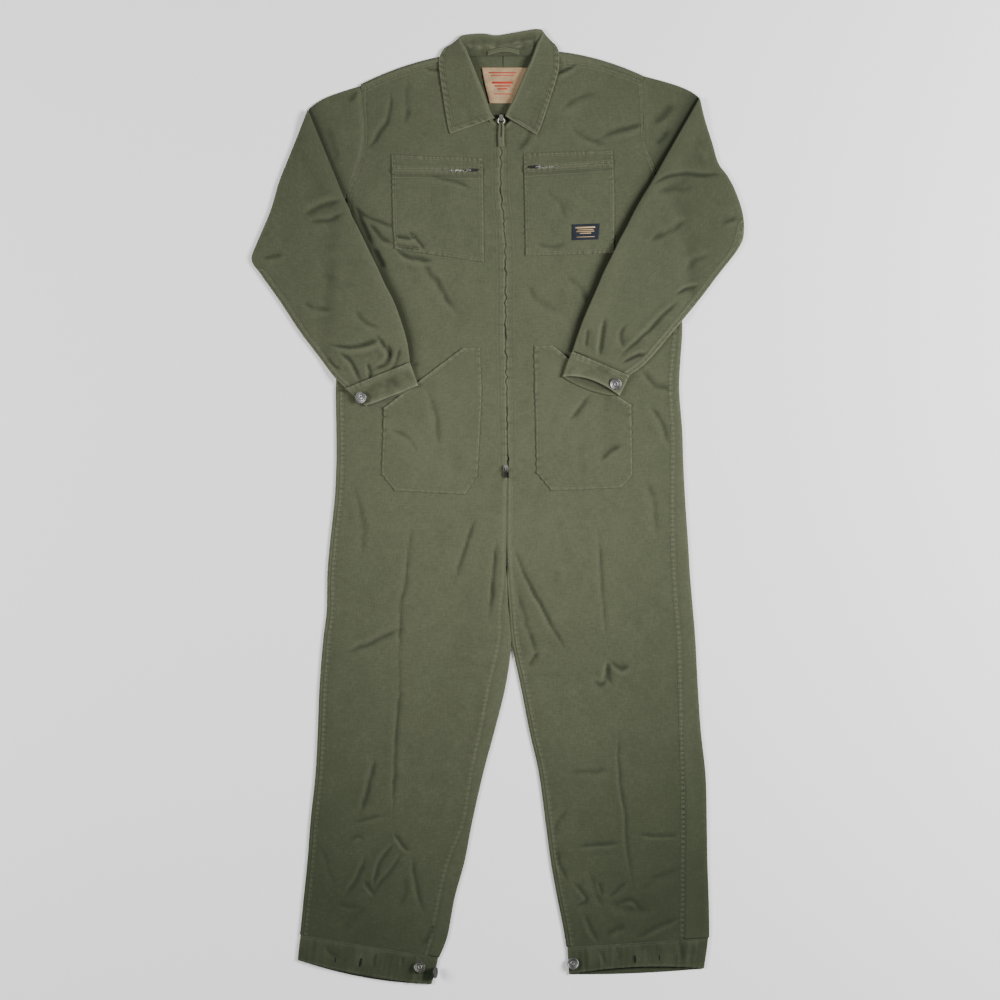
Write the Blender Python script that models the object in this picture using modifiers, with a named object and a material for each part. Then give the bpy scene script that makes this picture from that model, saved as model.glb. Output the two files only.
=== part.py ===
"""Boiler suit laid out flat on its back, with the sleeves folded down over the body.

Units are metres, +Z is up, +Y runs from the hems to the collar and +X towards the wearer's
left arm. The origin is under the middle of the garment, on the surface that it rests on.
Tables give sizes in millimetres. A panel is a grid of middle points, and a Solidify modifier
gives it the thickness of its cloth. Pieces are laid in the order in which they are sewn and
folded, and each one takes its height from what already lies below it.
"""
import math
from typing import NamedTuple

import bmesh
import bpy
from mathutils import Matrix, Vector
from mathutils.bvhtree import BVHTree

MM = 0.001

PLY = 1.2            # one thickness of canvas
BAND = 1.8           # doubled cloth of the cuffs and hems
LEAF = 1.6           # collar leaf, two plies and its turnings
TAPE = 1.0           # pocket zips, labels and the hanger loop
SEAM = 0.3           # space between neighbouring pieces
EDGE_RADIUS = 0.9    # middle line of a fold at a side edge
BAND_RADIUS = 1.2    # the same, in doubled cloth
BACK_Z = PLY / 2     # middle of the back, which lies on the surface
EDGE_Z = BACK_Z + 2 * EDGE_RADIUS  # middle of a front at its side edge
BODY_CROWN = 3.2     # how far the middle of the body stands above its edges
LEG_CROWN = 3.4
SLOT_HALF = 0.75     # half of the opening between the fronts over the zip
ZIP_TOP_Y = 650.0    # top of the tape, in the open neck
ZIP_END_Y = 40.0
ZIP_HALF = 9.0       # half of the tape's width
ZIP_PLY = 1.2        # tape and teeth together
ZIP_DROP = 0.35      # extra room between the fronts and the tape
CURL_STEPS = (4.6, 3.4, 2.1, 0.0)  # where the back's grid lines lie before they roll up, from its edge
CURL_ROOM = 7.0      # strip along a back's edge that those lines take
CURL_WIDTH = 3.0     # a wrap of this width or more is a full roll
BACK_COLUMNS = (0.0, 0.3, 0.53, 0.58, 0.64, 0.67, 0.705, 0.745, 1.0)  # closest beside the neck
HEAD_CROWN = 0.6     # share of a section's crown that a sleeve head has
TUBE_CROWN = 1.1
HEM_PROUD = 0.6      # how far a hem band stands above the leg's cloth
BUTTON_RADIUS = 9.8
BUTTON_PROFILE = ((0.0, 3.4), (0.55, 3.5), (0.72, 4.3), (0.93, 4.1), (1.0, 3.2),
                  (0.93, 2.4), (0.36, 2.0), (0.3, 0.0), (0.0, 0.0))  # share of the radius, height

cloth_parts = bpy.data.collections.new("boiler_suit")
cutters = bpy.data.collections.new("boiler_suit_cutters")


class Row(NamedTuple):
    """A line across a panel, from its outer edge to its inner edge."""
    outer_x: float
    outer_y: float
    inner_x: float
    inner_y: float
    rise: float = 0.0        # how far the line bows towards the collar
    outer_wrap: float = 0.0  # width of back that is folded round to the front, outer side
    inner_wrap: float = 0.0  # the same along the inseam
    leg: float = 0.0         # 0 on the body, 1 on the leg, where both edges are seams
    lift: float = 1.0        # share of the crown that shows here, less near the shoulder seam
    steps: int = 1           # grid rows from here to the next line


class Fold(NamedTuple):
    """A soft ridge (or a trough, where the height is negative) between two points."""
    x0: float
    y0: float
    x1: float
    y1: float
    height: float
    width: float


class Brace(NamedTuple):
    """A line down the collar stand, from its top fold to the neck seam."""
    top_x: float
    top_y: float
    seam_x: float


class Across(NamedTuple):
    """A section across a sleeve, cuff or hem, from one side edge to the other."""
    x0: float
    y0: float
    x1: float
    y1: float
    front_bow: float = 0.0   # how far the upper layer's line bows towards the collar
    back_bow: float = 0.0    # the same for the lower layer
    crown: float = 3.0


class Fitting(NamedTuple):
    """A zip slider with its pull. The turn is about Z, from a pull that points to the hems."""
    name: str
    x: float
    y: float
    turn: float
    width: float
    length: float
    depth: float
    outline: list
    droop: float    # how far the pull's free end hangs, in degrees
    reach: float    # how far round it the ground is read


class Button(NamedTuple):
    """A shank button, turned about X and then Y from lying flat, in degrees."""
    name: str
    x: float
    y: float
    tilt_x: float
    tilt_y: float


# ---- the cut, side by side ------------------------------------------------------------

SHOULDER_RIGHT = Row(-226, 703, 10, 757, rise=16)
SHOULDER_LEFT = Row(243, 717, 10, 757, rise=17)

BACK_YOKE_RIGHT = [
    Row(-225, 665, 10, 703), Row(-224, 628, 10, 657), Row(-227, 592, 9, 613), Row(-238, 555, 7, 578)]
BACK_YOKE_LEFT = [
    Row(246, 677, 10, 703), Row(248, 632, 10, 657), Row(251, 598, 9, 613), Row(258, 578, 7, 578)]

FRONT_YOKE_RIGHT = [
    Row(-225, 694, -75, 733, rise=2, lift=0.1), Row(-225, 665, -57, 695, lift=0.6),
    Row(-224, 628, -32, 662), Row(-227, 592, 8, 630), Row(-238, 555, 7, 587)]
FRONT_YOKE_LEFT = [
    Row(242, 710, 93, 725, rise=1, lift=0.1), Row(246, 677, 73, 695, lift=0.6),
    Row(248, 632, 48, 662), Row(251, 598, 9, 630), Row(258, 578, 7, 587)]

LOWER_RIGHT = [
    Row(-252, 517, 6, 528, steps=4), Row(-253, 462, 12, 467, outer_wrap=3),
    Row(-255, 408, 14, 408, outer_wrap=3), Row(-258, 348, 14, 348, outer_wrap=3),
    Row(-261, 290, 14, 290, outer_wrap=3), Row(-264, 245, 15, 245, outer_wrap=3),
    Row(-267, 195, 16, 195, outer_wrap=3), Row(-266, 128, 17, 128, outer_wrap=3),
    Row(-266, 70, 18, 70, outer_wrap=3), Row(-269, 12, 17, 12, outer_wrap=3),
    Row(-277, -63, 16, -63, outer_wrap=3, inner_wrap=0.4, steps=3),
    Row(-281, -113, 17, -122, outer_wrap=3, inner_wrap=3, leg=0.4),
    Row(-282, -172, 19, -175, outer_wrap=3, inner_wrap=10, leg=0.9, steps=2),
    Row(-288, -222, 22.5, -225, outer_wrap=3, inner_wrap=15, leg=1, steps=2),
    Row(-294, -297, 13, -297, outer_wrap=3, inner_wrap=22, leg=1, steps=2),
    Row(-297, -372, -5.5, -372, outer_wrap=3, inner_wrap=18, leg=1, steps=2),
    Row(-301, -447, -24.5, -443, outer_wrap=3, inner_wrap=14, leg=1, steps=2),
    Row(-309, -522, -43, -525, outer_wrap=3, inner_wrap=9, leg=1, steps=2),
    Row(-314, -588, -56, -592, outer_wrap=3, inner_wrap=22, leg=1, steps=2),
    Row(-320, -647, -72, -650, outer_wrap=3, inner_wrap=20, leg=1, steps=2),
    Row(-325, -697, -84, -714, outer_wrap=3, inner_wrap=20, leg=1),
    Row(-327, -712, -98, -750, outer_wrap=3, inner_wrap=16, leg=1)]
LOWER_LEFT = [
    Row(265, 560, 6, 528, steps=4), Row(292, 470, 12, 467, outer_wrap=4),
    Row(301, 408, 14, 408, outer_wrap=5), Row(306, 348, 14, 348, outer_wrap=5),
    Row(307, 290, 14, 290, outer_wrap=6), Row(304, 245, 15, 245, outer_wrap=7),
    Row(302, 195, 16, 195, outer_wrap=8), Row(307, 128, 17, 128, outer_wrap=9),
    Row(309, 70, 18, 70, outer_wrap=11), Row(312, 12, 17, 12, outer_wrap=15),
    Row(317, -63, 16, -63, outer_wrap=19, inner_wrap=0.4, steps=3),
    Row(320, -113, 17, -122, outer_wrap=20, inner_wrap=3, leg=0.4),
    Row(325, -172, 21, -175, outer_wrap=21, inner_wrap=3, leg=0.9, steps=2),
    Row(329, -222, 25.5, -225, outer_wrap=21, inner_wrap=3, leg=1, steps=2),
    Row(333, -297, 41, -297, outer_wrap=23, inner_wrap=3, leg=1, steps=2),
    Row(338, -372, 55.5, -372, outer_wrap=26, inner_wrap=3, leg=1, steps=2),
    Row(346, -447, 71.5, -443, outer_wrap=32, inner_wrap=3, leg=1, steps=2),
    Row(348, -522, 82.5, -525, outer_wrap=33, inner_wrap=3, leg=1, steps=2),
    Row(349, -588, 91.5, -592, outer_wrap=35, inner_wrap=3, leg=1, steps=2),
    Row(351, -647, 102, -650, outer_wrap=37, inner_wrap=3, leg=1, steps=2),
    Row(352, -692, 112, -700, outer_wrap=39, inner_wrap=3, leg=1),
    Row(352, -717, 117, -732, outer_wrap=39, inner_wrap=3, leg=1)]

# Sleeve heads run from the armhole to the fold where the sleeve turns down over them.
HEAD_RIGHT = [
    Across(-253, 692, -255, 513), Across(-282, 683, -257, 510), Across(-311, 665, -259, 508),
    Across(-319, 650, -261, 506)]
HEAD_LEFT = [
    Across(272, 711, 268.5, 558), Across(302, 701, 271, 556), Across(334, 684, 273.5, 554),
    Across(341, 668, 276, 551)]
SLEEVE_RIGHT = [
    Across(-315, 662, -254, 513, crown=2.4), Across(-327, 632, -247, 499, crown=3.4),
    Across(-345, 587, -241, 483, crown=4.0), Across(-363, 542, -232, 466, crown=4.6),
    Across(-378, 492, -222, 446, crown=5.0), Across(-400, 440, -210, 421, crown=5.4),
    Across(-409, 412, -198, 397, crown=5.6), Across(-394, 388, -187, 372, crown=5.4),
    Across(-362, 343, -172, 343, crown=5.2), Across(-329, 293, -159, 308, crown=5.0),
    Across(-298, 252, -150, 277, crown=4.4), Across(-273, 219, -146, 252, crown=3.8),
    Across(-252, 198, -145, 241, crown=3.2)]
SLEEVE_LEFT = [
    Across(337, 682, 267, 558, crown=2.4), Across(347, 644, 256, 539, crown=3.4),
    Across(359, 606, 242, 516, crown=4.0), Across(369, 573, 229, 493, crown=4.6),
    Across(384, 552, 217, 469, crown=5.0), Across(398, 525, 203, 443, crown=5.4),
    Across(410, 487, 190, 416, crown=5.6), Across(411, 452, 177, 390, crown=5.6),
    Across(400, 427, 167, 366, crown=5.4), Across(370, 388.5, 155, 339, crown=5.2),
    Across(335, 342.5, 143, 311, crown=5.0), Across(293, 292, 134, 286, crown=4.4),
    Across(249, 241, 127, 265, crown=3.8), Across(220, 219, 125, 259, crown=3.2)]
CUFF_RIGHT = [
    Across(-251.5, 196.7, -144.5, 239.7, crown=3.0),
    Across(-236, 182, -138, 222, front_bow=2, crown=3.2),
    Across(-219, 168.5, -131, 203, front_bow=-1, back_bow=-4, crown=3.4)]
CUFF_LEFT = [
    Across(124.5, 257.7, 219.5, 217.7, crown=3.0),
    Across(116, 238, 212, 201, front_bow=7, back_bow=0, crown=3.6),
    Across(109, 217, 204, 185, front_bow=11, back_bow=-7, crown=4.4)]
HEM_RIGHT = [
    Across(-327.2, -712.6, -98, -750.6, crown=3.0), Across(-330, -734, -102, -771, crown=3.2),
    Across(-332, -754, -109, -794, front_bow=-5, back_bow=-9, crown=3.2)]
HEM_LEFT = [
    Across(352, -717.8, 117, -732.8, crown=3.2), Across(349, -742, 118.5, -756, front_bow=2, crown=3.6),
    Across(345, -768, 120, -777.5, front_bow=8, back_bow=-3, crown=4.2)]

# Collar leaves run from the shoulder down to the point, and from the outer edge to the roll.
LEAF_RIGHT = [
    Row(-67, 779.5, -60.5, 781), Row(-81, 768, -53, 762), Row(-97, 743, -43.5, 742),
    Row(-93, 705, -32, 713), Row(-87, 665, -20, 683), Row(-82, 635, -12, 659), Row(-78, 621, -4, 647)]
LEAF_LEFT = [
    Row(80, 790, 72.5, 788), Row(93, 775, 66, 764), Row(104, 752, 56.5, 742),
    Row(100, 720, 44, 716), Row(87, 675, 30, 683), Row(73, 633, 19, 662), Row(66, 619, 15, 650)]
# The stand runs round the back of the neck: top fold, then the seam to the back.
STAND = [
    Brace(-58.3, 780.5, -49.3), Brace(-45, 787, -38), Brace(-22, 788, -15), Brace(0, 785, 8),
    Brace(25, 789, 28), Brace(48, 793, 47), Brace(70.8, 789, 62.5)]

HIP_POCKET_RIGHT = [
    Row(-56, 265, -28, 265), Row(-84, 244, -28, 245), Row(-117, 219, -27, 220), Row(-152, 193, -26, 195),
    Row(-188, 165, -27, 165), Row(-190, 110, -30, 108), Row(-192, 55, -33, 52), Row(-170, 27, -53, 21)]
HIP_POCKET_LEFT = [
    Row(92, 269, 62, 268), Row(127, 241, 62, 242), Row(158, 216, 63, 217), Row(188, 192, 63, 192),
    Row(223, 170, 64, 168), Row(224, 112, 65, 112), Row(225, 53, 66, 57), Row(207, 32, 91, 27)]
CHEST_TOP_RIGHT = Row(-176, 586, -24, 580)
CHEST_ZIP_RIGHT = Row(-175, 561.5, -24, 559.5)
CHEST_FOOT_RIGHT = [Row(-174, 512, -23, 503), Row(-173, 467, -22.5, 453), Row(-170, 430, -22, 408)]
CHEST_TOP_LEFT = Row(192, 593, 44, 588)
CHEST_ZIP_LEFT = Row(193, 572, 45, 563)
CHEST_FOOT_LEFT = [Row(195, 520, 46, 517), Row(195, 468, 47, 466), Row(195, 423, 48, 418)]
CHEST_ZIP_WIDTH = 5.2

CHEST_LABEL = [Row(169, 470, 125, 470), Row(169, 457, 125, 457), Row(169, 444, 125, 444)]
NECK_LABEL = [Row(-25, 732, 41, 732), Row(-20, 703, 41, 703), Row(-12, 673, 22, 673)]
HANGER_LOOP = [Row(-15, 757, 37, 757, rise=6), Row(-15, 750.5, 37, 750.5, rise=6)]

# Half outlines of the pulls below their windows, from the bar down.
SHORT_PULL = [(2.4, -7.0), (2.2, -14.0), (1.2, -15.5)]
TAB_PULL = [(2.9, -7.0), (3.4, -15.0), (5.0, -21.0), (5.0, -47.0), (4.0, -49.0)]
FITTINGS = [
    Fitting("zip_top", 7.0, 648.0, turn=0, width=7.0, length=10.0, depth=2.4, outline=TAB_PULL,
            droop=0.0, reach=5.0),
    Fitting("zip_bottom", 14.6, 64.0, turn=0, width=8.0, length=11.0, depth=2.6, outline=SHORT_PULL,
            droop=3.5, reach=7.0),
    Fitting("chest_zip_right", -47.0, 560.0, turn=90, width=6.0, length=8.5, depth=2.2,
            outline=SHORT_PULL, droop=3.5, reach=6.0),
    Fitting("chest_zip_left", 68.0, 565.5, turn=-90, width=6.0, length=8.5, depth=2.2,
            outline=SHORT_PULL, droop=3.5, reach=6.0)]
BUTTONS = [
    Button("cuff_button_right", -225.0, 182.5, tilt_x=12, tilt_y=-18),
    Button("cuff_button_left", 197.0, 204.5, tilt_x=6, tilt_y=6),
    Button("hem_button_right", -130.0, -766.0, tilt_x=-14, tilt_y=16),
    Button("hem_button_left", 127.0, -760.0, tilt_x=-6, tilt_y=-8)]
SIDE_BUTTON = Button("hem_button_right_side", -105.6, -774.0, tilt_x=0, tilt_y=68)
SIDE_BUTTON_Z = 10.4  # it stands on edge, beside the hem

# The largest folds. Press creases first, then the slanting folds of the legs and body.
BODY_FOLDS = [
    Fold(-140, 15, -150, -130, 1.4, 22), Fold(-150, -130, -167, -340, 1.4, 22),
    Fold(-165, -388, -172, -545, 1.4, 20), Fold(-263, -243, -147, -198, 2.0, 20),
    Fold(-37, -27, -67, -110, 1.6, 20), Fold(-172, -545, -192, -648, 2.0, 20),
    Fold(-138, -572, -192, -648, 1.8, 18), Fold(-218, -575, -255, -652, 1.8, 18),
    Fold(-143, -590, -115, -683, 1.6, 18), Fold(-185, 680, -215, 590, 1.6, 20),
    Fold(-185, 212, -195, 130, 1.6, 22), Fold(-200, 478, -165, 395, 1.8, 20),
    Fold(167, -15, 180, -190, 1.4, 22), Fold(183, -247, 205, -437, 1.4, 22),
    Fold(37, -88, 117, -243, 1.8, 20), Fold(203, -437, 228, -648, 1.6, 22),
    Fold(126, -568, 200, -560, 1.6, 18), Fold(227, -545, 302, -543, 1.6, 18),
    Fold(218, -705, 290, -680, 1.8, 20), Fold(93, -563, 118, -622, 1.6, 18),
    Fold(85, 658, 133, 678, 1.6, 18), Fold(160, 610, 228, 628, 1.4, 18)]
SLEEVE_FOLDS = [
    Fold(-330, 500, -232, 478, 2.2, 16), Fold(-318, 470, -205, 425, 2.0, 16),
    Fold(-258, 560, -300, 440, 1.6, 18), Fold(-193, 212, -205, 262, 2.0, 11),
    Fold(-228, 208, -262, 262, 1.8, 12), Fold(-300, 330, -205, 300, 1.8, 18),
    Fold(372, 551, 262, 538, 2.4, 14), Fold(400, 470, 300, 500, 1.8, 18),
    Fold(267, 362, 222, 312, 2.0, 16), Fold(300, 420, 205, 400, 1.8, 18),
    Fold(179, 288, 169, 247, 2.0, 11), Fold(335, 640, 300, 590, 1.6, 16)]


# ---- helpers --------------------------------------------------------------------------

def cloth(name, colour, roughness=0.9, metallic=0.0):
    """A plain Principled finish."""
    material = bpy.data.materials.new(name)
    material.use_nodes = True
    shader = material.node_tree.nodes["Principled BSDF"]
    shader.inputs["Base Color"].default_value = (*colour, 1.0)
    shader.inputs["Roughness"].default_value = roughness
    shader.inputs["Metallic"].default_value = metallic
    return material


def refined(rows):
    """The rows, with smooth rows between those that ask for more than one step."""
    fine = []
    for index, row in enumerate(rows[:-1]):
        before = rows[max(index - 1, 0)]
        after = rows[min(index + 2, len(rows) - 1)]
        for step in range(row.steps):
            lines = zip(before[:9], row[:9], rows[index + 1][:9], after[:9])
            places = [smooth_between(values, step / row.steps) for values in lines]
            fine.append(Row(*places[:5], *(max(0.0, extent) for extent in places[5:])))
    fine.append(rows[-1])
    return fine


def smooth_between(values, share):
    """The Catmull-Rom value at a share of the way from the second value to the third."""
    first, second, third, fourth = values
    curve = (2 * second + (third - first) * share
             + (2 * first - 5 * second + 4 * third - fourth) * share ** 2
             + (3 * second - first - 3 * third + fourth) * share ** 3)
    return curve / 2


def plan_point(row, share):
    """A point on a row, in plan, from its outer edge (0) to its inner edge (1)."""
    x = row.outer_x + (row.inner_x - row.outer_x) * share
    y = row.outer_y + (row.inner_y - row.outer_y) * share + row.rise * 4 * share * (1 - share)
    return x, y


def row_width(row):
    return math.hypot(row.inner_x - row.outer_x, row.inner_y - row.outer_y)


def fold_height(folds, x, y):
    """The summed height of the folds over a point."""
    total = 0.0
    for fold in folds:
        along = Vector((fold.x1 - fold.x0, fold.y1 - fold.y0))
        to_point = Vector((x - fold.x0, y - fold.y0))
        share = min(max(to_point.dot(along) / along.length_squared, 0.0), 1.0)
        distance = (to_point - along * share).length
        total += fold.height * math.exp(-(distance / fold.width) ** 2)
    return total


def swell(share, outer_keep=0.0, inner_keep=0.0):
    """How much of the crown shows across a panel: less near an edge that is a seam."""
    outer = 1 - (1 - outer_keep) * math.exp(-share / 0.10)
    inner = 1 - (1 - inner_keep) * math.exp(-(1 - share) / 0.10)
    return outer * inner


def body_level(row, share):
    """Height of a front's middle surface over the whole width of the body or leg."""
    x, y = plan_point(row, share)
    crown = BODY_CROWN + (LEG_CROWN - BODY_CROWN) * row.leg
    shape = swell(share, inner_keep=1 - row.leg)
    folds = fold_height(BODY_FOLDS, x, y) * min(1.0, shape * 1.3)
    return EDGE_Z + (crown * shape + folds) * row.lift


def finish(name, mesh, material, wall=None):
    """Put a mesh in the model, as a wall of the given thickness where one is given."""
    shape = bpy.data.objects.new(name, mesh)
    cloth_parts.objects.link(shape)
    mesh.materials.append(material)
    if wall:
        solid = shape.modifiers.new("cloth", "SOLIDIFY")
        solid.thickness = wall * MM
        solid.offset = 0.0
    mesh.shade_smooth()
    mesh.set_sharp_from_angle(angle=math.radians(50))
    return shape


def panel(name, grid, material, wall=PLY, closed=False):
    """A wall of cloth through rows of middle points. A closed one is a tube."""
    shape = bmesh.new()
    rows = [[shape.verts.new(Vector(point) * MM) for point in line] for line in grid]
    for upper, lower in zip(rows, rows[1:]):
        count = len(upper)
        for column in range(count if closed else count - 1):
            following = (column + 1) % count
            shape.faces.new((upper[column], upper[following], lower[following], lower[column]))
    mesh = bpy.data.meshes.new(name)
    shape.to_mesh(mesh)
    shape.free()
    return finish(name, mesh, material, wall)


class Pile:
    """The solids laid so far, read as the ground under the next one."""

    def __init__(self):
        self.trees = []

    def add(self, *shapes):
        graph = bpy.context.evaluated_depsgraph_get()
        for shape in shapes:
            self.trees.append(BVHTree.FromObject(shape, graph))
        return shapes[0]

    def height(self, x, y):
        """The highest surface straight below a point in the air, in millimetres."""
        start = Vector((x, y, 200.0)) * MM
        highest = 0.0
        for tree in self.trees:
            hit = tree.ray_cast(start, Vector((0, 0, -1)))[0]
            if hit is not None:
                highest = max(highest, hit.z / MM)
        return highest

    def ground(self, x, y, reach):
        """The highest surface within reach of a point, so that flat facets stay clear of it."""
        highest = self.height(x, y)
        turns = 12
        for ring in (0.35, 0.7, 1.0):
            for turn in range(turns):
                angle = math.tau * turn / turns
                highest = max(highest, self.height(x + reach * ring * math.cos(angle),
                                                   y + reach * ring * math.sin(angle)))
        return highest


pile = Pile()


# ---- body and legs --------------------------------------------------------------------

def inner_inset(row):
    """How far a back's inner edge stays from the middle line, more where it is rolled."""
    return SEAM / 2 + (PLY / 2 + 0.1) * min(1.0, row.inner_wrap)


def rolled_edge(curl, wrap, level):
    """Distance in from the edge and height, for the last four lines of a back.

    At a curl of 1 they run round the fold and end on top, at the wrap's width and level. At less,
    the edge is bent up part of the way.
    """
    if curl >= 1:
        return [(EDGE_RADIUS, BACK_Z), (0.0, BACK_Z + EDGE_RADIUS), (EDGE_RADIUS, EDGE_Z), (wrap, level)]
    step = math.sqrt(2) * EDGE_RADIUS
    run, height = 0.0, BACK_Z
    points = [(run, height)]
    for length, turn in ((step, 45), (step, 135), (CURL_WIDTH - EDGE_RADIUS, 180)):
        angle = math.radians(turn * curl)
        run += length * math.cos(angle)
        height += length * math.sin(angle)
        points.append((run, height))
    outermost = max(run for run, _ in points)
    return [(outermost - run, height) for run, height in points]


def back_edge(row, wrap, inset, from_share, towards):
    """The last four points of a back's row, from the flat cloth to the free edge."""
    width = row_width(row)
    along = Vector((row.inner_x - row.outer_x, row.inner_y - row.outer_y)) * towards / width
    edge_x, edge_y = plan_point(row, from_share + towards * inset / width)
    level = body_level(row, from_share + towards * wrap / width)
    return [(edge_x + along.x * run, edge_y + along.y * run, height)
            for run, height in rolled_edge(wrap / CURL_WIDTH, wrap, level)]


def back_row(row):
    """One line of the back, with the strips that it folds round to the front."""
    outer = back_edge(row, row.outer_wrap, 0.0, 0.0, 1)
    inner = back_edge(row, row.inner_wrap, inner_inset(row), 1.0, -1)
    margin = CURL_ROOM / row_width(row)
    middle = [(*plan_point(row, margin + (1 - 2 * margin) * column), BACK_Z) for column in BACK_COLUMNS]
    return outer[::-1] + middle + inner


def shoulder_rows(row, seam):
    """The top of the back: from the shoulder seam over the fold and down to the surface.

    Under the collar the strip in front of the fold narrows, and the edge then lies down flat.
    """
    width = row_width(row)
    margin = CURL_ROOM / width
    narrow_from, narrow_to, flat_from = 0.88, 1.0, 1.15    # shares of the seam, from the arm
    least_wrap = 4.0
    edge_steps = [step / width for step in CURL_STEPS]
    shares = (edge_steps[::-1] + [margin + (1 - 2 * margin) * column for column in BACK_COLUMNS]
              + [1 - step for step in edge_steps[:-1]] + [1 - SEAM / 2 / width])
    lines = [[], [], [], []]
    for share in shares:
        x, y = plan_point(row, share)
        seam_share = (x - seam.outer_x) / (seam.inner_x - seam.outer_x)
        seam_y = plan_point(seam, min(max(seam_share, 0.0), 1.0))[1] + 3 * SEAM
        narrowing = min(1.0, max(0.0, (seam_share - narrow_from) / (narrow_to - narrow_from)))
        wrap = least_wrap + (max(y - seam_y, least_wrap) - least_wrap) * (1 - narrowing)
        curl = min(1.0, max(0.0, (flat_from - seam_share) / (flat_from - narrow_to)))
        for line, (run, height) in zip(lines, reversed(rolled_edge(curl, wrap, EDGE_Z))):
            line.append((x, y - run, height))
    return lines


def make_back(name, shoulder, seam, yoke, lower, material):
    """Half of the back, from the shoulder to the hem band."""
    grid = shoulder_rows(shoulder, seam)
    grid += [back_row(row) for row in refined(yoke + lower)]
    return panel(name, grid, material)


def make_front(name, yoke, lower, material):
    """Half of the front, from the shoulder seam to the hem band."""
    columns = 10
    neck_point_y = yoke[3].inner_y
    armhole_end_y = lower[0].outer_y
    grid = []
    for row in refined(yoke + lower):
        width = row_width(row)
        zipped = neck_point_y + SEAM > row.inner_y > ZIP_END_Y
        seam_gap = inner_inset(row) + (2.5 * SEAM if row.inner_wrap else 0.0)
        inner_gap = SLOT_HALF if zipped else seam_gap
        beside_fold = row.outer_y <= armhole_end_y
        first = (max(row.outer_wrap, CURL_WIDTH) + SEAM) / width if beside_fold else 0.0
        last = 1 - (row.inner_wrap + inner_gap) / width
        line = []
        for column in range(columns + 1):
            share = first + (last - first) * column / columns
            line.append((*plan_point(row, share), body_level(row, share)))
        grid.append(line)
    return panel(name, grid, material)


def centre_line(lower_rows):
    """The line of the zip, as x for each y, from the body's inner edge."""
    return sorted((row.inner_y, row.inner_x) for row in lower_rows if not row.inner_wrap)


def centre_x(line, y):
    """Where the zip runs at a given height of the body."""
    for (y0, x0), (y1, x1) in zip(line, line[1:]):
        if y <= y1:
            return x0 + (x1 - x0) * max(0.0, (y - y0) / (y1 - y0))
    return line[-1][1]


def make_zip(line, material):
    """Tape and teeth of the front zip, which lies under the meeting edges of the fronts."""
    count = 24
    teeth_half = 3.0
    edge_drop = 0.5
    z = EDGE_Z + BODY_CROWN - PLY / 2 - SEAM - ZIP_PLY / 2 - ZIP_DROP
    section = ((-ZIP_HALF, -edge_drop), (-teeth_half, 0.0), (teeth_half, 0.0), (ZIP_HALF, -edge_drop))
    grid = []
    for step in range(count + 1):
        y = ZIP_TOP_Y + (ZIP_END_Y - ZIP_TOP_Y) * step / count
        x = centre_x(line, y)
        grid.append([(x + across, y, z + rise) for across, rise in section])
    return panel("front_zip", grid, material, wall=ZIP_PLY)


# ---- sleeves, cuffs and hems ----------------------------------------------------------

def tube_ring(section, columns, top_z, bottom_z, radius):
    """A flattened ring: over the top from the first edge to the second, and back below."""
    along = Vector((section.x1 - section.x0, section.y1 - section.y0))
    inset = radius / along.length
    tops, bottoms = [], []
    for column in range(columns + 1):
        share = inset + (1 - 2 * inset) * column / columns
        x = section.x0 + along.x * share
        y = section.y0 + along.y * share
        bow = 4 * share * (1 - share)
        low = bottom_z(x, y, share)
        bottoms.append((x, y + section.back_bow * bow, low))
        tops.append((x, y + section.front_bow * bow, max(top_z(x, y, share, low), low + 2 * radius)))
    start = (section.x0, section.y0, (tops[0][2] + bottoms[0][2]) / 2)
    end = (section.x1, section.y1, (tops[-1][2] + bottoms[-1][2]) / 2)
    return [start] + tops + [end] + bottoms[::-1]


def make_head(name, armhole, sections, material):
    """The top of a sleeve: its first ring follows the armhole, point by point."""
    side = math.copysign(1, armhole[0].outer_x)
    edge = [(row.outer_x + side * 2 * SEAM, row.outer_y) for row in armhole]
    lengths = [0.0]
    for (x0, y0), (x1, y1) in zip(edge, edge[1:]):
        lengths.append(lengths[-1] + math.hypot(x1 - x0, y1 - y0))
    shares = [length / lengths[-1] for length in lengths]
    first_top = [(x, y, EDGE_Z + HEAD_CROWN * BODY_CROWN * math.sin(math.pi * share))
                 for (x, y), share in zip(edge, shares)]
    first_bottom = [(x, y, BACK_Z) for x, y in edge]
    start = (edge[0][0] + side * EDGE_RADIUS, edge[0][1] + EDGE_RADIUS, BACK_Z + EDGE_RADIUS)
    end = (edge[-1][0] + side * EDGE_RADIUS, edge[-1][1] - EDGE_RADIUS, BACK_Z + EDGE_RADIUS)
    grid = [[start] + first_top + [end] + first_bottom[::-1]]
    for section in sections:
        along = Vector((section.x1 - section.x0, section.y1 - section.y0))
        tops, bottoms = [], []
        for share in shares:
            inset = EDGE_RADIUS / along.length
            inside = inset + (1 - 2 * inset) * share
            x = section.x0 + along.x * inside
            y = section.y0 + along.y * inside
            crown = HEAD_CROWN * section.crown * math.sin(math.pi * share)
            tops.append((x, y, EDGE_Z + crown))
            bottoms.append((x, y, BACK_Z))
        grid.append([(section.x0, section.y0, BACK_Z + EDGE_RADIUS)] + tops
                    + [(section.x1, section.y1, BACK_Z + EDGE_RADIUS)] + bottoms[::-1])
    return panel(name, grid, material, closed=True)


def laid_tube(name, sections, material, wall=PLY, radius=EDGE_RADIUS, columns=8, folds=(), reach=20.0):
    """A flattened tube laid on whatever is already in the pile."""
    def bottom_z(x, y, share):
        return pile.ground(x, y, reach) + SEAM + wall / 2

    grid = []
    for section in sections:
        def top_z(x, y, share, low):
            shape = swell(share) * TUBE_CROWN
            return low + 2 * radius + section.crown * shape + fold_height(folds, x, y) * shape

        grid.append(tube_ring(section, columns, top_z, bottom_z, radius))
    return panel(name, grid, material, wall=wall, closed=True)


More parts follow.
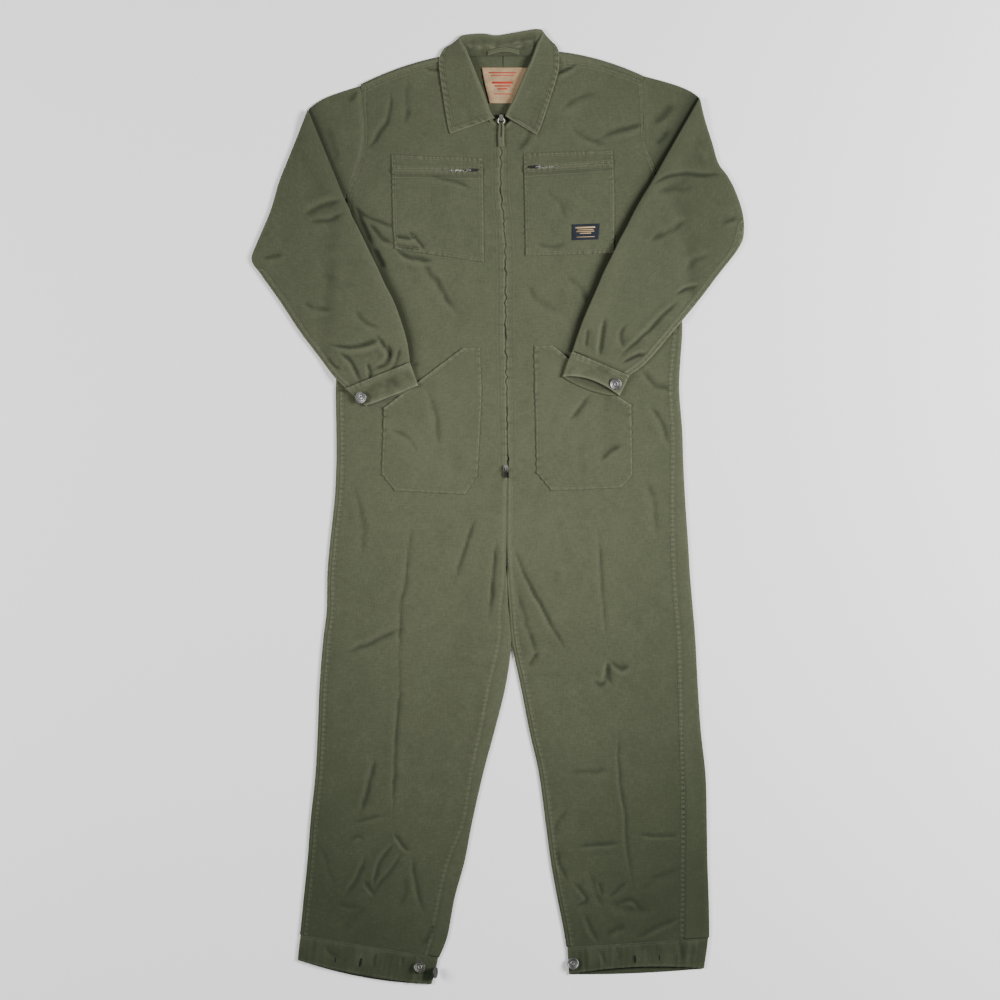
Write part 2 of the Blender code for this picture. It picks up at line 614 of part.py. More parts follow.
def make_hem(name, sections, last_row, material):
    """The turned-up band at the ankle, which continues the leg's front and back."""
    columns = 8

    def top_z(x, y, share, low):
        return max(body_level(last_row, share) + HEM_PROUD, low + 2 * BAND_RADIUS)

    def bottom_z(x, y, share):
        return BAND / 2

    grid = [tube_ring(section, columns, top_z, bottom_z, BAND_RADIUS) for section in sections]
    return panel(name, grid, material, wall=BAND, closed=True)


# ---- collar ---------------------------------------------------------------------------

def make_leaf(name, rows, material):
    """A collar leaf: from its outer edge up to the roll, and round it to the stand below."""
    columns = 6
    roll = 1.7           # radius of the roll
    full_tuck = 9.0      # how far the cloth runs back under the roll
    near, far = 14.0, 21.0
    rise_power = 1.2
    clear = 2 * SEAM + LEAF / 2
    grid = []
    for row in rows:
        width = row_width(row)
        inward = Vector((row.inner_x - row.outer_x, row.inner_y - row.outer_y)) / width
        tuck = min(full_tuck, width * 0.5)
        roll_end = plan_point(row, 1.0)
        tuck_end = (roll_end[0] - tuck * inward.x, roll_end[1] - tuck * inward.y)
        low = max(pile.ground(*roll_end, near), pile.ground(*tuck_end, near)) + clear
        high = low + 2 * roll
        outer_z = pile.ground(*plan_point(row, 0.0), far) + clear
        line = []
        for column in range(columns + 1):
            share = (1 - roll / width) * column / columns
            x, y = plan_point(row, share)
            lift = min(1.0, share / (1 - tuck / width)) ** rise_power
            line.append((x, y, max(pile.ground(x, y, far) + clear, outer_z + (high - outer_z) * lift)))
        line.append((*roll_end, low + roll))
        line.append((roll_end[0] - roll * inward.x, roll_end[1] - roll * inward.y, low))
        line.append((*tuck_end, low))
        grid.append(line)
    return panel(name, grid, material, wall=LEAF)


def neck_seam_y(x):
    """Where the top of the back ends, under the stand."""
    shoulder = SHOULDER_RIGHT if x < SHOULDER_RIGHT.inner_x else SHOULDER_LEFT
    return plan_point(shoulder, (x - shoulder.outer_x) / (shoulder.inner_x - shoulder.outer_x))[1]


def make_stand(name, braces, material):
    """The back of the collar: the stand inside the neck, and the fall folded behind it."""
    fall_share = 0.7
    fall = [(2.2, LEAF / 2), (0.6, 1.7), (0.0, 3.0), (0.9, 4.4)]    # distance down, height
    stand = [(0.45, 4.9), (0.8, 3.2), (1.0, 1.4)]                   # share of the way down, height
    grid = []
    for brace in braces:
        down = Vector((brace.seam_x - brace.top_x, neck_seam_y(brace.seam_x) + 3 * SEAM - brace.top_y))
        length = down.length
        down.normalize()
        section = [(length * fall_share, LEAF / 2)] + fall + [(length * share, z) for share, z in stand]
        grid.append([(brace.top_x + down.x * run, brace.top_y + down.y * run, z) for run, z in section])
    return panel(name, grid, material, wall=PLY)


def patch(name, rows, material, wall=PLY, reach=9.0, columns=6):
    """A flat piece laid on what is below it, each point moved out from there."""
    grid = []
    for row in rows:
        line = []
        for column in range(columns + 1):
            x, y = plan_point(row, column / columns)
            line.append((x, y, pile.ground(x, y, reach) + SEAM + wall / 2))
        grid.append(line)
    return panel(name, grid, material, wall=wall)


def spread(rows, steps):
    """Rows, with extra ones in equal steps between each pair."""
    fine = []
    for upper, lower in zip(rows, rows[1:]):
        fine += [Row(*(a + (b - a) * step / steps for a, b in zip(upper[:4], lower[:4])))
                 for step in range(steps)]
    return fine + [rows[-1]]


def moved(row, offset):
    """A row shifted towards the collar."""
    return row._replace(outer_y=row.outer_y + offset, inner_y=row.inner_y + offset)


def make_chest_pocket(side, top, zip_row, foot, canvas, tape):
    """Band, zip and pocket, from the top edge down."""
    half = CHEST_ZIP_WIDTH / 2
    band = patch(f"chest_band_{side}", [top, moved(zip_row, half + SEAM)], canvas)
    rows = spread([moved(zip_row, -half - SEAM)] + foot, 2)
    pocket = patch(f"chest_pocket_{side}", rows, canvas)
    strip = patch(f"chest_zip_{side}", [moved(zip_row, half), moved(zip_row, -half)], tape, wall=TAPE)
    pile.add(band, pocket, strip)


# ---- metal ----------------------------------------------------------------------------

BAIL_ROOM = 2.6      # clear height under the bail
BAIL_THICK = 1.1
BAIL_REACH = 3.4     # half of the bail's length
BAIL_FOOT = 1.2
BAIL_WIDTH = 1.8


def bail_mesh(name, base, sunk):
    """The bail: a strap of even width that rises from the slider, crosses it and comes down."""
    foot = BAIL_REACH - BAIL_FOOT
    under = base + sunk + BAIL_ROOM
    top = under + BAIL_THICK
    bevel, inner_bevel = 0.9, 0.3
    outer = [(-BAIL_REACH, base), (-BAIL_REACH, top - bevel), (-BAIL_REACH + bevel, top),
             (BAIL_REACH - bevel, top), (BAIL_REACH, top - bevel), (BAIL_REACH, base)]
    inner = [(-foot, base), (-foot, under - inner_bevel), (-foot + inner_bevel, under),
             (foot - inner_bevel, under), (foot, under - inner_bevel), (foot, base)]
    half = BAIL_WIDTH / 2
    shape = bmesh.new()
    rings = []
    for (y0, z0), (y1, z1) in zip(outer, inner):
        corners = ((-half, y0, z0), (half, y0, z0), (half, y1, z1), (-half, y1, z1))
        rings.append([shape.verts.new(Vector(corner) * MM) for corner in corners])
    for first, second in zip(rings, rings[1:]):
        for corner in range(4):
            following = (corner + 1) % 4
            shape.faces.new((first[corner], first[following], second[following], second[corner]))
    shape.faces.new(rings[0][::-1])
    shape.faces.new(rings[-1])
    bmesh.ops.recalc_face_normals(shape, faces=shape.faces[:])
    mesh = bpy.data.meshes.new(name)
    shape.to_mesh(mesh)
    shape.free()
    return mesh


def make_slider(fitting, at, heading, material):
    """A zip slider: a body that narrows to one end, and a bail over it for the pull."""
    name = f"{fitting.name}_slider"
    half_w, half_l = fitting.width / 2, fitting.length / 2
    sunk = 0.4           # how far the bail's feet reach into the body
    body = bmesh.new()
    outline = [(-half_w * 0.7, -half_l), (half_w * 0.7, -half_l), (half_w, -half_l * 0.2),
               (half_w, half_l * 0.7), (half_w * 0.75, half_l), (-half_w * 0.75, half_l),
               (-half_w, half_l * 0.7), (-half_w, -half_l * 0.2)]
    face = body.faces.new([body.verts.new(Vector((x, y, 0)) * MM) for x, y in outline])
    grown = bmesh.ops.extrude_face_region(body, geom=[face])["geom"]
    bmesh.ops.translate(body, vec=Vector((0, 0, fitting.depth * MM)),
                        verts=[item for item in grown if isinstance(item, bmesh.types.BMVert)])
    bmesh.ops.recalc_face_normals(body, faces=body.faces[:])
    mesh = bpy.data.meshes.new(name)
    body.to_mesh(mesh)
    body.free()
    slider = finish(name, mesh, material)
    loop = bpy.data.objects.new(f"{name}_bail", bail_mesh(f"{name}_bail", fitting.depth - sunk, sunk))
    cutters.objects.link(loop)
    loop.hide_render = True
    loop.display_type = "WIRE"
    for shape in (slider, loop):
        shape.location = Vector(at) * MM
        shape.rotation_euler = (0, 0, heading)
    joined = slider.modifiers.new("bail", "BOOLEAN")
    joined.operation = "UNION"
    joined.object = loop


def make_pull(name, outline, at, heading, droop, material):
    """A flat pull with a window whose upper bar lies under the bail. It points along -Y."""
    thick = arm = 1.1
    window_half = BAIL_WIDTH / 2 + 0.4
    bar = 0.7
    reach = BAIL_REACH + 1.2
    shoulder = reach + 0.8
    curve = bpy.data.curves.new(name, "CURVE")
    curve.dimensions = "2D"
    curve.fill_mode = "BOTH"
    curve.extrude = thick / 2 * MM
    outer_half = window_half + arm
    frame_points = ([(-outer_half, bar), (outer_half, bar), (outer_half, -shoulder)] + outline
                    + [(-x, y) for x, y in reversed(outline)] + [(-outer_half, -shoulder)])
    window = [(-window_half, -bar), (window_half, -bar), (window_half, -reach), (-window_half, -reach)]
    for points in (frame_points, window):
        spline = curve.splines.new("POLY")
        spline.points.add(len(points) - 1)
        for point, (x, y) in zip(spline.points, points):
            point.co = (x * MM, y * MM, 0, 1)
        spline.use_cyclic_u = True
    flat = bpy.data.objects.new(f"{name}_outline", curve)
    cutters.objects.link(flat)
    graph = bpy.context.evaluated_depsgraph_get()
    mesh = bpy.data.meshes.new_from_object(flat.evaluated_get(graph))
    bpy.data.objects.remove(flat)
    shape = bmesh.new()
    shape.from_mesh(mesh)
    bmesh.ops.remove_doubles(shape, verts=shape.verts[:], dist=0.00001)
    shape.to_mesh(mesh)
    shape.free()
    mesh.name = name
    pull = finish(name, mesh, material)
    pull.matrix_world = (Matrix.Translation(Vector(at) * MM) @ Matrix.Rotation(heading, 4, "Z")
                         @ Matrix.Rotation(droop, 4, "X"))


def zip_fitting(fitting, metal):
    """A slider standing on the cloth, with its pull under the bail."""
    heading, droop = math.radians(fitting.turn), math.radians(fitting.droop)
    floor = pile.ground(fitting.x, fitting.y, fitting.reach) + SEAM
    make_slider(fitting, (fitting.x, fitting.y, floor), heading, metal)
    bar_z = floor + fitting.depth + BAIL_ROOM / 2
    make_pull(f"{fitting.name}_pull", fitting.outline, (fitting.x, fitting.y, bar_z), heading, droop, metal)


def make_button(button, z, metal):
    """A turned shank button with a rolled rim and a dished face."""
    mesh = bpy.data.meshes.new(button.name)
    mesh.from_pydata([(share * BUTTON_RADIUS * MM, 0, height * MM) for share, height in BUTTON_PROFILE],
                     [(index, index + 1) for index in range(len(BUTTON_PROFILE) - 1)], [])
    shape = finish(button.name, mesh, metal)
    turn = shape.modifiers.new("turn", "SCREW")
    turn.steps = turn.render_steps = 16
    turn.use_merge_vertices = True
    turn.merge_threshold = 0.00001
    shape.location = Vector((button.x, button.y, z)) * MM
    shape.rotation_euler = (math.radians(button.tilt_x), math.radians(button.tilt_y), 0)


def button_height(button):
    """Where the shank of a button stands on the cloth below it."""
    shank_reach, rim_reach = 7.0, 10.0
    rim_height = 2.4
    lean = BUTTON_RADIUS * math.sin(math.radians(math.hypot(button.tilt_x, button.tilt_y)))
    return SEAM + max(pile.ground(button.x, button.y, shank_reach),
                      pile.ground(button.x, button.y, rim_reach) + lean - rim_height)


# ---- assembly -------------------------------------------------------------------------

def clear_scene():
    for shape in list(bpy.data.objects):
        bpy.data.objects.remove(shape, do_unlink=True)
    bpy.context.scene.collection.children.link(cloth_parts)
    bpy.context.scene.collection.children.link(cutters)


def make_body(canvas, dark):
    """Backs, fronts and front zip."""
    backs = [make_back("back_right", SHOULDER_RIGHT, FRONT_YOKE_RIGHT[0], BACK_YOKE_RIGHT, LOWER_RIGHT,
                       canvas),
             make_back("back_left", SHOULDER_LEFT, FRONT_YOKE_LEFT[0], BACK_YOKE_LEFT, LOWER_LEFT, canvas)]
    pile.add(*backs)
    line = centre_line(FRONT_YOKE_RIGHT[3:] + LOWER_RIGHT)
    front_zip = make_zip(line, dark)
    fronts = [make_front("front_right", FRONT_YOKE_RIGHT, LOWER_RIGHT, canvas),
              make_front("front_left", FRONT_YOKE_LEFT, LOWER_LEFT, canvas)]
    pile.add(front_zip, *fronts)
    hems = [make_hem("hem_right", HEM_RIGHT, LOWER_RIGHT[-1], canvas),
            make_hem("hem_left", HEM_LEFT, LOWER_LEFT[-1], canvas)]
    pile.add(*hems)


def make_arms(canvas):
    """Sleeve heads, sleeves and cuffs."""
    armholes = {"right": [SHOULDER_RIGHT] + FRONT_YOKE_RIGHT[1:] + LOWER_RIGHT[:1],
                "left": [SHOULDER_LEFT] + FRONT_YOKE_LEFT[1:] + LOWER_LEFT[:1]}
    heads = {"right": HEAD_RIGHT, "left": HEAD_LEFT}
    arms = {"right": SLEEVE_RIGHT, "left": SLEEVE_LEFT}
    cuffs = {"right": CUFF_RIGHT, "left": CUFF_LEFT}
    for side in ("right", "left"):
        pile.add(make_head(f"sleeve_head_{side}", armholes[side], heads[side], canvas))
        sleeve = laid_tube(f"sleeve_{side}", arms[side], canvas, folds=SLEEVE_FOLDS)
        cuff = laid_tube(f"cuff_{side}", cuffs[side], canvas, wall=BAND, radius=BAND_RADIUS, columns=7)
        pile.add(sleeve, cuff)


def main():
    clear_scene()
    canvas = cloth("olive_canvas", (0.105, 0.115, 0.062))
    dark = cloth("zip_tape", (0.05, 0.055, 0.03), roughness=0.8)
    tan = cloth("tan_label", (0.38, 0.27, 0.16))
    navy = cloth("navy_label", (0.02, 0.025, 0.035), roughness=0.7)
    steel = cloth("old_nickel", (0.42, 0.41, 0.38), roughness=0.35, metallic=1.0)
    make_body(canvas, dark)
    make_chest_pocket("right", CHEST_TOP_RIGHT, CHEST_ZIP_RIGHT, CHEST_FOOT_RIGHT, canvas, dark)
    make_chest_pocket("left", CHEST_TOP_LEFT, CHEST_ZIP_LEFT, CHEST_FOOT_LEFT, canvas, dark)
    pile.add(patch("chest_label", CHEST_LABEL, navy, wall=TAPE, columns=3))
    pile.add(patch("hip_pocket_right", spread(HIP_POCKET_RIGHT, 2), canvas))
    pile.add(patch("hip_pocket_left", spread(HIP_POCKET_LEFT, 2), canvas))
    pile.add(patch("neck_label", NECK_LABEL, tan, wall=TAPE, reach=4.0, columns=3))
    stand = make_stand("collar_stand", STAND, canvas)
    leaves = [make_leaf("collar_right", LEAF_RIGHT, canvas), make_leaf("collar_left", LEAF_LEFT, canvas)]
    pile.add(stand, *leaves)
    pile.add(patch("hanger_loop", HANGER_LOOP, canvas, wall=TAPE, reach=7.0))
    make_arms(canvas)
    for fitting in FITTINGS:
        zip_fitting(fitting, steel)
    for button in BUTTONS:
        make_button(button, button_height(button), steel)
    make_button(SIDE_BUTTON, SIDE_BUTTON_Z, steel)


main()
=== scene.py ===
"""Olive canvas boiler suit laid flat on its back: the cloth, sewing, metal and finishes.

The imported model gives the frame. Sizes and places here are in millimetres in that frame: +X runs
towards the wearer's left arm, +Y towards the collar and +Z up from the surface that the garment
rests on. Pieces are laid in the order in which they are sewn and folded. A map of heights holds
what lies on top so far, and each new piece drapes over it.
"""
from __future__ import annotations

import logging
import math
from dataclasses import dataclass, field
from enum import Enum
from typing import Any, Callable, NamedTuple, Optional, Sequence, Union

import bpy
import numpy as np
from mathutils import Euler, Matrix, Vector

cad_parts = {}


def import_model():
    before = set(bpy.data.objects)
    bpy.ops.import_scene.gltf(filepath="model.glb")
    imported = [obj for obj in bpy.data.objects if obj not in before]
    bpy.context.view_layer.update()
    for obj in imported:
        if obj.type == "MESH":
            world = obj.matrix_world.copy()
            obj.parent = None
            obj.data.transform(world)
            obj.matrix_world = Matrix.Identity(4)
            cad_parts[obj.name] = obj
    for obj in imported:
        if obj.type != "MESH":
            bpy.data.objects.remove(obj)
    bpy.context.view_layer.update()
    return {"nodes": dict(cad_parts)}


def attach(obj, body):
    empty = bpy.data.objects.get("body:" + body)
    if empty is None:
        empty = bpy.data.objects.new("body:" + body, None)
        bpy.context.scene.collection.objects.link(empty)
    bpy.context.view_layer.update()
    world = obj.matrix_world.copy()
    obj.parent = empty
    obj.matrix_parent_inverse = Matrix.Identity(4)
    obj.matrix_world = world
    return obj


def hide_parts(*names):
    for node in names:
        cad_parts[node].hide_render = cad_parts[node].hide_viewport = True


LOG = logging.getLogger("boiler_suit")
MM = 0.001

PLY = 1.2            # one thickness of canvas
EDGE_Z = 2.4         # middle of a front at its side edge
BODY_CROWN = 3.2     # how far the middle of the body stands above its edges
LEG_CROWN = 3.4
SWELL_SHARE = 0.1    # share of a panel's width over which the crown rises from a seam
AIR = 0.3            # between a piece and what it lies on
SIDE_TURN = 1.5      # outer radius of the fold along a side edge
FLAT_START = -0.6    # from the outline to the first point where a side isn't rolled
LAP = 8.0            # how far a back's edge runs on under the front
ZIP_END_Y = 40.0
ZIP_FOOT_Y = 78.0    # where the zip stands open above its lower slider
EDGE_SHARES = (0, 0.0035, 0.008, 0.0135, 0.02, 0.027, 0.035, 0.044)    # of a front's width, at its edges
FAR = 40.0           # stands for the distance from an edge where no wear shows
SLEEVE_PAINTED_SHADOW = 0.85  # painted shadow: how much darker the cloth is painted where a sleeve stands over it
CREASE_GAIN = 1.15   # height of all creases, as a share of what their tables say
CREASE_PAINTED_SHADE = 0.14  # painted shade: how much darker each millimetre of a crease's valley is painted
CREASE_STRAY = 0.22  # how far a crease strays from its line, as a share of its width
CREASE_FADE = 0.34   # share of a crease's length over which each of its ends fades
RIPPLE_PAINTED_LIGHT = 0.22   # painted light and shade: how much paler each millimetre of a sewing ripple's crest is painted, and how much darker below 0
NECK_POINT_Y = 630.0 # where the fronts part at the neck

Point = tuple[float, float]
Line = Union[Sequence[Point], np.ndarray]


class Side(Enum):
    """The wearer's right or left."""
    RIGHT = "right"
    LEFT = "left"

    @property
    def sign(self) -> float:
        """-1 on the right, 1 on the left, as along X."""
        return -1.0 if self is Side.RIGHT else 1.0


class Edge(Enum):
    """The edges of a sheet: its first and last column and its first and last row."""
    LEFT = 0
    RIGHT = 1
    TOP = 2
    BOTTOM = 3


class Lay(Enum):
    """How cloth is held where it lies."""
    LAID = "laid"
    FOLDED = "folded"


# ---- shape helpers --------------------------------------------------------------------

def catmull(values: np.ndarray, at: np.ndarray) -> np.ndarray:
    """Smooth values between the rows of a table.

    Args:
        values: One row of numbers for each station.
        at: Fractional station numbers.

    Returns:
        One smooth row for each entry of at.
    """
    last = len(values) - 1
    index = np.clip(np.floor(at).astype(int), 0, last - 1)
    share = (at - index)[:, None]
    before, first = values[np.maximum(index - 1, 0)], values[index]
    second, after = values[index + 1], values[np.minimum(index + 2, last)]
    return 0.5 * (2 * first + (second - before) * share
                  + (2 * before - 5 * first + 4 * second - after) * share ** 2
                  + (3 * first - before - 3 * second + after) * share ** 3)


def steps_along(lengths: np.ndarray, pitch: float) -> np.ndarray:
    """Fractional station numbers in nearly equal steps.

    Args:
        lengths: The distance from each station to the next.
        pitch: The wanted step.

    Returns:
        Station numbers from the first station to the last.
    """
    reach = reach_along(lengths)
    count = max(2, int(round(reach[-1] / pitch)) + 1)
    return np.interp(np.linspace(0.0, reach[-1], count), reach, np.arange(len(reach)))


def smooth_line(points: Line, pitch: float = 3.0, straight: bool = False) -> np.ndarray:
    """A line through points, resampled in equal steps.

    Args:
        points: Places in plan, or in space.
        pitch: The distance between samples.
        straight: Keeps the corners where it is true.

    Returns:
        The samples, one to a row.
    """
    table = np.array(points, dtype=float)
    if straight or len(table) == 2:
        reach = reach_along(step_lengths(table))
        targets = np.linspace(0.0, reach[-1], max(2, int(round(reach[-1] / pitch)) + 1))
        return resampled(table, targets, reach)
    fine = catmull(table, np.linspace(0, len(table) - 1, len(table) * 12))
    return smooth_line(fine, pitch, straight=True)


def beside(line: np.ndarray, offset: float) -> np.ndarray:
    """A line moved to its left by an offset, or to its right where the offset is negative."""
    along = unit(np.gradient(line[:, :2], axis=0))
    moved = line.copy()
    moved[:, 0] -= along[:, 1] * offset
    moved[:, 1] += along[:, 0] * offset
    return moved


def near_line(line: np.ndarray, xs: np.ndarray, ys: np.ndarray) -> tuple[np.ndarray, np.ndarray, float]:
    """Where points lie relative to a line in plan.

    Args:
        line: The line's samples.
        xs: The points' x.
        ys: The points' y.

    Returns:
        The distance to the line (positive on its left), the distance along it, and its length.
    """
    best = np.full(xs.shape, 1e9)
    side = np.zeros(xs.shape)
    along = np.zeros(xs.shape)
    start = 0.0
    for (x0, y0), (x1, y1) in zip(line[:-1, :2], line[1:, :2]):
        length = math.hypot(x1 - x0, y1 - y0)
        if length < 1e-9:
            continue
        dx, dy = (x1 - x0) / length, (y1 - y0) / length
        run = np.clip((xs - x0) * dx + (ys - y0) * dy, 0.0, length)
        away_x, away_y = xs - x0 - run * dx, ys - y0 - run * dy
        distance = np.hypot(away_x, away_y)
        nearer = distance < best
        best = np.where(nearer, distance, best)
        side = np.where(nearer, np.sign(dx * away_y - dy * away_x), side)
        along = np.where(nearer, start + run, along)
        start += length
    return best * np.where(side == 0, 1.0, side), along, start


def eased(share: np.ndarray) -> np.ndarray:
    """A smooth step from 0 to 1."""
    clipped = np.clip(share, 0.0, 1.0)
    return clipped * clipped * (3 - 2 * clipped)


def bell(value: np.ndarray, width: np.ndarray | float, middle: np.ndarray | float = 0.0) -> np.ndarray:
    """A bell curve: 1 at its middle, and nearly 0 at twice its width from there."""
    return np.exp(-((value - middle) / width) ** 2)


def unit(vectors: np.ndarray) -> np.ndarray:
    """The vectors, each at a length of 1."""
    return vectors / np.maximum(np.linalg.norm(vectors, axis=-1, keepdims=True), 1e-6)


def level_unit(vectors: np.ndarray) -> np.ndarray:
    """The vectors' directions in plan, each at a length of 1."""
    return unit(vectors * np.array([1.0, 1.0, 0.0]))


def rotated(centre: Point, x: np.ndarray, y: np.ndarray, degrees: float) -> tuple[np.ndarray, np.ndarray]:
    """Places given along a piece's own two directions, in plan."""
    cosine, sine = math.cos(math.radians(degrees)), math.sin(math.radians(degrees))
    return centre[0] + x * cosine - y * sine, centre[1] + x * sine + y * cosine


def resampled(line: np.ndarray, at: np.ndarray, reach: Optional[np.ndarray] = None) -> np.ndarray:
    """Points on a line at distances along it, or at fractional point numbers without its reach."""
    known = np.arange(len(line)) if reach is None else reach
    return np.stack([np.interp(at, known, column) for column in line.T], axis=1)


def reach_along(lengths: np.ndarray) -> np.ndarray:
    """The distance of each station from the first."""
    return np.concatenate([[0.0], np.cumsum(lengths)])


def step_lengths(points: np.ndarray) -> np.ndarray:
    """The distance from each point to the next."""
    return np.linalg.norm(np.diff(points, axis=0), axis=1)


class Drift:
    """Smooth and repeatable unevenness, from -1 to 1."""

    def __init__(self, cell: float, seed: int) -> None:
        """Draw the lattice of values.

        Args:
            cell: The size of one swell.
            seed: The seed of its random values.
        """
        self.cell = cell
        self.lattice = np.random.default_rng(seed).uniform(-1.0, 1.0, (128, 128))

    def at(self, xs: np.ndarray, ys: np.ndarray | float) -> np.ndarray:
        """The value at each point, all on one line where ys is a plain number."""
        across, up = np.asarray(xs) / self.cell + 64.0, np.asarray(ys) / self.cell + 64.0
        column, row = np.floor(across).astype(int), np.floor(up).astype(int)
        ease_x, ease_y = eased(across - column), eased(up - row)
        near = self.lattice[row % 128, column % 128] * (1 - ease_x)
        near = near + self.lattice[row % 128, (column + 1) % 128] * ease_x
        far = self.lattice[(row + 1) % 128, column % 128] * (1 - ease_x)
        far = far + self.lattice[(row + 1) % 128, (column + 1) % 128] * ease_x
        return near * (1 - ease_y) + far * ease_y


BROAD_WAVES = Drift(58.0, 11)
SMALL_WAVES = Drift(23.0, 12)
RIPPLES = Drift(7.0, 13)
WRINKLES = Drift(44.0, 14)
SMALL_WRINKLES = Drift(26.0, 15)


class Crease(NamedTuple):
    """A soft ridge along a line in plan, or a trough where the height is negative."""
    line: Line
    height: float
    width: float = 8.0
    lee: float = 0.45    # depth of the hollow on its right, as a share of the height


class Pucker(NamedTuple):
    """Short ripples that a row of sewing draws up across itself."""
    line: Line
    height: float = 0.5
    spread: float = 6.0
    period: float = 13.0
    straight: bool = False


def close_to(line: np.ndarray, xs: np.ndarray, ys: np.ndarray, reach: float) -> np.ndarray:
    """Which points are in or within reach of the box round a line."""
    low, high = line[:, :2].min(axis=0) - reach, line[:, :2].max(axis=0) + reach
    return (xs > low[0]) & (xs < high[0]) & (ys > low[1]) & (ys < high[1])


def crease_height(creases: Sequence[Crease], xs: np.ndarray, ys: np.ndarray,
                  narrow: bool = False) -> np.ndarray:
    """The summed height of creases over points in plan.

    Args:
        creases: The creases.
        xs: The points' X.
        ys: The points' Y.
        narrow: Says that only the sharp middle of each crease counts, and broad creases less.

    Returns:
        A height for each point.
    """
    total = np.zeros(xs.shape)
    for crease in creases:
        line = smooth_line(crease.line, pitch=9.0)
        near = close_to(line, xs, ys, crease.width * 4)
        if not near.any():
            continue
        side, along, length = near_line(line, xs[near], ys[near])
        side = side + CREASE_STRAY * crease.width * SMALL_WAVES.at(xs[near] * 1.4, ys[near] * 1.4)
        uneven = 1 + 0.35 * SMALL_WAVES.at(along, crease.line[0][0])
        fade = eased(np.minimum(along + 1, length + 1 - along) / (CREASE_FADE * length))
        broad = crease.width * (0.45 + 0.55 * fade)
        ridge = 0.5 * bell(side, broad * np.where(side > 0, 1.9, 0.6))
        ridge += 0.5 * bell(side, 0.5 * broad)
        hollow = 0.75 * crease.lee * bell(side, 0.75 * broad, -1.15 * broad)
        if narrow:
            ridge = bell(side, 0.42 * broad) * min(1.0, (5.0 / crease.width) ** 2)
            hollow = 0.0
        total[near] += CREASE_GAIN * crease.height * uneven * fade * (ridge - hollow)
    return total


def crease_wear_and_shade(creases: Sequence[Crease], xs: np.ndarray, ys: np.ndarray) -> np.ndarray:
    """Wear and painted light along creases: a little paler on their ridges (wear and a painted highlight),
    darker in their valleys (painted shade).
    """
    ridges = np.clip(crease_height(creases, xs, ys), 0, 2)
    return 0.05 * ridges + CREASE_PAINTED_SHADE * np.clip(crease_height(creases, xs, ys, narrow=True), -3, 0)


def crumple(xs: np.ndarray, ys: np.ndarray) -> np.ndarray:
    """Faint sharp wrinkles of washed cloth, in patches, from 0 to 1."""
    bent = 14.0 * BROAD_WAVES.at(ys, xs)
    total = np.zeros(np.shape(xs))
    for drift, weight, stretch in ((WRINKLES, 0.6, 0.55), (SMALL_WRINKLES, 0.4, 0.8)):
        lines = (1 - np.abs(drift.at((xs + bent) * 0.9, (ys + bent) * stretch))) ** 4
        total += weight * lines
    patches = eased(0.5 + 0.9 * BROAD_WAVES.at(xs * 0.8 + 300.0, ys * 0.8))
    return total * (0.25 + 0.75 * patches)


def pucker_height(puckers: Sequence[Pucker], xs: np.ndarray, ys: np.ndarray) -> np.ndarray:
    """The summed height of sewing ripples over points in plan."""
    total = np.zeros(xs.shape)
    for pucker in puckers:
        line = smooth_line(pucker.line, pitch=8.0, straight=pucker.straight)
        near = close_to(line, xs, ys, pucker.spread * 3)
        if not near.any():
            continue
        side, along, _ = near_line(line, xs[near], ys[near])
        turn = along / pucker.period + 0.6 * SMALL_WAVES.at(along * 1.5, 0.0)
        strength = 0.65 + 0.5 * SMALL_WAVES.at(along, 40.0)
        wave = np.sin(math.tau * turn + 0.05 * side)
        total[near] += pucker.height * strength * wave * bell(side, pucker.spread)
    return total


class Stripe(NamedTuple):
    """A stripe along an edge or seam: paler wear, or painted shade where its strength is negative."""
    at: float
    width: float
    strength: float


def striped(distance: np.ndarray, stripes: Sequence[Stripe]) -> np.ndarray:
    """The summed wear and painted shade of stripes at their distances from an edge or seam."""
    return sum(stripe.strength * bell(distance, stripe.width, stripe.at) for stripe in stripes)


# Negative stripes are painted shade: dark lines along edges, seam grooves and the gap over the zip.
FRONT_SIDE_STRIPES = (Stripe(0.0, 1.5, -0.35), Stripe(8.6, 1.3, -0.35))
FRONT_ZIP_STRIPES = (Stripe(2.2, 1.2, 0.6), Stripe(0.0, 0.9, -0.6), Stripe(4.2, 0.9, -0.25),
                     Stripe(6.0, 1.2, 0.25), Stripe(8.6, 1.2, -0.3), Stripe(13.8, 1.4, -0.25))
INSEAM_STRIPES = (Stripe(4.5, 2.4, 0.3), Stripe(0.0, 1.6, -0.3))
SLEEVE_SEAM_STRIPES = (Stripe(0.0, 1.8, 0.5), Stripe(7.2, 1.6, 0.45), Stripe(4.4, 1.0, -0.35),
                       Stripe(10.6, 1.3, -0.4))
PATCH_STRIPES = (Stripe(0.8, 1.7, 0.85), Stripe(4.6, 1.3, 0.35))
COLLAR_PALE_STRIPES = (Stripe(0.6, 1.5, 0.65), Stripe(5.0, 1.5, 0.35))
COLLAR_DEEP_STRIPES = (Stripe(2.8, 0.8, -0.25), Stripe(8.2, 1.5, -0.4))


# ---- the heights of what is laid ------------------------------------------------------

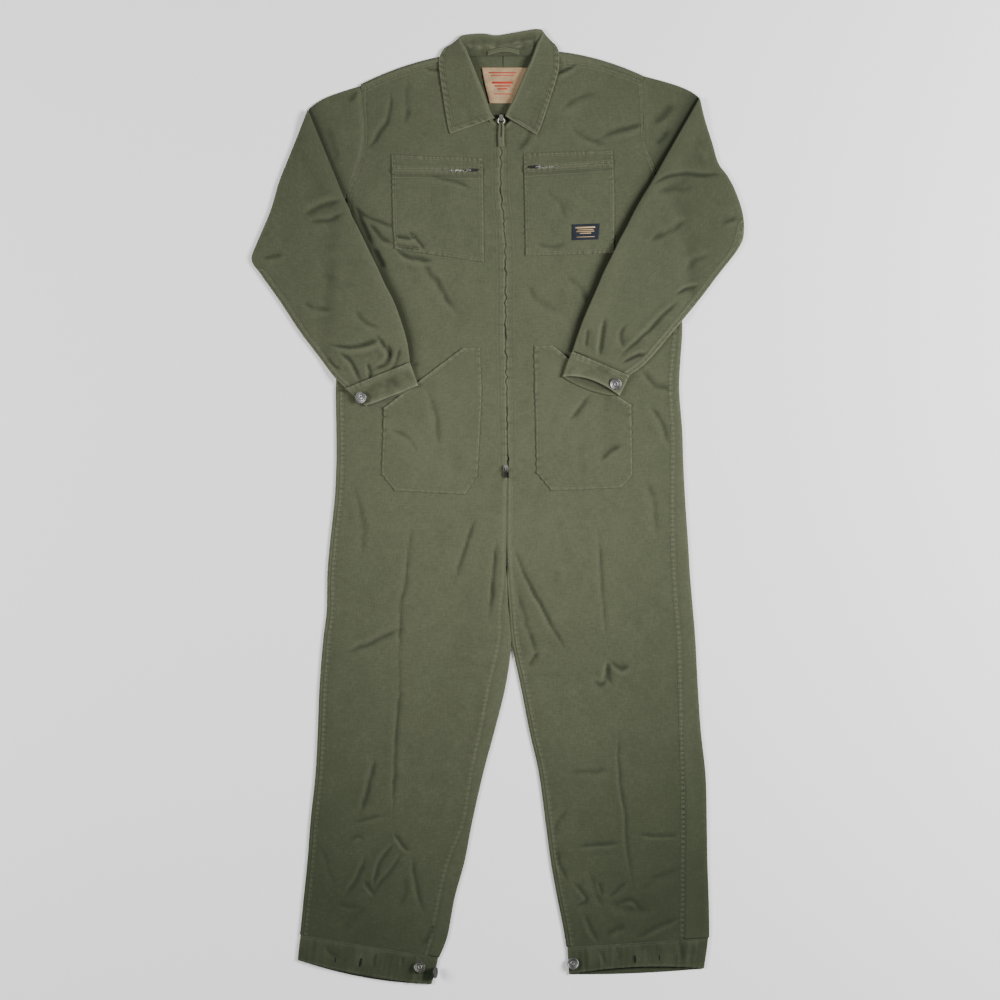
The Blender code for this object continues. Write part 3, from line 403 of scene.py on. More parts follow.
class Ground:
    """A map of the highest cloth laid so far, with a cell for each square millimetre."""
    HALF_X = 440    # half of the map's width
    HALF_Y = 820    # half of its length

    def __init__(self) -> None:
        """Start with the bare surface."""
        self.heights = np.zeros((2 * self.HALF_Y, 2 * self.HALF_X))

    def lay(self, grid: np.ndarray, lift: float = 0.0) -> None:
        """Add a grid of points to the map.

        Args:
            grid: Rows of points.
            lift: How far the cloth's top is above them.
        """
        steps = [max(1, int(math.ceil(np.abs(np.diff(grid[..., :2], axis=axis)).max() / 0.8)))
                 for axis in (0, 1)]
        fine = grid
        for axis, step in enumerate(steps):
            count = fine.shape[axis]
            at = np.linspace(0, count - 1, (count - 1) * step + 1)
            low = np.minimum(at.astype(int), count - 2)
            share = (at - low).reshape([-1, 1, 1] if axis == 0 else [1, -1, 1])
            fine = np.take(fine, low, axis) * (1 - share) + np.take(fine, low + 1, axis) * share
        column = np.clip((fine[..., 0] + self.HALF_X).astype(int), 0, 2 * self.HALF_X - 1)
        row = np.clip((fine[..., 1] + self.HALF_Y).astype(int), 0, 2 * self.HALF_Y - 1)
        np.maximum.at(self.heights, (row.ravel(), column.ravel()), fine[..., 2].ravel() + lift)

    def under(self, xs: np.ndarray, ys: np.ndarray, reach: int = 3, blur: float = 2.0) -> np.ndarray:
        """The surface that cloth laid here would follow, in its lower face.

        Args:
            xs: The points' x.
            ys: The points' y.
            reach: How far the cloth spans round high places.
            blur: How softly it comes down from them.

        Returns:
            A height for each point, never below what lies there.
        """
        margin = int(reach + 3 * blur + 4)
        left = max(0, int(xs.min()) + self.HALF_X - margin)
        right = min(2 * self.HALF_X, int(xs.max()) + self.HALF_X + margin)
        low = max(0, int(ys.min()) + self.HALF_Y - margin)
        high = min(2 * self.HALF_Y, int(ys.max()) + self.HALF_Y + margin)
        area = self.heights[low:high, left:right]
        soft = widest(area, reach)
        if blur > 0:
            soft = blurred(soft, blur)
            soft = blurred(np.maximum(soft, widest(area, 1)), 0.7)
        column = np.clip(xs + self.HALF_X - left - 0.5, 0, area.shape[1] - 1.001)
        row = np.clip(ys + self.HALF_Y - low - 0.5, 0, area.shape[0] - 1.001)
        c0, r0 = column.astype(int), row.astype(int)
        dc, dr = column - c0, row - r0
        return ((soft[r0, c0] * (1 - dc) + soft[r0, c0 + 1] * dc) * (1 - dr)
                + (soft[r0 + 1, c0] * (1 - dc) + soft[r0 + 1, c0 + 1] * dc) * dr)


def widest(area: np.ndarray, reach: int) -> np.ndarray:
    """Each cell takes the highest value within reach of it."""
    out = area.copy()
    for step in range(reach):
        grown = out.copy()
        grown[1:] = np.maximum(grown[1:], out[:-1])
        grown[:-1] = np.maximum(grown[:-1], out[1:])
        sideways = grown if step % 2 == 0 else out
        out = grown.copy()
        out[:, 1:] = np.maximum(out[:, 1:], sideways[:, :-1])
        out[:, :-1] = np.maximum(out[:, :-1], sideways[:, 1:])
    return out


def blurred(area: np.ndarray, sigma: float) -> np.ndarray:
    """The area, softened by a bell curve."""
    half = int(math.ceil(2.6 * sigma))
    taps = np.exp(-0.5 * (np.arange(-half, half + 1) / sigma) ** 2)
    taps /= taps.sum()
    for axis in (0, 1):
        padded = np.pad(area, [(half, half) if a == axis else (0, 0) for a in (0, 1)], mode="edge")
        size = area.shape[axis]
        area = sum(tap * np.take(padded, range(k, k + size), axis) for k, tap in enumerate(taps))
    return area


# ---- meshes ---------------------------------------------------------------------------

@dataclass
class Sheet:
    """A grid of points with its wear and painted light: paler above 0 (wear, and painted highlights on ridges
    and ripples), darker below 0 (painted shade). A closed one joins up sideways.
    """
    grid: np.ndarray
    wear_and_painted_light: np.ndarray
    closed: bool = False


def turned(sheet: Sheet, wall: float, tuck: float = 6.0, sides: Sequence[Edge] = tuple(Edge)) -> Sheet:
    """Give a sheet rounded edges that turn under.

    Args:
        sheet: The upper face.
        wall: The thickness of the cloth at its edge.
        tuck: How far the turning runs back underneath.
        sides: Which edges turn.

    Returns:
        The sheet with four more lines along each of those edges.
    """
    down = np.array([0.0, 0.0, wall])

    def strip(edge: np.ndarray, inner: np.ndarray, deep: np.ndarray) -> np.ndarray:
        """The lines of points from an edge, round it and back underneath."""
        out = level_unit(edge - inner)
        back = (deep - edge) * np.array([1.0, 1.0, 0.0])
        length = np.maximum(np.linalg.norm(back, axis=-1, keepdims=True), 1e-6)
        under = edge + (deep - edge) * np.minimum(1.0, tuck / length) - down
        return np.stack([edge + out * 0.35 * wall - down * 0.3, edge + out * 0.3 * wall - down * 0.75,
                         edge - down, under])

    def edged(grid: np.ndarray, wear_and_painted_light: np.ndarray, first: bool, last: bool) -> tuple[np.ndarray, np.ndarray]:
        """Add the turning before the first row, after the last row, or both."""
        inwards = min(4, len(grid) - 1)
        rows, worn_and_painted_light = [grid], [wear_and_painted_light]
        if first:
            lines = strip(grid[0], grid[1], grid[inwards])
            rows.insert(0, lines[::-1])
            worn_and_painted_light.insert(0, np.repeat(wear_and_painted_light[:1], len(lines), axis=0))
        if last:
            lines = strip(grid[-1], grid[-2], grid[-1 - inwards])
            rows.append(lines)
            worn_and_painted_light.append(np.repeat(wear_and_painted_light[-1:], len(lines), axis=0))
        return np.concatenate(rows), np.concatenate(worn_and_painted_light)

    grid, wear_and_painted_light = edged(sheet.grid.swapaxes(0, 1), sheet.wear_and_painted_light.T, Edge.LEFT in sides, Edge.RIGHT in sides)
    grid, wear_and_painted_light = edged(grid.swapaxes(0, 1), wear_and_painted_light.T, Edge.TOP in sides, Edge.BOTTOM in sides)
    return Sheet(grid, wear_and_painted_light, sheet.closed)


def grid_faces(rows: int, columns: int, closed: bool) -> np.ndarray:
    """Corner numbers of the quads of a grid."""
    across = np.arange(columns if closed else columns - 1)
    down = np.arange(rows - 1)[:, None]
    following = (across + 1) % columns
    corners = [down * columns + across, (down + 1) * columns + across,
               (down + 1) * columns + following, down * columns + following]
    return np.stack(corners, axis=-1).reshape(-1, 4)


def make_mesh(name: str, points: np.ndarray, faces: np.ndarray) -> bpy.types.Mesh:
    """A mesh from points in millimetres and faces of equal size."""
    mesh = bpy.data.meshes.new(name)
    mesh.vertices.add(len(points))
    mesh.vertices.foreach_set("co", (points * MM).astype(np.float32).ravel())
    sides = faces.shape[1]
    mesh.loops.add(faces.size)
    mesh.loops.foreach_set("vertex_index", faces.astype(np.int32).ravel())
    mesh.polygons.add(len(faces))
    mesh.polygons.foreach_set("loop_start", np.arange(0, faces.size, sides, dtype=np.int32))
    mesh.polygons.foreach_set("loop_total", np.full(len(faces), sides, dtype=np.int32))
    mesh.update(calc_edges=True)
    return mesh


def add_object(name: str, mesh: bpy.types.Mesh, material: bpy.types.Material,
               smooth: bool = True) -> bpy.types.Object:
    """Put a mesh in the scene with its material."""
    mesh.materials.append(material)
    if smooth:
        mesh.shade_smooth()
    piece = bpy.data.objects.new(name, mesh)
    bpy.context.scene.collection.objects.link(piece)
    return piece


def standing_out(sheet: Sheet, reach: int = 4) -> np.ndarray:
    """How far each point stands above the cloth around it, in millimetres.

    Args:
        sheet: The grid of points.
        reach: How many lines of the grid count as its surroundings, each way.

    Returns:
        A height for each point, negative in a hollow.
    """
    mean = sheet.grid[..., 2]
    for axis in (0, 1):
        pads = [(reach, reach) if a == axis else (0, 0) for a in (0, 1)]
        padded = np.pad(mean, pads, mode="wrap" if axis == 1 and sheet.closed else "edge")
        size = mean.shape[axis]
        lines = [np.take(padded, range(k, k + size), axis) for k in range(2 * reach + 1)]
        mean = sum(lines) / len(lines)
    return sheet.grid[..., 2] - mean


def sheet_object(name: str, sheets: Sequence[Sheet], material: bpy.types.Material) -> bpy.types.Object:
    """One object from one or more sheets, with wear, painted light and shade, and cut coordinates for its
    finish.

    Args:
        name: The object's name.
        sheets: Its grids.
        material: Its finish.

    Returns:
        The object.
    """
    points, faces, wear_and_painted_light, hollow, places, offset = [], [], [], [], [], 0
    for sheet in sheets:
        rows, columns = sheet.grid.shape[:2]
        corners = grid_faces(rows, columns, sheet.closed)
        across = np.linalg.norm(np.diff(sheet.grid, axis=1), axis=2)
        across = np.concatenate([np.zeros((rows, 1)), np.cumsum(across, axis=1)], axis=1)
        down = reach_along(np.linalg.norm(np.diff(sheet.grid, axis=0), axis=2).mean(axis=1))
        middle = across - across[:, columns // 2:columns // 2 + 1]
        place = np.stack([middle, np.broadcast_to(-down[:, None], middle.shape)], axis=-1).reshape(-1, 2)
        corner_places = place[corners]
        if sheet.closed:
            last = np.tile(np.arange(columns) == columns - 1, rows - 1)
            step = np.linalg.norm(sheet.grid[:, 0] - sheet.grid[:, -1], axis=1)
            row_of = np.repeat(np.arange(rows - 1), columns)
            corner_places[last, 2, 0] = middle[row_of[last] + 1, -1] + step[row_of[last] + 1]
            corner_places[last, 3, 0] = middle[row_of[last], -1] + step[row_of[last]]
        points.append(sheet.grid.reshape(-1, 3))
        faces.append(corners + offset)
        stands = standing_out(sheet)
        # Paler where the cloth stands out (wear and a painted highlight). The hollow attribute is painted
        # shade: darker in hollows and wherever the value below is negative.
        wear_and_painted_light.append((sheet.wear_and_painted_light + 0.13 * np.clip(stands / 1.6, 0, 1)).ravel())
        deep = np.clip(-stands / 0.95, 0, 1) - 1.4 * np.minimum(sheet.wear_and_painted_light, 0.0)
        hollow.append(deep.ravel())
        places.append(corner_places.reshape(-1, 2))
        offset += rows * columns
    mesh = make_mesh(name, np.concatenate(points), np.concatenate(faces))
    layer = mesh.uv_layers.new(name="cut")
    layer.uv.foreach_set("vector", (np.concatenate(places) * MM).astype(np.float32).ravel())
    for label, values in (("wear_and_painted_light", wear_and_painted_light), ("hollow", hollow)):
        attribute = mesh.attributes.new(label, "FLOAT", "POINT")
        attribute.data.foreach_set("value", np.concatenate(values).astype(np.float32))
    return add_object(name, mesh, material)


def thicken(piece: bpy.types.Object, wall: float, offset: float = -1.0) -> None:
    """Give a piece the thickness of its cloth."""
    solid = piece.modifiers.new("cloth", "SOLIDIFY")
    solid.thickness = wall * MM
    solid.offset = offset


class Cut(NamedTuple):
    """The flat size of a piece, in millimetres, and its area in square metres."""
    width: float
    length: float
    area: Optional[float] = None


def sew_in(piece: bpy.types.Object, nodes: Sequence[str], slot: str, cut: Optional[Cut] = None,
           rests_on: Sequence[str] = (), held: Lay = Lay.LAID) -> bpy.types.Object:
    """Tie a piece to the garment.

    Args:
        piece: The new object.
        nodes: The plain solids that it stands for.
        slot: Not used.
        cut: The flat cut, for a piece of cloth.
        rests_on: The nodes or pieces that it lies on.
        held: Not used.

    Returns:
        The same object.
    """
    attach(piece, "garment")
    if nodes:
        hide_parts(*nodes)
    if cut:
        list(rests_on)
    LOG.info("%s: %d faces", piece.name, len(piece.data.polygons))
    return piece


# ---- finishes -------------------------------------------------------------------------

class Recipe:
    """A material's node tree, built a node at a time."""

    def __init__(self, name: str) -> None:
        """Start a material with its Principled shader."""
        self.material = bpy.data.materials.new(name)
        self.material.use_nodes = True
        self.tree = self.material.node_tree
        self.shader = self.tree.nodes["Principled BSDF"]

    def feed(self, socket: bpy.types.NodeSocket, value: Any) -> None:
        """Link an output to a socket, or set the socket's value."""
        if isinstance(value, bpy.types.NodeSocket):
            self.tree.links.new(value, socket)
        else:
            socket.default_value = value

    def node(self, kind: str, inputs: Optional[dict[str, Any]] = None, **settings: Any) -> bpy.types.Node:
        """Add a node.

        Args:
            kind: The node's type.
            inputs: Values or output sockets, by input name.
            settings: Properties of the node.

        Returns:
            The node.
        """
        made = self.tree.nodes.new(kind)
        for key, value in settings.items():
            setattr(made, key, value)
        for key, value in (inputs or {}).items():
            self.feed(made.inputs[key], value)
        return made

    def mix(self, share: Any, first: Any, second: Any) -> bpy.types.NodeSocket:
        """A colour between two colours."""
        made = self.tree.nodes.new("ShaderNodeMix")
        made.data_type = "RGBA"
        for place, value in ((0, share), (6, first), (7, second)):
            self.feed(made.inputs[place], value)
        return made.outputs[2]

    def maths(self, action: str, first: Any, second: Any = 0.0, clamp: bool = False) -> bpy.types.NodeSocket:
        """The result of a sum on one or two values."""
        made = self.node("ShaderNodeMath", operation=action, use_clamp=clamp)
        for place, value in enumerate((first, second)):
            self.feed(made.inputs[place], value)
        return made.outputs[0]

    def ranged(self, value: bpy.types.NodeSocket, low: float, high: float,
               to_low: float = 0.0, to_high: float = 1.0) -> bpy.types.NodeSocket:
        """A value mapped from one range to another."""
        made = self.node("ShaderNodeMapRange", {"Value": value, "From Min": low, "From Max": high,
                                                "To Min": to_low, "To Max": to_high})
        return made.outputs["Result"]

    def noise(self, place: bpy.types.NodeSocket, stretch: tuple[float, float, float],
              detail: float = 2.0, rough: float = 0.5) -> bpy.types.NodeSocket:
        """Noise over a place, with its own number of swells a metre along each axis."""
        scaled = self.node("ShaderNodeMapping", {"Vector": place, "Scale": stretch})
        made = self.node("ShaderNodeTexNoise", {"Vector": scaled.outputs[0], "Scale": 1.0,
                                                "Detail": detail, "Roughness": rough})
        return made.outputs["Fac"]

    def threads(self, place: bpy.types.NodeSocket, across: str, pitch: float) -> bpy.types.NodeSocket:
        """Rounded threads of a pitch in millimetres, side by side along X or Y."""
        made = self.node("ShaderNodeTexWave", {"Vector": place, "Scale": math.tau / (20 * pitch * MM),
                                               "Distortion": 0.0},
                         wave_type="BANDS", bands_direction=across, wave_profile="SIN")
        return made.outputs["Fac"]

    def finish(self, colour: Any, rough: Any, relief: Optional[bpy.types.NodeSocket] = None,
               depth: float = 0.2, strength: float = 0.6, sheen: float = 0.0,
               metallic: float = 0.0, specular: float = 0.3) -> bpy.types.Material:
        """Set the shader and return the material.

        Args:
            colour: A colour or a socket.
            rough: A roughness or a socket.
            relief: Height for the bump, from 0 to 1.
            depth: The height of that relief, in millimetres.
            strength: The strength of the bump.
            sheen: The cloth's bloom.
            metallic: 1 for metal.
            specular: The level of the clear reflection.

        Returns:
            The material.
        """
        for key, value in (("Base Color", colour), ("Roughness", rough), ("Metallic", metallic),
                           ("Specular IOR Level", specular), ("Sheen Weight", sheen),
                           ("Sheen Roughness", 0.55)):
            self.feed(self.shader.inputs[key], value)
        if relief is not None:
            bump = self.node("ShaderNodeBump", {"Height": relief, "Distance": depth * MM,
                                                "Strength": strength})
            self.tree.links.new(bump.outputs[0], self.shader.inputs["Normal"])
        return self.material


class Shade(Enum):
    """The base colours, as linear red, green and blue."""
    OLIVE = (0.073, 0.080, 0.046)
    # Painted shade for the light's fall-off towards the ends and sides, with the legs' deeper tone.
    DEEP_OLIVE = (0.025, 0.032, 0.0155)
    # Random pale tone, wear, and painted highlights on ridges and ripples.
    PALE_OLIVE = (0.190, 0.196, 0.128)
    # Random dark tone, and painted shade in hollows and creases.
    DARK_OLIVE = (0.018, 0.022, 0.011)
    THREAD = (0.148, 0.155, 0.098)
    TAPE = (0.045, 0.052, 0.028)
    TAN = (0.400, 0.270, 0.150)
    BRICK = (0.420, 0.030, 0.018)
    NAVY = (0.012, 0.016, 0.026)
    GOLD = (0.470, 0.330, 0.170)
    NICKEL = (0.185, 0.187, 0.182)
    BRIGHT_NICKEL = (0.480, 0.475, 0.450)
    DARK_METAL = (0.065, 0.064, 0.058)
    # Near-black painted shade, for slits and button grooves.
    PAINTED_SHADE_BLACK = (0.004, 0.005, 0.003)
    FLOOR = (0.93, 0.93, 0.93)

    @property
    def rgba(self) -> tuple[float, float, float, float]:
        """The colour with an alpha of 1."""
        return (*self.value, 1.0)

    def darker(self, share: float) -> tuple[float, ...]:
        """The colour at a share of its light, with an alpha of 1."""
        return (*(value * share for value in self.value), 1.0)


class LightFalloff(NamedTuple):
    """How much darker the cloth is painted from one place to another, in metres along an axis of the frame:
    painted shade where the light falls off, and towards the hems also the legs' deeper tone.
    """
    start: float
    end: float
    amount: float = 1.0


@dataclass(frozen=True)
class CanvasFinish:
    """Washed plain-weave canvas: paler where it is worn, with painted light and shade on its ridges, hollows
    and creases, and darker towards its ends and sides, partly as painted shade where the light falls off.
    """
    name: str
    yarn: float = 0.9         # pitch of the weave
    wear_and_highlight_share: float = 0.7
    painted_shade_share: float = 0.6
    sheen: float = 0.06
    to_hems: LightFalloff = LightFalloff(-0.02, -0.78)
    hem_power: float = 1.3    # how late it deepens on the way to the hems
    to_collar: LightFalloff = LightFalloff(0.14, 0.6, 0.31)
    to_sides: LightFalloff = LightFalloff(0.12, 0.34, 0.31)
    slub_shade: float = 0.075
    cloud_shade: float = 0.035

    def material(self) -> bpy.types.Material:
        """Build the material."""
        recipe = Recipe(self.name)
        cut = recipe.node("ShaderNodeTexCoord").outputs["UV"]
        place = recipe.node("ShaderNodeTexCoord").outputs["Object"]
        # Painted shade where the light falls off towards the collar, the sides and the hems, with the legs'
        # deeper tone.
        deep = self.depth(recipe, place)
        colour = recipe.mix(deep, Shade.OLIVE.rgba, Shade.DEEP_OLIVE.rgba)
        warp = recipe.noise(cut, (420.0, 95.0, 1.0), 3.0, 0.6)
        weft = recipe.noise(cut, (90.0, 400.0, 1.0), 3.0, 0.6)
        slubs = recipe.maths("ADD", warp, weft)
        clouds = recipe.maths("ADD", recipe.noise(place, (7.0, 7.0, 7.0), 3.0, 0.6),
                              recipe.noise(place, (34.0, 34.0, 34.0), 2.0, 0.6))
        shade = recipe.maths("ADD", recipe.ranged(slubs, 0.72, 1.28, -self.slub_shade, self.slub_shade),
                             recipe.ranged(clouds, 0.7, 1.3, -self.cloud_shade, self.cloud_shade))
        dark = recipe.mix(recipe.maths("MULTIPLY", shade, -2.8, clamp=True), colour, Shade.DARK_OLIVE.rgba)
        lit = recipe.maths("MULTIPLY", shade, recipe.ranged(deep, 0.3, 1.0, 1.1, 0.55), clamp=True)
        pale = recipe.mix(lit, dark, Shade.PALE_OLIVE.rgba)
        # The hollow attribute is painted shade, mixed towards the dark olive.
        hollow = recipe.node("ShaderNodeAttribute", attribute_name="hollow").outputs["Fac"]
        pale = recipe.mix(recipe.maths("MULTIPLY", hollow, self.painted_shade_share, clamp=True), pale,
                          Shade.DARK_OLIVE.rgba)
        # Wear, with painted highlights on ridges and ripples, mixed towards the pale olive.
        wear_and_painted_light = recipe.node("ShaderNodeAttribute", attribute_name="wear_and_painted_light").outputs["Fac"]
        specks = recipe.noise(cut, (420.0, 420.0, 1.0), 3.0, 0.7)
        fresh = recipe.maths("MULTIPLY", recipe.ranged(deep, 0.3, 1.0, 1.0, 0.5),
                             recipe.ranged(specks, 0.3, 0.62, 0.45, 1.1))
        worn_and_painted_light = recipe.maths("MULTIPLY", recipe.maths("MULTIPLY", wear_and_painted_light, self.wear_and_highlight_share), fresh, clamp=True)
        finished = recipe.mix(worn_and_painted_light, pale, Shade.PALE_OLIVE.rgba)
        weave = recipe.maths("MAXIMUM", recipe.threads(cut, "X", self.yarn),
                             recipe.threads(cut, "Y", self.yarn))
        relief = recipe.maths("ADD", recipe.maths("MULTIPLY", weave, 0.35),
                              recipe.maths("MULTIPLY", slubs, 0.8))
        rough = recipe.ranged(specks, 0.3, 0.7, 0.82, 0.96)
        return recipe.finish(finished, rough, relief, depth=0.3, strength=0.45, sheen=self.sheen,
                             specular=0.18)

    def depth(self, recipe: Recipe, place: bpy.types.NodeSocket) -> bpy.types.NodeSocket:
        """How dark the colour is painted: more towards the collar and the sides, as painted shade where the
        light falls off, and towards the hems, partly the same painted shade and partly the legs' deeper tone.

        Args:
            recipe: The material's nodes.
            place: The place on the garment.

        Returns:
            The share of the deep colour.
        """
        up = recipe.node("ShaderNodeSeparateXYZ", {"Vector": place}).outputs["Y"]
        aside = recipe.maths("ABSOLUTE", recipe.node("ShaderNodeSeparateXYZ", {"Vector": place}).outputs["X"])
        fall = recipe.maths("POWER", recipe.ranged(up, self.to_hems.start, self.to_hems.end), self.hem_power)
        ends = [recipe.ranged(value, way.start, way.end, 0.0, way.amount)
                for value, way in ((up, self.to_collar), (aside, self.to_sides))]
        return recipe.maths("ADD", fall, recipe.maths("ADD", *ends))


@dataclass(frozen=True)
class ThreadFinish:
    """Twisted cotton sewing thread."""
    name: str
    shade: Shade
    deepens: float = 0.0      # how much darker it is painted towards the hems, as the canvas is

    def material(self) -> bpy.types.Material:
        """Build the material."""
        recipe = Recipe(self.name)
        place = recipe.node("ShaderNodeTexCoord").outputs["Object"]
        uneven = recipe.noise(place, (240.0, 240.0, 240.0), 2.0)
        tone = self.shade.darker(0.72)
        colour = recipe.mix(uneven, tone, self.shade.rgba)
        if self.deepens:
            up = recipe.node("ShaderNodeSeparateXYZ", {"Vector": place}).outputs["Y"]
            # Darker towards the hems, as the canvas is: partly painted shade where the light falls off.
            colour = recipe.mix(recipe.ranged(up, -0.15, -0.72, 0.0, self.deepens), colour,
                                Shade.DEEP_OLIVE.rgba)
        twist = recipe.noise(place, (1800.0, 1800.0, 1800.0), 1.0)
        return recipe.finish(colour, 0.85, twist, depth=0.12, sheen=0.1, specular=0.2)


@dataclass(frozen=True)
class WovenFinish:
    """Woven tape or label with fine ribs."""
    name: str
    shade: Shade
    rib: float = 0.8
    across: str = "Y"

    def material(self) -> bpy.types.Material:
        """Build the material."""
        recipe = Recipe(self.name)
        place = recipe.node("ShaderNodeTexCoord").outputs["Object"]
        blotch = recipe.noise(place, (60.0, 60.0, 60.0), 4.0, 0.65)
        tone = self.shade.darker(0.6)
        colour = recipe.mix(recipe.ranged(blotch, 0.3, 0.7), tone, self.shade.rgba)
        ribs = recipe.threads(place, self.across, self.rib)
        return recipe.finish(colour, 0.88, ribs, depth=0.15, strength=0.5, sheen=0.1, specular=0.2)


@dataclass(frozen=True)
class MetalFinish:
    """Plated metal, dulled and a little scratched."""
    name: str
    shade: Shade
    rough: float = 0.36

    def material(self) -> bpy.types.Material:
        """Build the material."""
        recipe = Recipe(self.name)
        place = recipe.node("ShaderNodeTexCoord").outputs["Object"]
        dull = recipe.noise(place, (420.0, 420.0, 420.0), 4.0, 0.65)
        scratches = recipe.noise(place, (2600.0, 260.0, 400.0), 2.0)
        tone = self.shade.darker(0.45)
        colour = recipe.mix(recipe.ranged(dull, 0.52, 0.75), self.shade.rgba, tone)
        rough = recipe.ranged(dull, 0.3, 0.7, self.rough - 0.06, self.rough + 0.22)
        return recipe.finish(colour, rough, scratches, depth=0.03, strength=0.3, metallic=1.0,
                             specular=0.5)


@dataclass(frozen=True)
class Palette:
    """All the finishes of the garment."""
    canvas: bpy.types.Material
    thread: bpy.types.Material
    deep_thread: bpy.types.Material
    tape: bpy.types.Material
    tan: bpy.types.Material
    brick: bpy.types.Material
    navy: bpy.types.Material
    gold: bpy.types.Material
    nickel: bpy.types.Material
    bright_metal: bpy.types.Material
    dark_metal: bpy.types.Material
    # Near-black painted shade, for the insides of slits and the grooves of dark buttons.
    slit: bpy.types.Material

    @classmethod
    def mixed(cls) -> Palette:
        """Build every finish once."""
        return cls(
            canvas=CanvasFinish("washed_canvas").material(),
            thread=ThreadFinish("olive_thread", Shade.THREAD, deepens=0.7).material(),
            deep_thread=ThreadFinish("deep_olive_thread", Shade.TAPE).material(),
            tape=WovenFinish("zip_tape", Shade.TAPE, rib=1.0).material(),
            tan=WovenFinish("tan_label_weave", Shade.TAN, rib=0.7).material(),
            brick=ThreadFinish("brick_thread", Shade.BRICK).material(),
            navy=WovenFinish("navy_label_weave", Shade.NAVY, rib=0.6).material(),
            gold=ThreadFinish("gold_thread", Shade.GOLD).material(),
            nickel=MetalFinish("aged_nickel", Shade.NICKEL).material(),
            bright_metal=MetalFinish("bright_nickel", Shade.BRIGHT_NICKEL, rough=0.3).material(),
            dark_metal=MetalFinish("dark_nickel", Shade.DARK_METAL, rough=0.35).material(),
            slit=WovenFinish("painted_slit_shade", Shade.PAINTED_SHADE_BLACK).material())


# ---- sewing ---------------------------------------------------------------------------

@dataclass
class Sewing:
    """Rows of stitches, joined in one object for each part of the garment."""
    ground: Ground
    pitch: float = 3.3
    length: float = 2.5
    width: float = 0.75
    thick: float = 0.5
    starts: list[np.ndarray] = field(default_factory=list)
    ends: list[np.ndarray] = field(default_factory=list)

    def row(self, line: Line, offsets: Sequence[float] = (0.0,), straight: bool = False) -> None:
        """Sew one or more rows beside a line, on top of what is laid so far.

        Args:
            line: The line in plan.
            offsets: How far each row is to the left of it.
            straight: Keeps the line's corners.
        """
        for offset in offsets:
            fine = beside(smooth_line(line, 2.0, straight), offset)
            track = smooth_line(fine[:, :2], self.pitch, straight=True)
            if len(track) < 3:
                continue
            step = track[1:] - track[:-1]
            share = self.length / self.pitch
            first = track[:-1] + step * (1 - share) / 2
            last = track[:-1] + step * (1 + share) / 2
            for ends, place in ((self.starts, first), (self.ends, last)):
                height = self.ground.under(place[:, 0], place[:, 1], reach=1, blur=0.0)
                ends.append(np.column_stack([place, height + 0.08]))

    def ring(self, centre: Point, radius: float, squeeze: float, turn: float, count: int = 22) -> None:
        """Sew a close ring of stitches that point to its middle, as round a buttonhole.

        Args:
            centre: The ring's middle.
            radius: Half of its length.
            squeeze: Its width as a share of its length.
            turn: The direction of its length, in degrees.
            count: The number of stitches.
        """
        angles = np.linspace(0, math.tau, count, endpoint=False)
        for ends, grown in ((self.starts, 0.0), (self.ends, 1.4)):
            xs, ys = rotated(centre, (radius + grown) * np.cos(angles),
                             (radius * squeeze + grown) * np.sin(angles), turn)
            height = self.ground.under(xs, ys, reach=1, blur=0.0)
            ends.append(np.column_stack([xs, ys, height + 0.15]))

    def build(self, name: str, material: bpy.types.Material, slot: str = "canvas") -> bpy.types.Object:
        """Join the stitches in one object that rides on the garment."""
        first, last = np.concatenate(self.starts), np.concatenate(self.ends)
        along = last - first
        side = unit(np.column_stack([-along[:, 1], along[:, 0], np.zeros(len(along))])) * self.width / 2
        up = np.array([0.0, 0.0, self.thick / 2])
        rings = [first - up * 0.6]
        for share in (0.25, 0.75):
            middle = first + along * share
            rings += [middle + side, middle + up, middle - side, middle - up]
        rings.append(last - up * 0.6)
        points = np.stack(rings, axis=1)
        pattern = [(0, 2, 1), (0, 3, 2), (0, 4, 3), (0, 1, 4), (9, 5, 6), (9, 6, 7), (9, 7, 8), (9, 8, 5)]
        for corner in range(4):
            near, following = 1 + corner, 1 + (corner + 1) % 4
            pattern += [(near, following, following + 4), (near, following + 4, near + 4)]
        faces = (np.arange(len(points))[:, None, None] * 10 + np.array(pattern)[None]).reshape(-1, 3)
        piece = add_object(name, make_mesh(name, points.reshape(-1, 3), faces), material)
        return sew_in(piece, (), slot)


# ---- studio ---------------------------------------------------------------------------

class Lamp(NamedTuple):
    """A soft box: its place and side in millimetres, and its power in watts."""
    name: str
    place: tuple[float, float, float]
    size: float
    power: float


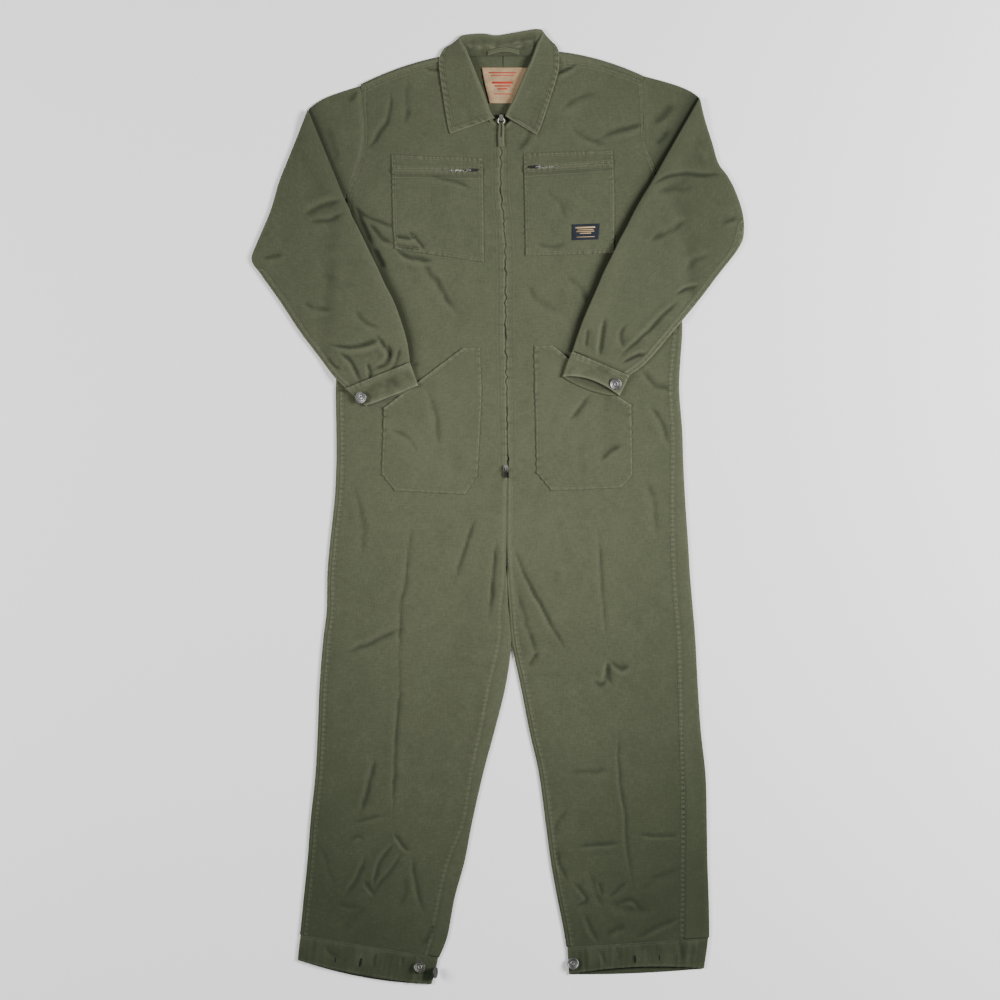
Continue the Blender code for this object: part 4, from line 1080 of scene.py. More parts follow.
@dataclass(frozen=True)
class Studio:
    """A pale floor, two soft lamps at the sides and a long lens that looks straight down."""
    frame: float = 1666.7      # side of the square in view
    middle: Point = (5.0, 11.7)
    lens: float = 100.0
    sensor: float = 36.0
    floor: float = 9000.0
    floor_z: float = -0.4
    ambient: float = 0.22
    lamps: tuple[Lamp, ...] = (Lamp("left_box", (-2500.0, 120.0, 1850.0), 1100.0, 92.0),
                               Lamp("right_box", (2500.0, 420.0, 1850.0), 1100.0, 184.0))

    def camera(self) -> None:
        """Place the camera."""
        data = bpy.data.cameras.new("overhead")
        data.lens = self.lens
        data.sensor_width = self.sensor
        data.clip_end = 50.0
        camera = bpy.data.objects.new("overhead", data)
        height = self.frame * self.lens / self.sensor
        camera.location = (self.middle[0] * MM, self.middle[1] * MM, height * MM)
        bpy.context.scene.collection.objects.link(camera)
        bpy.context.scene.camera = camera

    def light(self) -> None:
        """Hang two soft lamps and an even ambient light."""
        for name, place, size, power in self.lamps:
            data = bpy.data.lights.new(name, "AREA")
            data.energy = power
            data.size = size * MM
            lamp = bpy.data.objects.new(name, data)
            lamp.location = Vector(place) * MM
            lamp.rotation_euler = (-Vector(place)).to_track_quat("-Z", "Y").to_euler()
            bpy.context.scene.collection.objects.link(lamp)
        world = bpy.data.worlds.new("studio")
        world.use_nodes = True
        backdrop = world.node_tree.nodes["Background"]
        backdrop.inputs["Color"].default_value = (1.0, 1.0, 1.0, 1.0)
        backdrop.inputs["Strength"].default_value = self.ambient
        bpy.context.scene.world = world

    def ground_sheet(self) -> None:
        """Lay the pale floor."""
        half, low = self.floor / 2, self.floor_z
        corners = np.array([(-half, -half, low), (half, -half, low), (half, half, low), (-half, half, low)])
        recipe = Recipe("studio_floor")
        place = recipe.node("ShaderNodeTexCoord").outputs["Object"]
        grain = recipe.noise(place, (300.0, 300.0, 300.0), 2.0)
        colour = recipe.mix(grain, Shade.FLOOR.rgba, (0.95, 0.95, 0.95, 1.0))
        material = recipe.finish(colour, 0.9, specular=0.1)
        add_object("floor", make_mesh("floor", corners, np.array([(0, 1, 2, 3)])), material)

    def build(self) -> None:
        """Set up the camera, light and floor."""
        self.camera()
        self.light()
        self.ground_sheet()


# ---- body and legs --------------------------------------------------------------------

class Row(NamedTuple):
    """A line across a panel, from its outer edge to its inner edge."""
    outer_x: float
    outer_y: float
    inner_x: float
    inner_y: float
    rise: float = 0.0        # how far the line bows towards the collar
    outer_wrap: float = 0.0  # width of back that is folded round to the front, outer side
    inner_wrap: float = 0.0  # the same along the inseam
    leg: float = 0.0         # 0 on the body, 1 on the leg
    lift: float = 1.0        # share of the crown that shows here


def plan(rows: np.ndarray, share: np.ndarray, bow: int = 4) -> tuple[np.ndarray, np.ndarray]:
    """Points on rows in plan.

    Args:
        rows: The rows, one to a line of the array.
        share: For each row, shares of the way from its outer to its inner edge.
        bow: The column that says how far a row bows towards the collar.

    Returns:
        The points' x and y.
    """
    x = rows[:, 0:1] + (rows[:, 2:3] - rows[:, 0:1]) * share
    y = rows[:, 1:2] + (rows[:, 3:4] - rows[:, 1:2]) * share + rows[:, bow:bow + 1] * 4 * share * (1 - share)
    return x, y


def widths(rows: np.ndarray) -> np.ndarray:
    """The length of each row, as a column."""
    return np.hypot(rows[:, 2:3] - rows[:, 0:1], rows[:, 3:4] - rows[:, 1:2])


def swell(share: np.ndarray, inner_keep: np.ndarray | float = 0.0) -> np.ndarray:
    """How much of the crown shows across a panel: less near an edge that is a seam."""
    inner = 1 - (1 - inner_keep) * np.exp(-(1 - share) / SWELL_SHARE)
    return (1 - np.exp(-share / SWELL_SHARE)) * inner


def row_gaps(table: np.ndarray) -> np.ndarray:
    """The distance from each row to the next, as the mean of their two ends."""
    return (step_lengths(table[:, 0:2]) + step_lengths(table[:, 2:4])) / 2


def fine_rows(rows: Sequence[Row], pitch: float) -> np.ndarray:
    """Rows in nearly equal steps, with smooth edges."""
    table = np.array(rows, dtype=float)
    fine = catmull(table, steps_along(row_gaps(table), pitch))
    fine[:, 5:7] = np.maximum(fine[:, 5:7], 0.0)
    fine[:, 7:9] = np.clip(fine[:, 7:9], 0.0, 1.0)
    return fine


BODY_CREASES = (
    # press creases
    Crease(((-140, 15), (-145, -58), (-153, -133), (-160, -172), (-163, -322)), -0.7, 5.0, 0.6),
    Crease(((-160, -250), (-163, -322), (-168, -388), (-171, -466), (-175, -538)), -1.1, 4.5, 0.7),
    Crease(((167, -15), (173, -103), (180, -193), (185, -247)), -0.7, 5.0, 0.6),
    Crease(((200, -350), (205, -460), (213, -505), (216, -566), (227, -633), (235, -666)), -1.1, 4.5, 0.7),
    # right leg
    Crease(((-147, -198), (-183, -212), (-228, -235), (-263, -243)), -1.3, 7.0, 0.7),
    Crease(((-32, -10), (-50, -62), (-74, -134)), -1.3, 6.0, 0.4),
    Crease(((-1, -48), (-4, -95), (-8, -140), (-13, -195)), -1.9, 4.5, 0.3),
    Crease(((-202, -410), (-209, -450), (-220, -488), (-231, -522)), -1.7, 6.0, 0.5),
    Crease(((-242, -527), (-212, -518), (-184, -513)), -1.0, 5.0, 0.8),
    Crease(((-172, -541), (-153, -568), (-140, -572)), -1.6, 4.5, 0.9),
    Crease(((-167, -555), (-195, -594), (-203, -622), (-206, -649)), -1.7, 5.0, 0.8),
    Crease(((-218, -577), (-228, -611), (-245, -638), (-256, -655)), -1.6, 5.5, 0.8),
    Crease(((-222, -622), (-212, -637), (-203, -649)), -1.7, 5.0, 0.9),
    Crease(((-156, -572), (-173, -600), (-198, -633), (-209, -655)), -1.4, 5.0, 0.9),
    Crease(((-142, -574), (-137, -610), (-128, -655), (-117, -688)), -1.5, 6.0, 0.7),
    Crease(((-270, -660), (-240, -668), (-225, -664)), -1.2, 6.0, 0.6),
    Crease(((-260, -712), (-234, -680), (-210, -668)), -1.5, 12.0, 0.2),
    Crease(((-165, -672), (-152, -640), (-150, -610)), -1.2, 11.0, 0.2),
    Crease(((-130, -735), (-112, -712), (-104, -690)), -1.6, 7.0, 0.6),
    Crease(((-246, -560), (-232, -548), (-219, -556)), -0.9, 5.0, 0.8),
    Crease(((-300, -560), (-282, -590), (-270, -640)), -0.9, 9.0, 0.4),
    # left leg
    Crease(((186, -253), (207, -270), (222, -262)), -1.4, 6.0, 0.7),
    Crease(((186, -253), (177, -295), (157, -285)), -1.4, 6.0, 0.7),
    Crease(((186, -253), (185, -282), (196, -300)), -1.2, 6.0, 0.6),
    Crease(((24, -58), (46, -112), (78, -172), (122, -252)), -1.7, 6.5, 0.5),
    Crease(((30, -130), (52, -200), (70, -262)), -1.1, 8.0, 0.5),
    Crease(((70, -240), (50, -268)), -1.2, 6.0, 0.6),
    Crease(((110, -443), (155, -441), (200, -438)), -0.8, 9.0, 0.4),
    Crease(((224, -543), (266, -548), (310, -545)), -1.2, 4.5, 0.8),
    Crease(((124, -566), (166, -562), (197, -560), (210, -557)), -1.2, 5.0, 0.8),
    Crease(((93, -560), (105, -593), (118, -628)), -2.0, 7.0, 0.6),
    Crease(((124, -622), (138, -638), (150, -655), (128, -664)), -1.5, 5.0, 0.8),
    Crease(((168, -622), (177, -649)), -1.5, 5.0, 0.8),
    Crease(((197, -663), (227, -655), (238, -677)), -1.6, 6.0, 0.8),
    Crease(((143, -672), (160, -710), (172, -730)), -1.5, 6.0, 0.7),
    Crease(((177, -716), (200, -703), (218, -700)), -1.4, 6.0, 0.7),
    Crease(((224, -722), (255, -705), (293, -688), (312, -684)), -1.7, 6.0, 0.8),
    Crease(((243, -622), (293, -605), (312, -600)), -0.9, 7.0, 0.5),
    Crease(((118, -500), (100, -530), (96, -552)), -1.0, 8.0, 0.5),
    Crease(((177, -655), (215, -668), (262, -672)), -1.8, 13.0, 0.3),
    Crease(((150, -600), (166, -640), (178, -672)), -1.3, 10.0, 0.4),
    Crease(((228, -640), (262, -622), (302, -608)), -1.1, 11.0, 0.3),
    Crease(((183, -655), (204, -634), (218, -622)), -1.3, 7.0, 0.5),
    # chest and waist
    Crease(((-122, 731), (-104, 728), (-84, 723)), -3.4, 4.5, 0.7),
    Crease(((94, 719), (112, 726), (136, 739)), -4.2, 5.0, 0.7),
    Crease(((-150, 722), (-148, 690), (-152, 632)), -2.4, 12.0, 0.2),
    Crease(((-178, 702), (-178, 657), (-198, 617), (-224, 588)), -2.6, 7.0, 0.3),
    Crease(((-242, 503), (-217, 484), (-190, 472), (-160, 466)), -1.6, 6.0, 0.4),
    Crease(((-236, 508), (-222, 470), (-204, 430)), -2.4, 8.0, 0.2),
    Crease(((-220, 482), (-200, 457), (-184, 442), (-168, 436)), -1.9, 7.0, 0.5),
    Crease(((-207, 436), (-195, 412), (-184, 392)), -1.9, 8.0, 0.2),
    Crease(((-173, 434), (-150, 417), (-126, 411), (-100, 407)), -1.7, 6.0, 0.7),
    Crease(((-150, 420), (-126, 410), (-95, 367), (-62, 315)), -1.8, 11.0, 0.3),
    Crease(((105, 660), (130, 677), (168, 692)), -1.6, 11.0, 0.3),
    Crease(((162, 608), (200, 627), (233, 635), (258, 643)), -1.9, 9.0, 0.4),
    Crease(((32, 587), (53, 617), (60, 640)), -1.0, 8.0, 0.5),
    Crease(((120, 640), (150, 612), (190, 604)), -0.9, 8.0, 0.5),
    Crease(((40, 380), (75, 340), (120, 318)), -0.9, 12.0, 0.4),
    Crease(((110, 390), (140, 365), (150, 330)), -0.9, 11.0, 0.3),
    Crease(((250, 175), (275, 140), (290, 95)), -1.2, 9.0, 0.5),
    Crease(((235, 235), (262, 205), (300, 190)), -1.3, 9.0, 0.4),
    Crease(((240, 60), (262, 10), (268, -60)), -0.8, 10.0, 0.4),
    Crease(((-240, 40), (-222, -20), (-226, -90)), -0.8, 10.0, 0.4))

SHOULDER_SEAM_RIGHT = ((-225, 697), (-188, 714), (-150, 728), (-112, 738), (-75, 745))
SHOULDER_SEAM_LEFT = ((93, 739), (130, 741), (168, 736), (205, 724), (242, 710))
ARMHOLE_RIGHT = ((-227, 700), (-227, 668), (-224, 629), (-228, 588), (-238, 558), (-252, 515))
ARMHOLE_LEFT = ((242, 717), (246, 677), (249, 605), (255, 587), (267, 560))

BODY_PUCKERS = (
    Pucker(SHOULDER_SEAM_RIGHT, 0.8, 6.0, 9.0), Pucker(SHOULDER_SEAM_LEFT, 0.8, 6.0, 9.0),
    Pucker(ARMHOLE_RIGHT, 0.6, 7.0, 11.0), Pucker(ARMHOLE_LEFT, 0.6, 7.0, 11.0))

BACK_YOKE_RIGHT = (
    Row(-225, 665, 10, 703), Row(-224, 628, 10, 657), Row(-227, 592, 9, 613), Row(-238, 555, 7, 578))
BACK_YOKE_LEFT = (
    Row(246, 677, 10, 703), Row(248, 632, 10, 657), Row(251, 598, 9, 613), Row(258, 578, 7, 578))
FRONT_YOKE_RIGHT = (
    Row(-225, 697, -75, 745, rise=7.5, lift=0.1), Row(-225, 665, -57, 695, lift=0.6),
    Row(-224, 628, -32, 662), Row(-227, 592, 8, 630), Row(-238, 555, 7, 587))
FRONT_YOKE_LEFT = (
    Row(242, 710, 93, 739, rise=11, lift=0.1), Row(246, 677, 73, 695, lift=0.6),
    Row(248, 632, 48, 662), Row(251, 598, 9, 630), Row(258, 578, 7, 587))
LOWER_RIGHT = (
    Row(-252, 517, 6, 528), Row(-253, 462, 12, 467, outer_wrap=3),
    Row(-255, 408, 14, 408, outer_wrap=3), Row(-258, 348, 14, 348, outer_wrap=3),
    Row(-261, 290, 14, 290, outer_wrap=3), Row(-264, 245, 15, 245, outer_wrap=3),
    Row(-267, 195, 16, 195, outer_wrap=3), Row(-266, 128, 17, 128, outer_wrap=3),
    Row(-266, 70, 18, 70, outer_wrap=3), Row(-269, 12, 17, 12, outer_wrap=3),
    Row(-277, -63, 16, -63, outer_wrap=3, inner_wrap=0.4),
    Row(-281, -113, 17, -122, outer_wrap=3, inner_wrap=3, leg=0.4),
    Row(-282, -172, 19, -175, outer_wrap=3, inner_wrap=10, leg=0.9),
    Row(-288, -222, 22.5, -225, outer_wrap=3, inner_wrap=15, leg=1),
    Row(-294, -297, 13, -297, outer_wrap=3, inner_wrap=22, leg=1),
    Row(-297, -372, -5.5, -372, outer_wrap=3, inner_wrap=18, leg=1),
    Row(-301, -447, -24.5, -443, outer_wrap=3, inner_wrap=14, leg=1),
    Row(-309, -522, -43, -525, outer_wrap=3, inner_wrap=9, leg=1),
    Row(-314, -588, -56, -592, outer_wrap=3, inner_wrap=22, leg=1),
    Row(-320, -647, -72, -650, outer_wrap=3, inner_wrap=20, leg=1),
    Row(-325, -697, -84, -714, outer_wrap=3, inner_wrap=20, leg=1),
    Row(-327, -712, -98, -750, outer_wrap=3, inner_wrap=16, leg=1))
LOWER_LEFT = (
    Row(265, 560, 6, 528), Row(292, 470, 12, 467, outer_wrap=4),
    Row(301, 408, 14, 408, outer_wrap=5), Row(306, 348, 14, 348, outer_wrap=5),
    Row(307, 290, 14, 290, outer_wrap=6), Row(304, 245, 15, 245, outer_wrap=7),
    Row(302, 195, 16, 195, outer_wrap=8), Row(307, 128, 17, 128, outer_wrap=9),
    Row(309, 70, 18, 70, outer_wrap=11), Row(312, 12, 17, 12, outer_wrap=15),
    Row(317, -63, 16, -63, outer_wrap=19, inner_wrap=0.4),
    Row(320, -113, 17, -122, outer_wrap=20, inner_wrap=3, leg=0.4),
    Row(325, -172, 21, -175, outer_wrap=21, inner_wrap=3, leg=0.9),
    Row(329, -222, 25.5, -225, outer_wrap=21, inner_wrap=3, leg=1),
    Row(333, -297, 41, -297, outer_wrap=23, inner_wrap=3, leg=1),
    Row(338, -372, 55.5, -372, outer_wrap=26, inner_wrap=3, leg=1),
    Row(346, -447, 71.5, -443, outer_wrap=32, inner_wrap=3, leg=1),
    Row(348, -522, 82.5, -525, outer_wrap=33, inner_wrap=3, leg=1),
    Row(349, -588, 91.5, -592, outer_wrap=35, inner_wrap=3, leg=1),
    Row(351, -647, 102, -650, outer_wrap=37, inner_wrap=3, leg=1),
    Row(352, -692, 112, -700, outer_wrap=39, inner_wrap=3, leg=1),
    Row(352, -717, 117, -732, outer_wrap=39, inner_wrap=3, leg=1))


def front_wave(y: np.ndarray) -> np.ndarray:
    """How far the two edges over the zip stray to the side, together, along the opening."""
    quick = 0.55 * np.sin(math.tau * y / 19.0 + 2.8 * SMALL_WAVES.at(y, 0.0))
    quick += 0.6 * np.sin(math.tau * y / 31.0 + 3.5 * SMALL_WAVES.at(y * 0.8, 33.0))
    strength = 0.75 + 0.6 * BROAD_WAVES.at(y, 90.0)
    return 1.6 * quick * strength


@dataclass
class BodyHalf:
    """The back and front of one side, from the shoulder to the hem band."""
    side: Side
    shoulder: Row
    back_yoke: Sequence[Row]
    front_yoke: Sequence[Row]
    lower: Sequence[Row]
    front_cut: Cut
    back_cut: Cut
    pitch: float = 2.7
    back_pitch: float = 5.0
    middle_width: float = 236.0
    middle_points: int = 13   # points across the flat part of the back
    zip_gap: float = 1.0      # from the zip's middle to the edge over it
    seam_gap: float = 0.12    # from the inseam to the edge sewn along it
    edge_points: int = 6      # points of a folded strip
    roll_points: int = 5      # points round the fold
    curl_room: float = 7.0    # width of the strip that those points take where it lies flat
    overhang: float = 0.9     # from the side's outline in to the middle of the roll
    sink: float = 1.5         # how far the folded strip goes down under the front

    def level(self, rows: np.ndarray, share: np.ndarray, relief: bool = True) -> np.ndarray:
        """Height of the top of the front, over the whole width of the body or leg."""
        x, y = plan(rows, share)
        leg, lift = rows[:, 7:8], rows[:, 8:9]
        shape = swell(share, inner_keep=1 - leg)
        crown = BODY_CROWN + (LEG_CROWN - BODY_CROWN) * leg
        extra = np.zeros(x.shape)
        if relief:
            extra = crease_height(BODY_CREASES, x, y) + pucker_height(BODY_PUCKERS, x, y)
            extra += 0.7 * BROAD_WAVES.at(x, y * 0.7) + 0.2 * SMALL_WAVES.at(x, y * 0.6)
            extra += 0.7 * crumple(x, y)
        return EDGE_Z + PLY / 2 + (crown * shape + extra * np.minimum(1.0, shape * 1.5 + 0.1)) * lift

    def front(self) -> Sheet:
        """The front: turned under along the zip and lapped over the back at its seams."""
        rows = fine_rows((*self.front_yoke, *self.lower), self.pitch)
        wide = widths(rows)
        armhole_end = self.lower[0].outer_y
        outer_y, inner_y = rows[:, 1:2], rows[:, 3:4]
        inset = np.maximum(rows[:, 5:6], 3.0) * eased((armhole_end - outer_y) / 8.0)
        zipped = eased((NECK_POINT_Y + 6 - inner_y) / 6) * eased((inner_y - ZIP_END_Y) / 6)
        on_body = 1 - np.clip(rows[:, 6:7] / 0.4, 0, 1)
        stray = front_wave(inner_y) * zipped * on_body
        ajar = np.clip(SMALL_WAVES.at(inner_y * 1.7, 7.0), 0, 1)
        parted = self.zip_gap * (0.35 + ajar) - self.seam_gap + 1.2 * bell(inner_y, 9.0, ZIP_FOOT_Y)
        gap = self.seam_gap + parted * zipped
        inner_inset = rows[:, 6:7] + gap + self.side.sign * stray
        first, last = inset / wide, 1 - inner_inset / wide
        near = np.array(EDGE_SHARES)
        middle = np.linspace(0.054, 0.946, int(self.middle_width / self.pitch))
        share = first + (last - first) * np.concatenate([near, middle, 1 - near[::-1]])
        x, y = plan(rows, share)
        from_outer, from_inner = (share - first) * wide, (last - share) * wide
        below = eased((armhole_end - outer_y) / 20.0)
        phase = 20.0 + 60.0 * self.side.sign + x * 0.2
        pull = np.sin(math.tau * y / 8.1 + 2.0 * SMALL_WAVES.at(y * 1.3, phase))
        pull *= (below * bell(from_outer, 4.5, 5.0)
                 + 0.7 * eased((-115.0 - inner_y) / 60.0) * bell(from_inner, 4.5, 5.0))
        z = self.level(rows, share)
        z += 0.5 * below * bell(from_outer, 9.0)
        z += 0.5 * np.clip(rows[:, 6:7] / 3, 0, 1) * bell(from_inner, 9.0)
        z += self.zip_ripple(y, phase) * 0.9 * zipped * on_body * bell(from_inner, 8.0)
        z += 0.42 * pull
        z -= 0.5 * np.exp(-from_inner / 0.8) + 0.4 * np.exp(-from_outer / 0.8)
        patchy = 0.75 + 0.25 * RIPPLES.at(x, y)
        wear_and_painted_light = patchy * ((0.12 + 0.22 * below) * bell(from_outer, 1.9, 5.0)
                         + striped(from_outer, FRONT_SIDE_STRIPES)
                         + zipped * striped(from_inner, FRONT_ZIP_STRIPES)
                         + (1 - zipped) * striped(from_inner, INSEAM_STRIPES))
        # Painted light and shade on the sewing ripples and pulls; the negative stripes are painted shade
        # along the seams and the zip gap.
        wear_and_painted_light += RIPPLE_PAINTED_LIGHT * pucker_height(BODY_PUCKERS, x, y) + 0.16 * pull
        wear_and_painted_light += crease_wear_and_shade(BODY_CREASES, x, y)
        # Painted shadow beside the sleeve's inner edge, stronger on the wearer's left.
        sleeve = SLEEVE_RIGHT if self.side is Side.RIGHT else SLEEVE_LEFT
        beside_sleeve, _, _ = near_line(smooth_line([(cut.x1, cut.y1) for cut in sleeve], 14.0), x, y)
        wear_and_painted_light -= (SLEEVE_PAINTED_SHADOW + 0.1 * self.side.sign) * bell(beside_sleeve, 15.0)
        return turned(Sheet(np.stack([x, y, z], axis=-1), wear_and_painted_light), PLY * 0.9,
                      sides=(Edge.LEFT, Edge.RIGHT, Edge.TOP))

    def zip_ripple(self, y: np.ndarray, phase: np.ndarray) -> np.ndarray:
        """The waves that the zip's sewing draws up in the edge over it."""
        ripple = 0.6 * np.sin(math.tau * y / 17.0 + 4.5 * SMALL_WAVES.at(y, phase))
        ripple += 0.5 * np.sin(math.tau * y / 9.0 + 4.0 * SMALL_WAVES.at(y * 1.4, phase + 50.0))
        return ripple * (0.7 + 0.5 * BROAD_WAVES.at(y * 1.7, phase))

    def fold(self, rows: np.ndarray, outer: bool) -> np.ndarray:
        """The edge of the back, rolled up round a side and on under the front.

        Args:
            rows: The fine rows of the back.
            outer: Says which edge.

        Returns:
            For each row, points from the free edge to the flat cloth.
        """
        wide = widths(rows)
        wrap = rows[:, 5:6] if outer else rows[:, 6:7]
        curl = np.clip(wrap / 3.0, 0.0, 1.0)
        strip = np.linspace(1.0, 0.0, self.edge_points)[None, :] ** 1.3
        run = self.overhang + (wrap + LAP - self.overhang) * strip
        sink = self.sink * eased((run - wrap + 1.5) / 3.0)
        share = run / wide if outer else 1 - run / wide
        top = self.level(rows, share) - sink
        angles = np.radians(np.linspace(90, 270, self.roll_points))
        roll_run = np.broadcast_to(self.overhang + SIDE_TURN * np.cos(angles), (len(rows), self.roll_points))
        roll_z = np.broadcast_to(SIDE_TURN + SIDE_TURN * np.sin(angles), roll_run.shape)
        runs = np.concatenate([run, roll_run], axis=1)
        heights = np.concatenate([top, roll_z], axis=1)
        flat = np.linspace(FLAT_START if outer else 0.0, self.curl_room, runs.shape[1])[None, :]
        runs = runs * curl + flat * (1 - curl)
        heights = heights * curl
        shares = runs / wide if outer else 1 - runs / wide
        x, y = plan(rows, shares)
        return np.stack([x, y, heights], axis=-1)

    def shoulder_fold(self, shares: np.ndarray) -> np.ndarray:
        """The top of the back: from under the front, over the shoulder and down to the surface.

        Args:
            shares: Shares of the shoulder's width, from its outer to its inner end.

        Returns:
            Rows of points, from the free edge to the flat cloth.
        """
        line = np.array([self.shoulder], dtype=float)
        seam = np.array([self.front_yoke[0]], dtype=float)
        x, y = plan(line, shares[None, :])
        x, y = x[0], y[0]
        seam_share = (x - seam[0, 0]) / (seam[0, 2] - seam[0, 0])
        seam_y = plan(seam, np.clip(seam_share, 0, 1)[None, :])[1][0]
        narrow = np.clip((seam_share - 0.88) / 0.12, 0, 1)
        wrap = 4 + (np.maximum(y - seam_y, 4) - 4) * (1 - narrow)
        curl = np.clip((1.15 - seam_share) / 0.15, 0, 1)
        lines = []
        for step in np.linspace(1.0, 0.0, self.edge_points + 2) ** 1.2:
            run = self.overhang + (wrap + LAP - self.overhang) * step
            sink = self.sink * eased((run - wrap + 1.5) / 3.0)
            puff = 0.9 * np.sin(math.pi * np.clip(run / (wrap + 1), 0, 1))
            height = EDGE_Z + PLY / 2 + puff - sink + 0.3 * SMALL_WAVES.at(x, run)
            lines.append((run, height))
        for angle in np.radians(np.linspace(90, 270, self.roll_points)):
            run = np.full(x.shape, self.overhang + SIDE_TURN * math.cos(angle))
            lines.append((run, np.full(x.shape, SIDE_TURN + SIDE_TURN * math.sin(angle))))
        flat_runs = np.linspace(0.0, self.curl_room, len(lines))
        folded = [np.stack([x, y - (run * curl + flat * (1 - curl)), height * curl], axis=-1)
                  for (run, height), flat in zip(lines, flat_runs)]
        return np.stack(folded, axis=0)

    def back(self) -> Sheet:
        """The back, with its sides rolled round to the front."""
        rows = fine_rows((*self.back_yoke, *self.lower), self.back_pitch)
        wide = widths(rows)
        outer, inner = self.fold(rows, True), self.fold(rows, False)
        margin = self.curl_room / wide
        spread = np.linspace(0.03, 0.97, self.middle_points)
        middle_share = margin + (1 - 2 * margin) * spread[None, :]
        x, y = plan(rows, middle_share)
        middle = np.stack([x, y, np.zeros(x.shape)], axis=-1)
        lower = np.concatenate([outer, middle, inner[:, ::-1]], axis=1)
        shoulder_width = math.hypot(self.shoulder.inner_x - self.shoulder.outer_x,
                                    self.shoulder.inner_y - self.shoulder.outer_y)
        flat = np.linspace(FLAT_START, self.curl_room, outer.shape[1]) / shoulder_width
        room = self.curl_room / shoulder_width
        shares = np.concatenate([flat, room + (1 - 2 * room) * spread, 1 - flat[::-1]])
        grid = np.concatenate([self.shoulder_fold(shares), lower], axis=0)
        patchy = 0.12 + 0.12 * RIPPLES.at(grid[..., 0], grid[..., 1])
        wear_and_painted_light = patchy * bell(grid[..., 2], 1.1, 2.2) * (grid[..., 2] > 0.3)
        return Sheet(grid, wear_and_painted_light)

    def build_back(self, ground: Ground, palette: Palette) -> None:
        """Make the back."""
        back = self.back()
        piece = sheet_object(f"back_panel_{self.side.value}", [back], palette.canvas)
        thicken(piece, PLY, offset=self.side.sign)
        sew_in(piece, (f"back_{self.side.value}",), "canvas", self.back_cut)
        ground.lay(np.dstack([back.grid[..., :2], np.maximum(back.grid[..., 2], PLY)]))

    def build_front(self, ground: Ground, palette: Palette) -> None:
        """Lay the front over the back and the sleeve head."""
        front = self.front()
        side = self.side.value
        piece = sheet_object(f"front_panel_{side}", [front], palette.canvas)
        sew_in(piece, (f"front_{side}",), "canvas", self.front_cut, (f"back_panel_{side}",))
        ground.lay(front.grid)


RIGHT_HALF = BodyHalf(Side.RIGHT, Row(-226, 703, 10, 757, rise=16), BACK_YOKE_RIGHT, FRONT_YOKE_RIGHT,
                      LOWER_RIGHT, Cut(330, 1500, 0.375), Cut(360, 1530, 0.42))
LEFT_HALF = BodyHalf(Side.LEFT, Row(243, 717, 10, 757, rise=17), BACK_YOKE_LEFT, FRONT_YOKE_LEFT,
                     LOWER_LEFT, Cut(330, 1500, 0.37), Cut(380, 1530, 0.44))


# ---- sleeves, cuffs and hems ----------------------------------------------------------

class Across(NamedTuple):
    """A section across a sleeve, cuff or hem, from one side edge to the other."""
    x0: float
    y0: float
    x1: float
    y1: float
    front_bow: float = 0.0   # how far the upper layer's line bows towards the collar
    back_bow: float = 0.0    # the same for the lower layer
    crown: float = 3.0


class SewnEdge(NamedTuple):
    """How the edge that a band is sewn on by turns under, in millimetres."""
    back: float     # how far the turned cloth stands out beyond the seam
    drop: float     # how far it goes down from the upper layer
    rise: float     # how far it comes up from the lower layer
    tuck: float     # how far it runs back underneath
    corner: float   # how far its rounded corner stands out


SLEEVE_CREASES = (
    # right sleeve
    Crease(((-256, 510), (-290, 501), (-326, 484)), -2.6, 8.0, 0.6),
    Crease(((-250, 491), (-278, 478), (-318, 474)), -1.8, 6.0, 0.8),
    Crease(((-392, 412), (-372, 417), (-350, 422)), -1.3, 8.0, 0.3),
    Crease(((-284, 270), (-245, 265), (-209, 272), (-190, 288)), -2.4, 6.0, 0.7),
    Crease(((-267, 259), (-245, 245), (-230, 219), (-226, 204)), -2.8, 6.0, 0.7),
    Crease(((-217, 242), (-210, 222), (-212, 208)), -2.0, 5.0, 0.7),
    Crease(((-182, 275), (-178, 250), (-188, 235), (-212, 226)), -3.0, 6.0, 0.6),
    Crease(((-200, 286), (-183, 262), (-178, 246)), -1.8, 6.0, 0.5),
    Crease(((-161, 268), (-167, 240), (-179, 229)), -1.8, 5.5, 0.7),
    Crease(((-286, 252), (-272, 236), (-254, 226)), -1.4, 6.0, 0.6),
    Crease(((-300, 392), (-262, 372), (-225, 368)), -0.8, 14.0, 0.2),
    Crease(((-240, 330), (-215, 305), (-190, 296)), -1.1, 9.0, 0.5),
    Crease(((-330, 345), (-300, 330), (-268, 332)), -0.9, 8.0, 0.5),
    # left sleeve
    Crease(((386, 548), (372, 553), (340, 552), (316, 554), (286, 550), (250, 534)), -2.9, 4.8, 0.2),
    Crease(((330, 545), (300, 538), (262, 520)), -1.4, 14.0, 0.2),
    Crease(((262, 520), (300, 529), (340, 532)), -1.2, 11.0, 0.3),
    Crease(((372, 470), (388, 478), (404, 482)), -1.4, 6.0, 0.7),
    Crease(((322, 478), (275, 453), (250, 436)), -1.7, 10.0, 0.3),
    Crease(((337, 369), (310, 360), (295, 351)), -2.0, 5.0, 0.7),
    Crease(((309, 348), (284, 326), (255, 296), (198, 243)), -2.4, 6.5, 0.6),
    Crease(((254, 254), (235, 252), (204, 236)), -2.0, 5.0, 0.7),
    Crease(((181, 318), (178, 298), (170, 245)), -2.4, 6.0, 0.6),
    Crease(((215, 305), (205, 285), (212, 262)), -1.3, 6.0, 0.6),
    Crease(((152, 300), (150, 280), (146, 262)), -1.6, 5.0, 0.6),
    Crease(((360, 420), (330, 408), (312, 390)), -0.9, 9.0, 0.5),
    Crease(((330, 600), (352, 575)), 0.9, 9.0, 0.3))
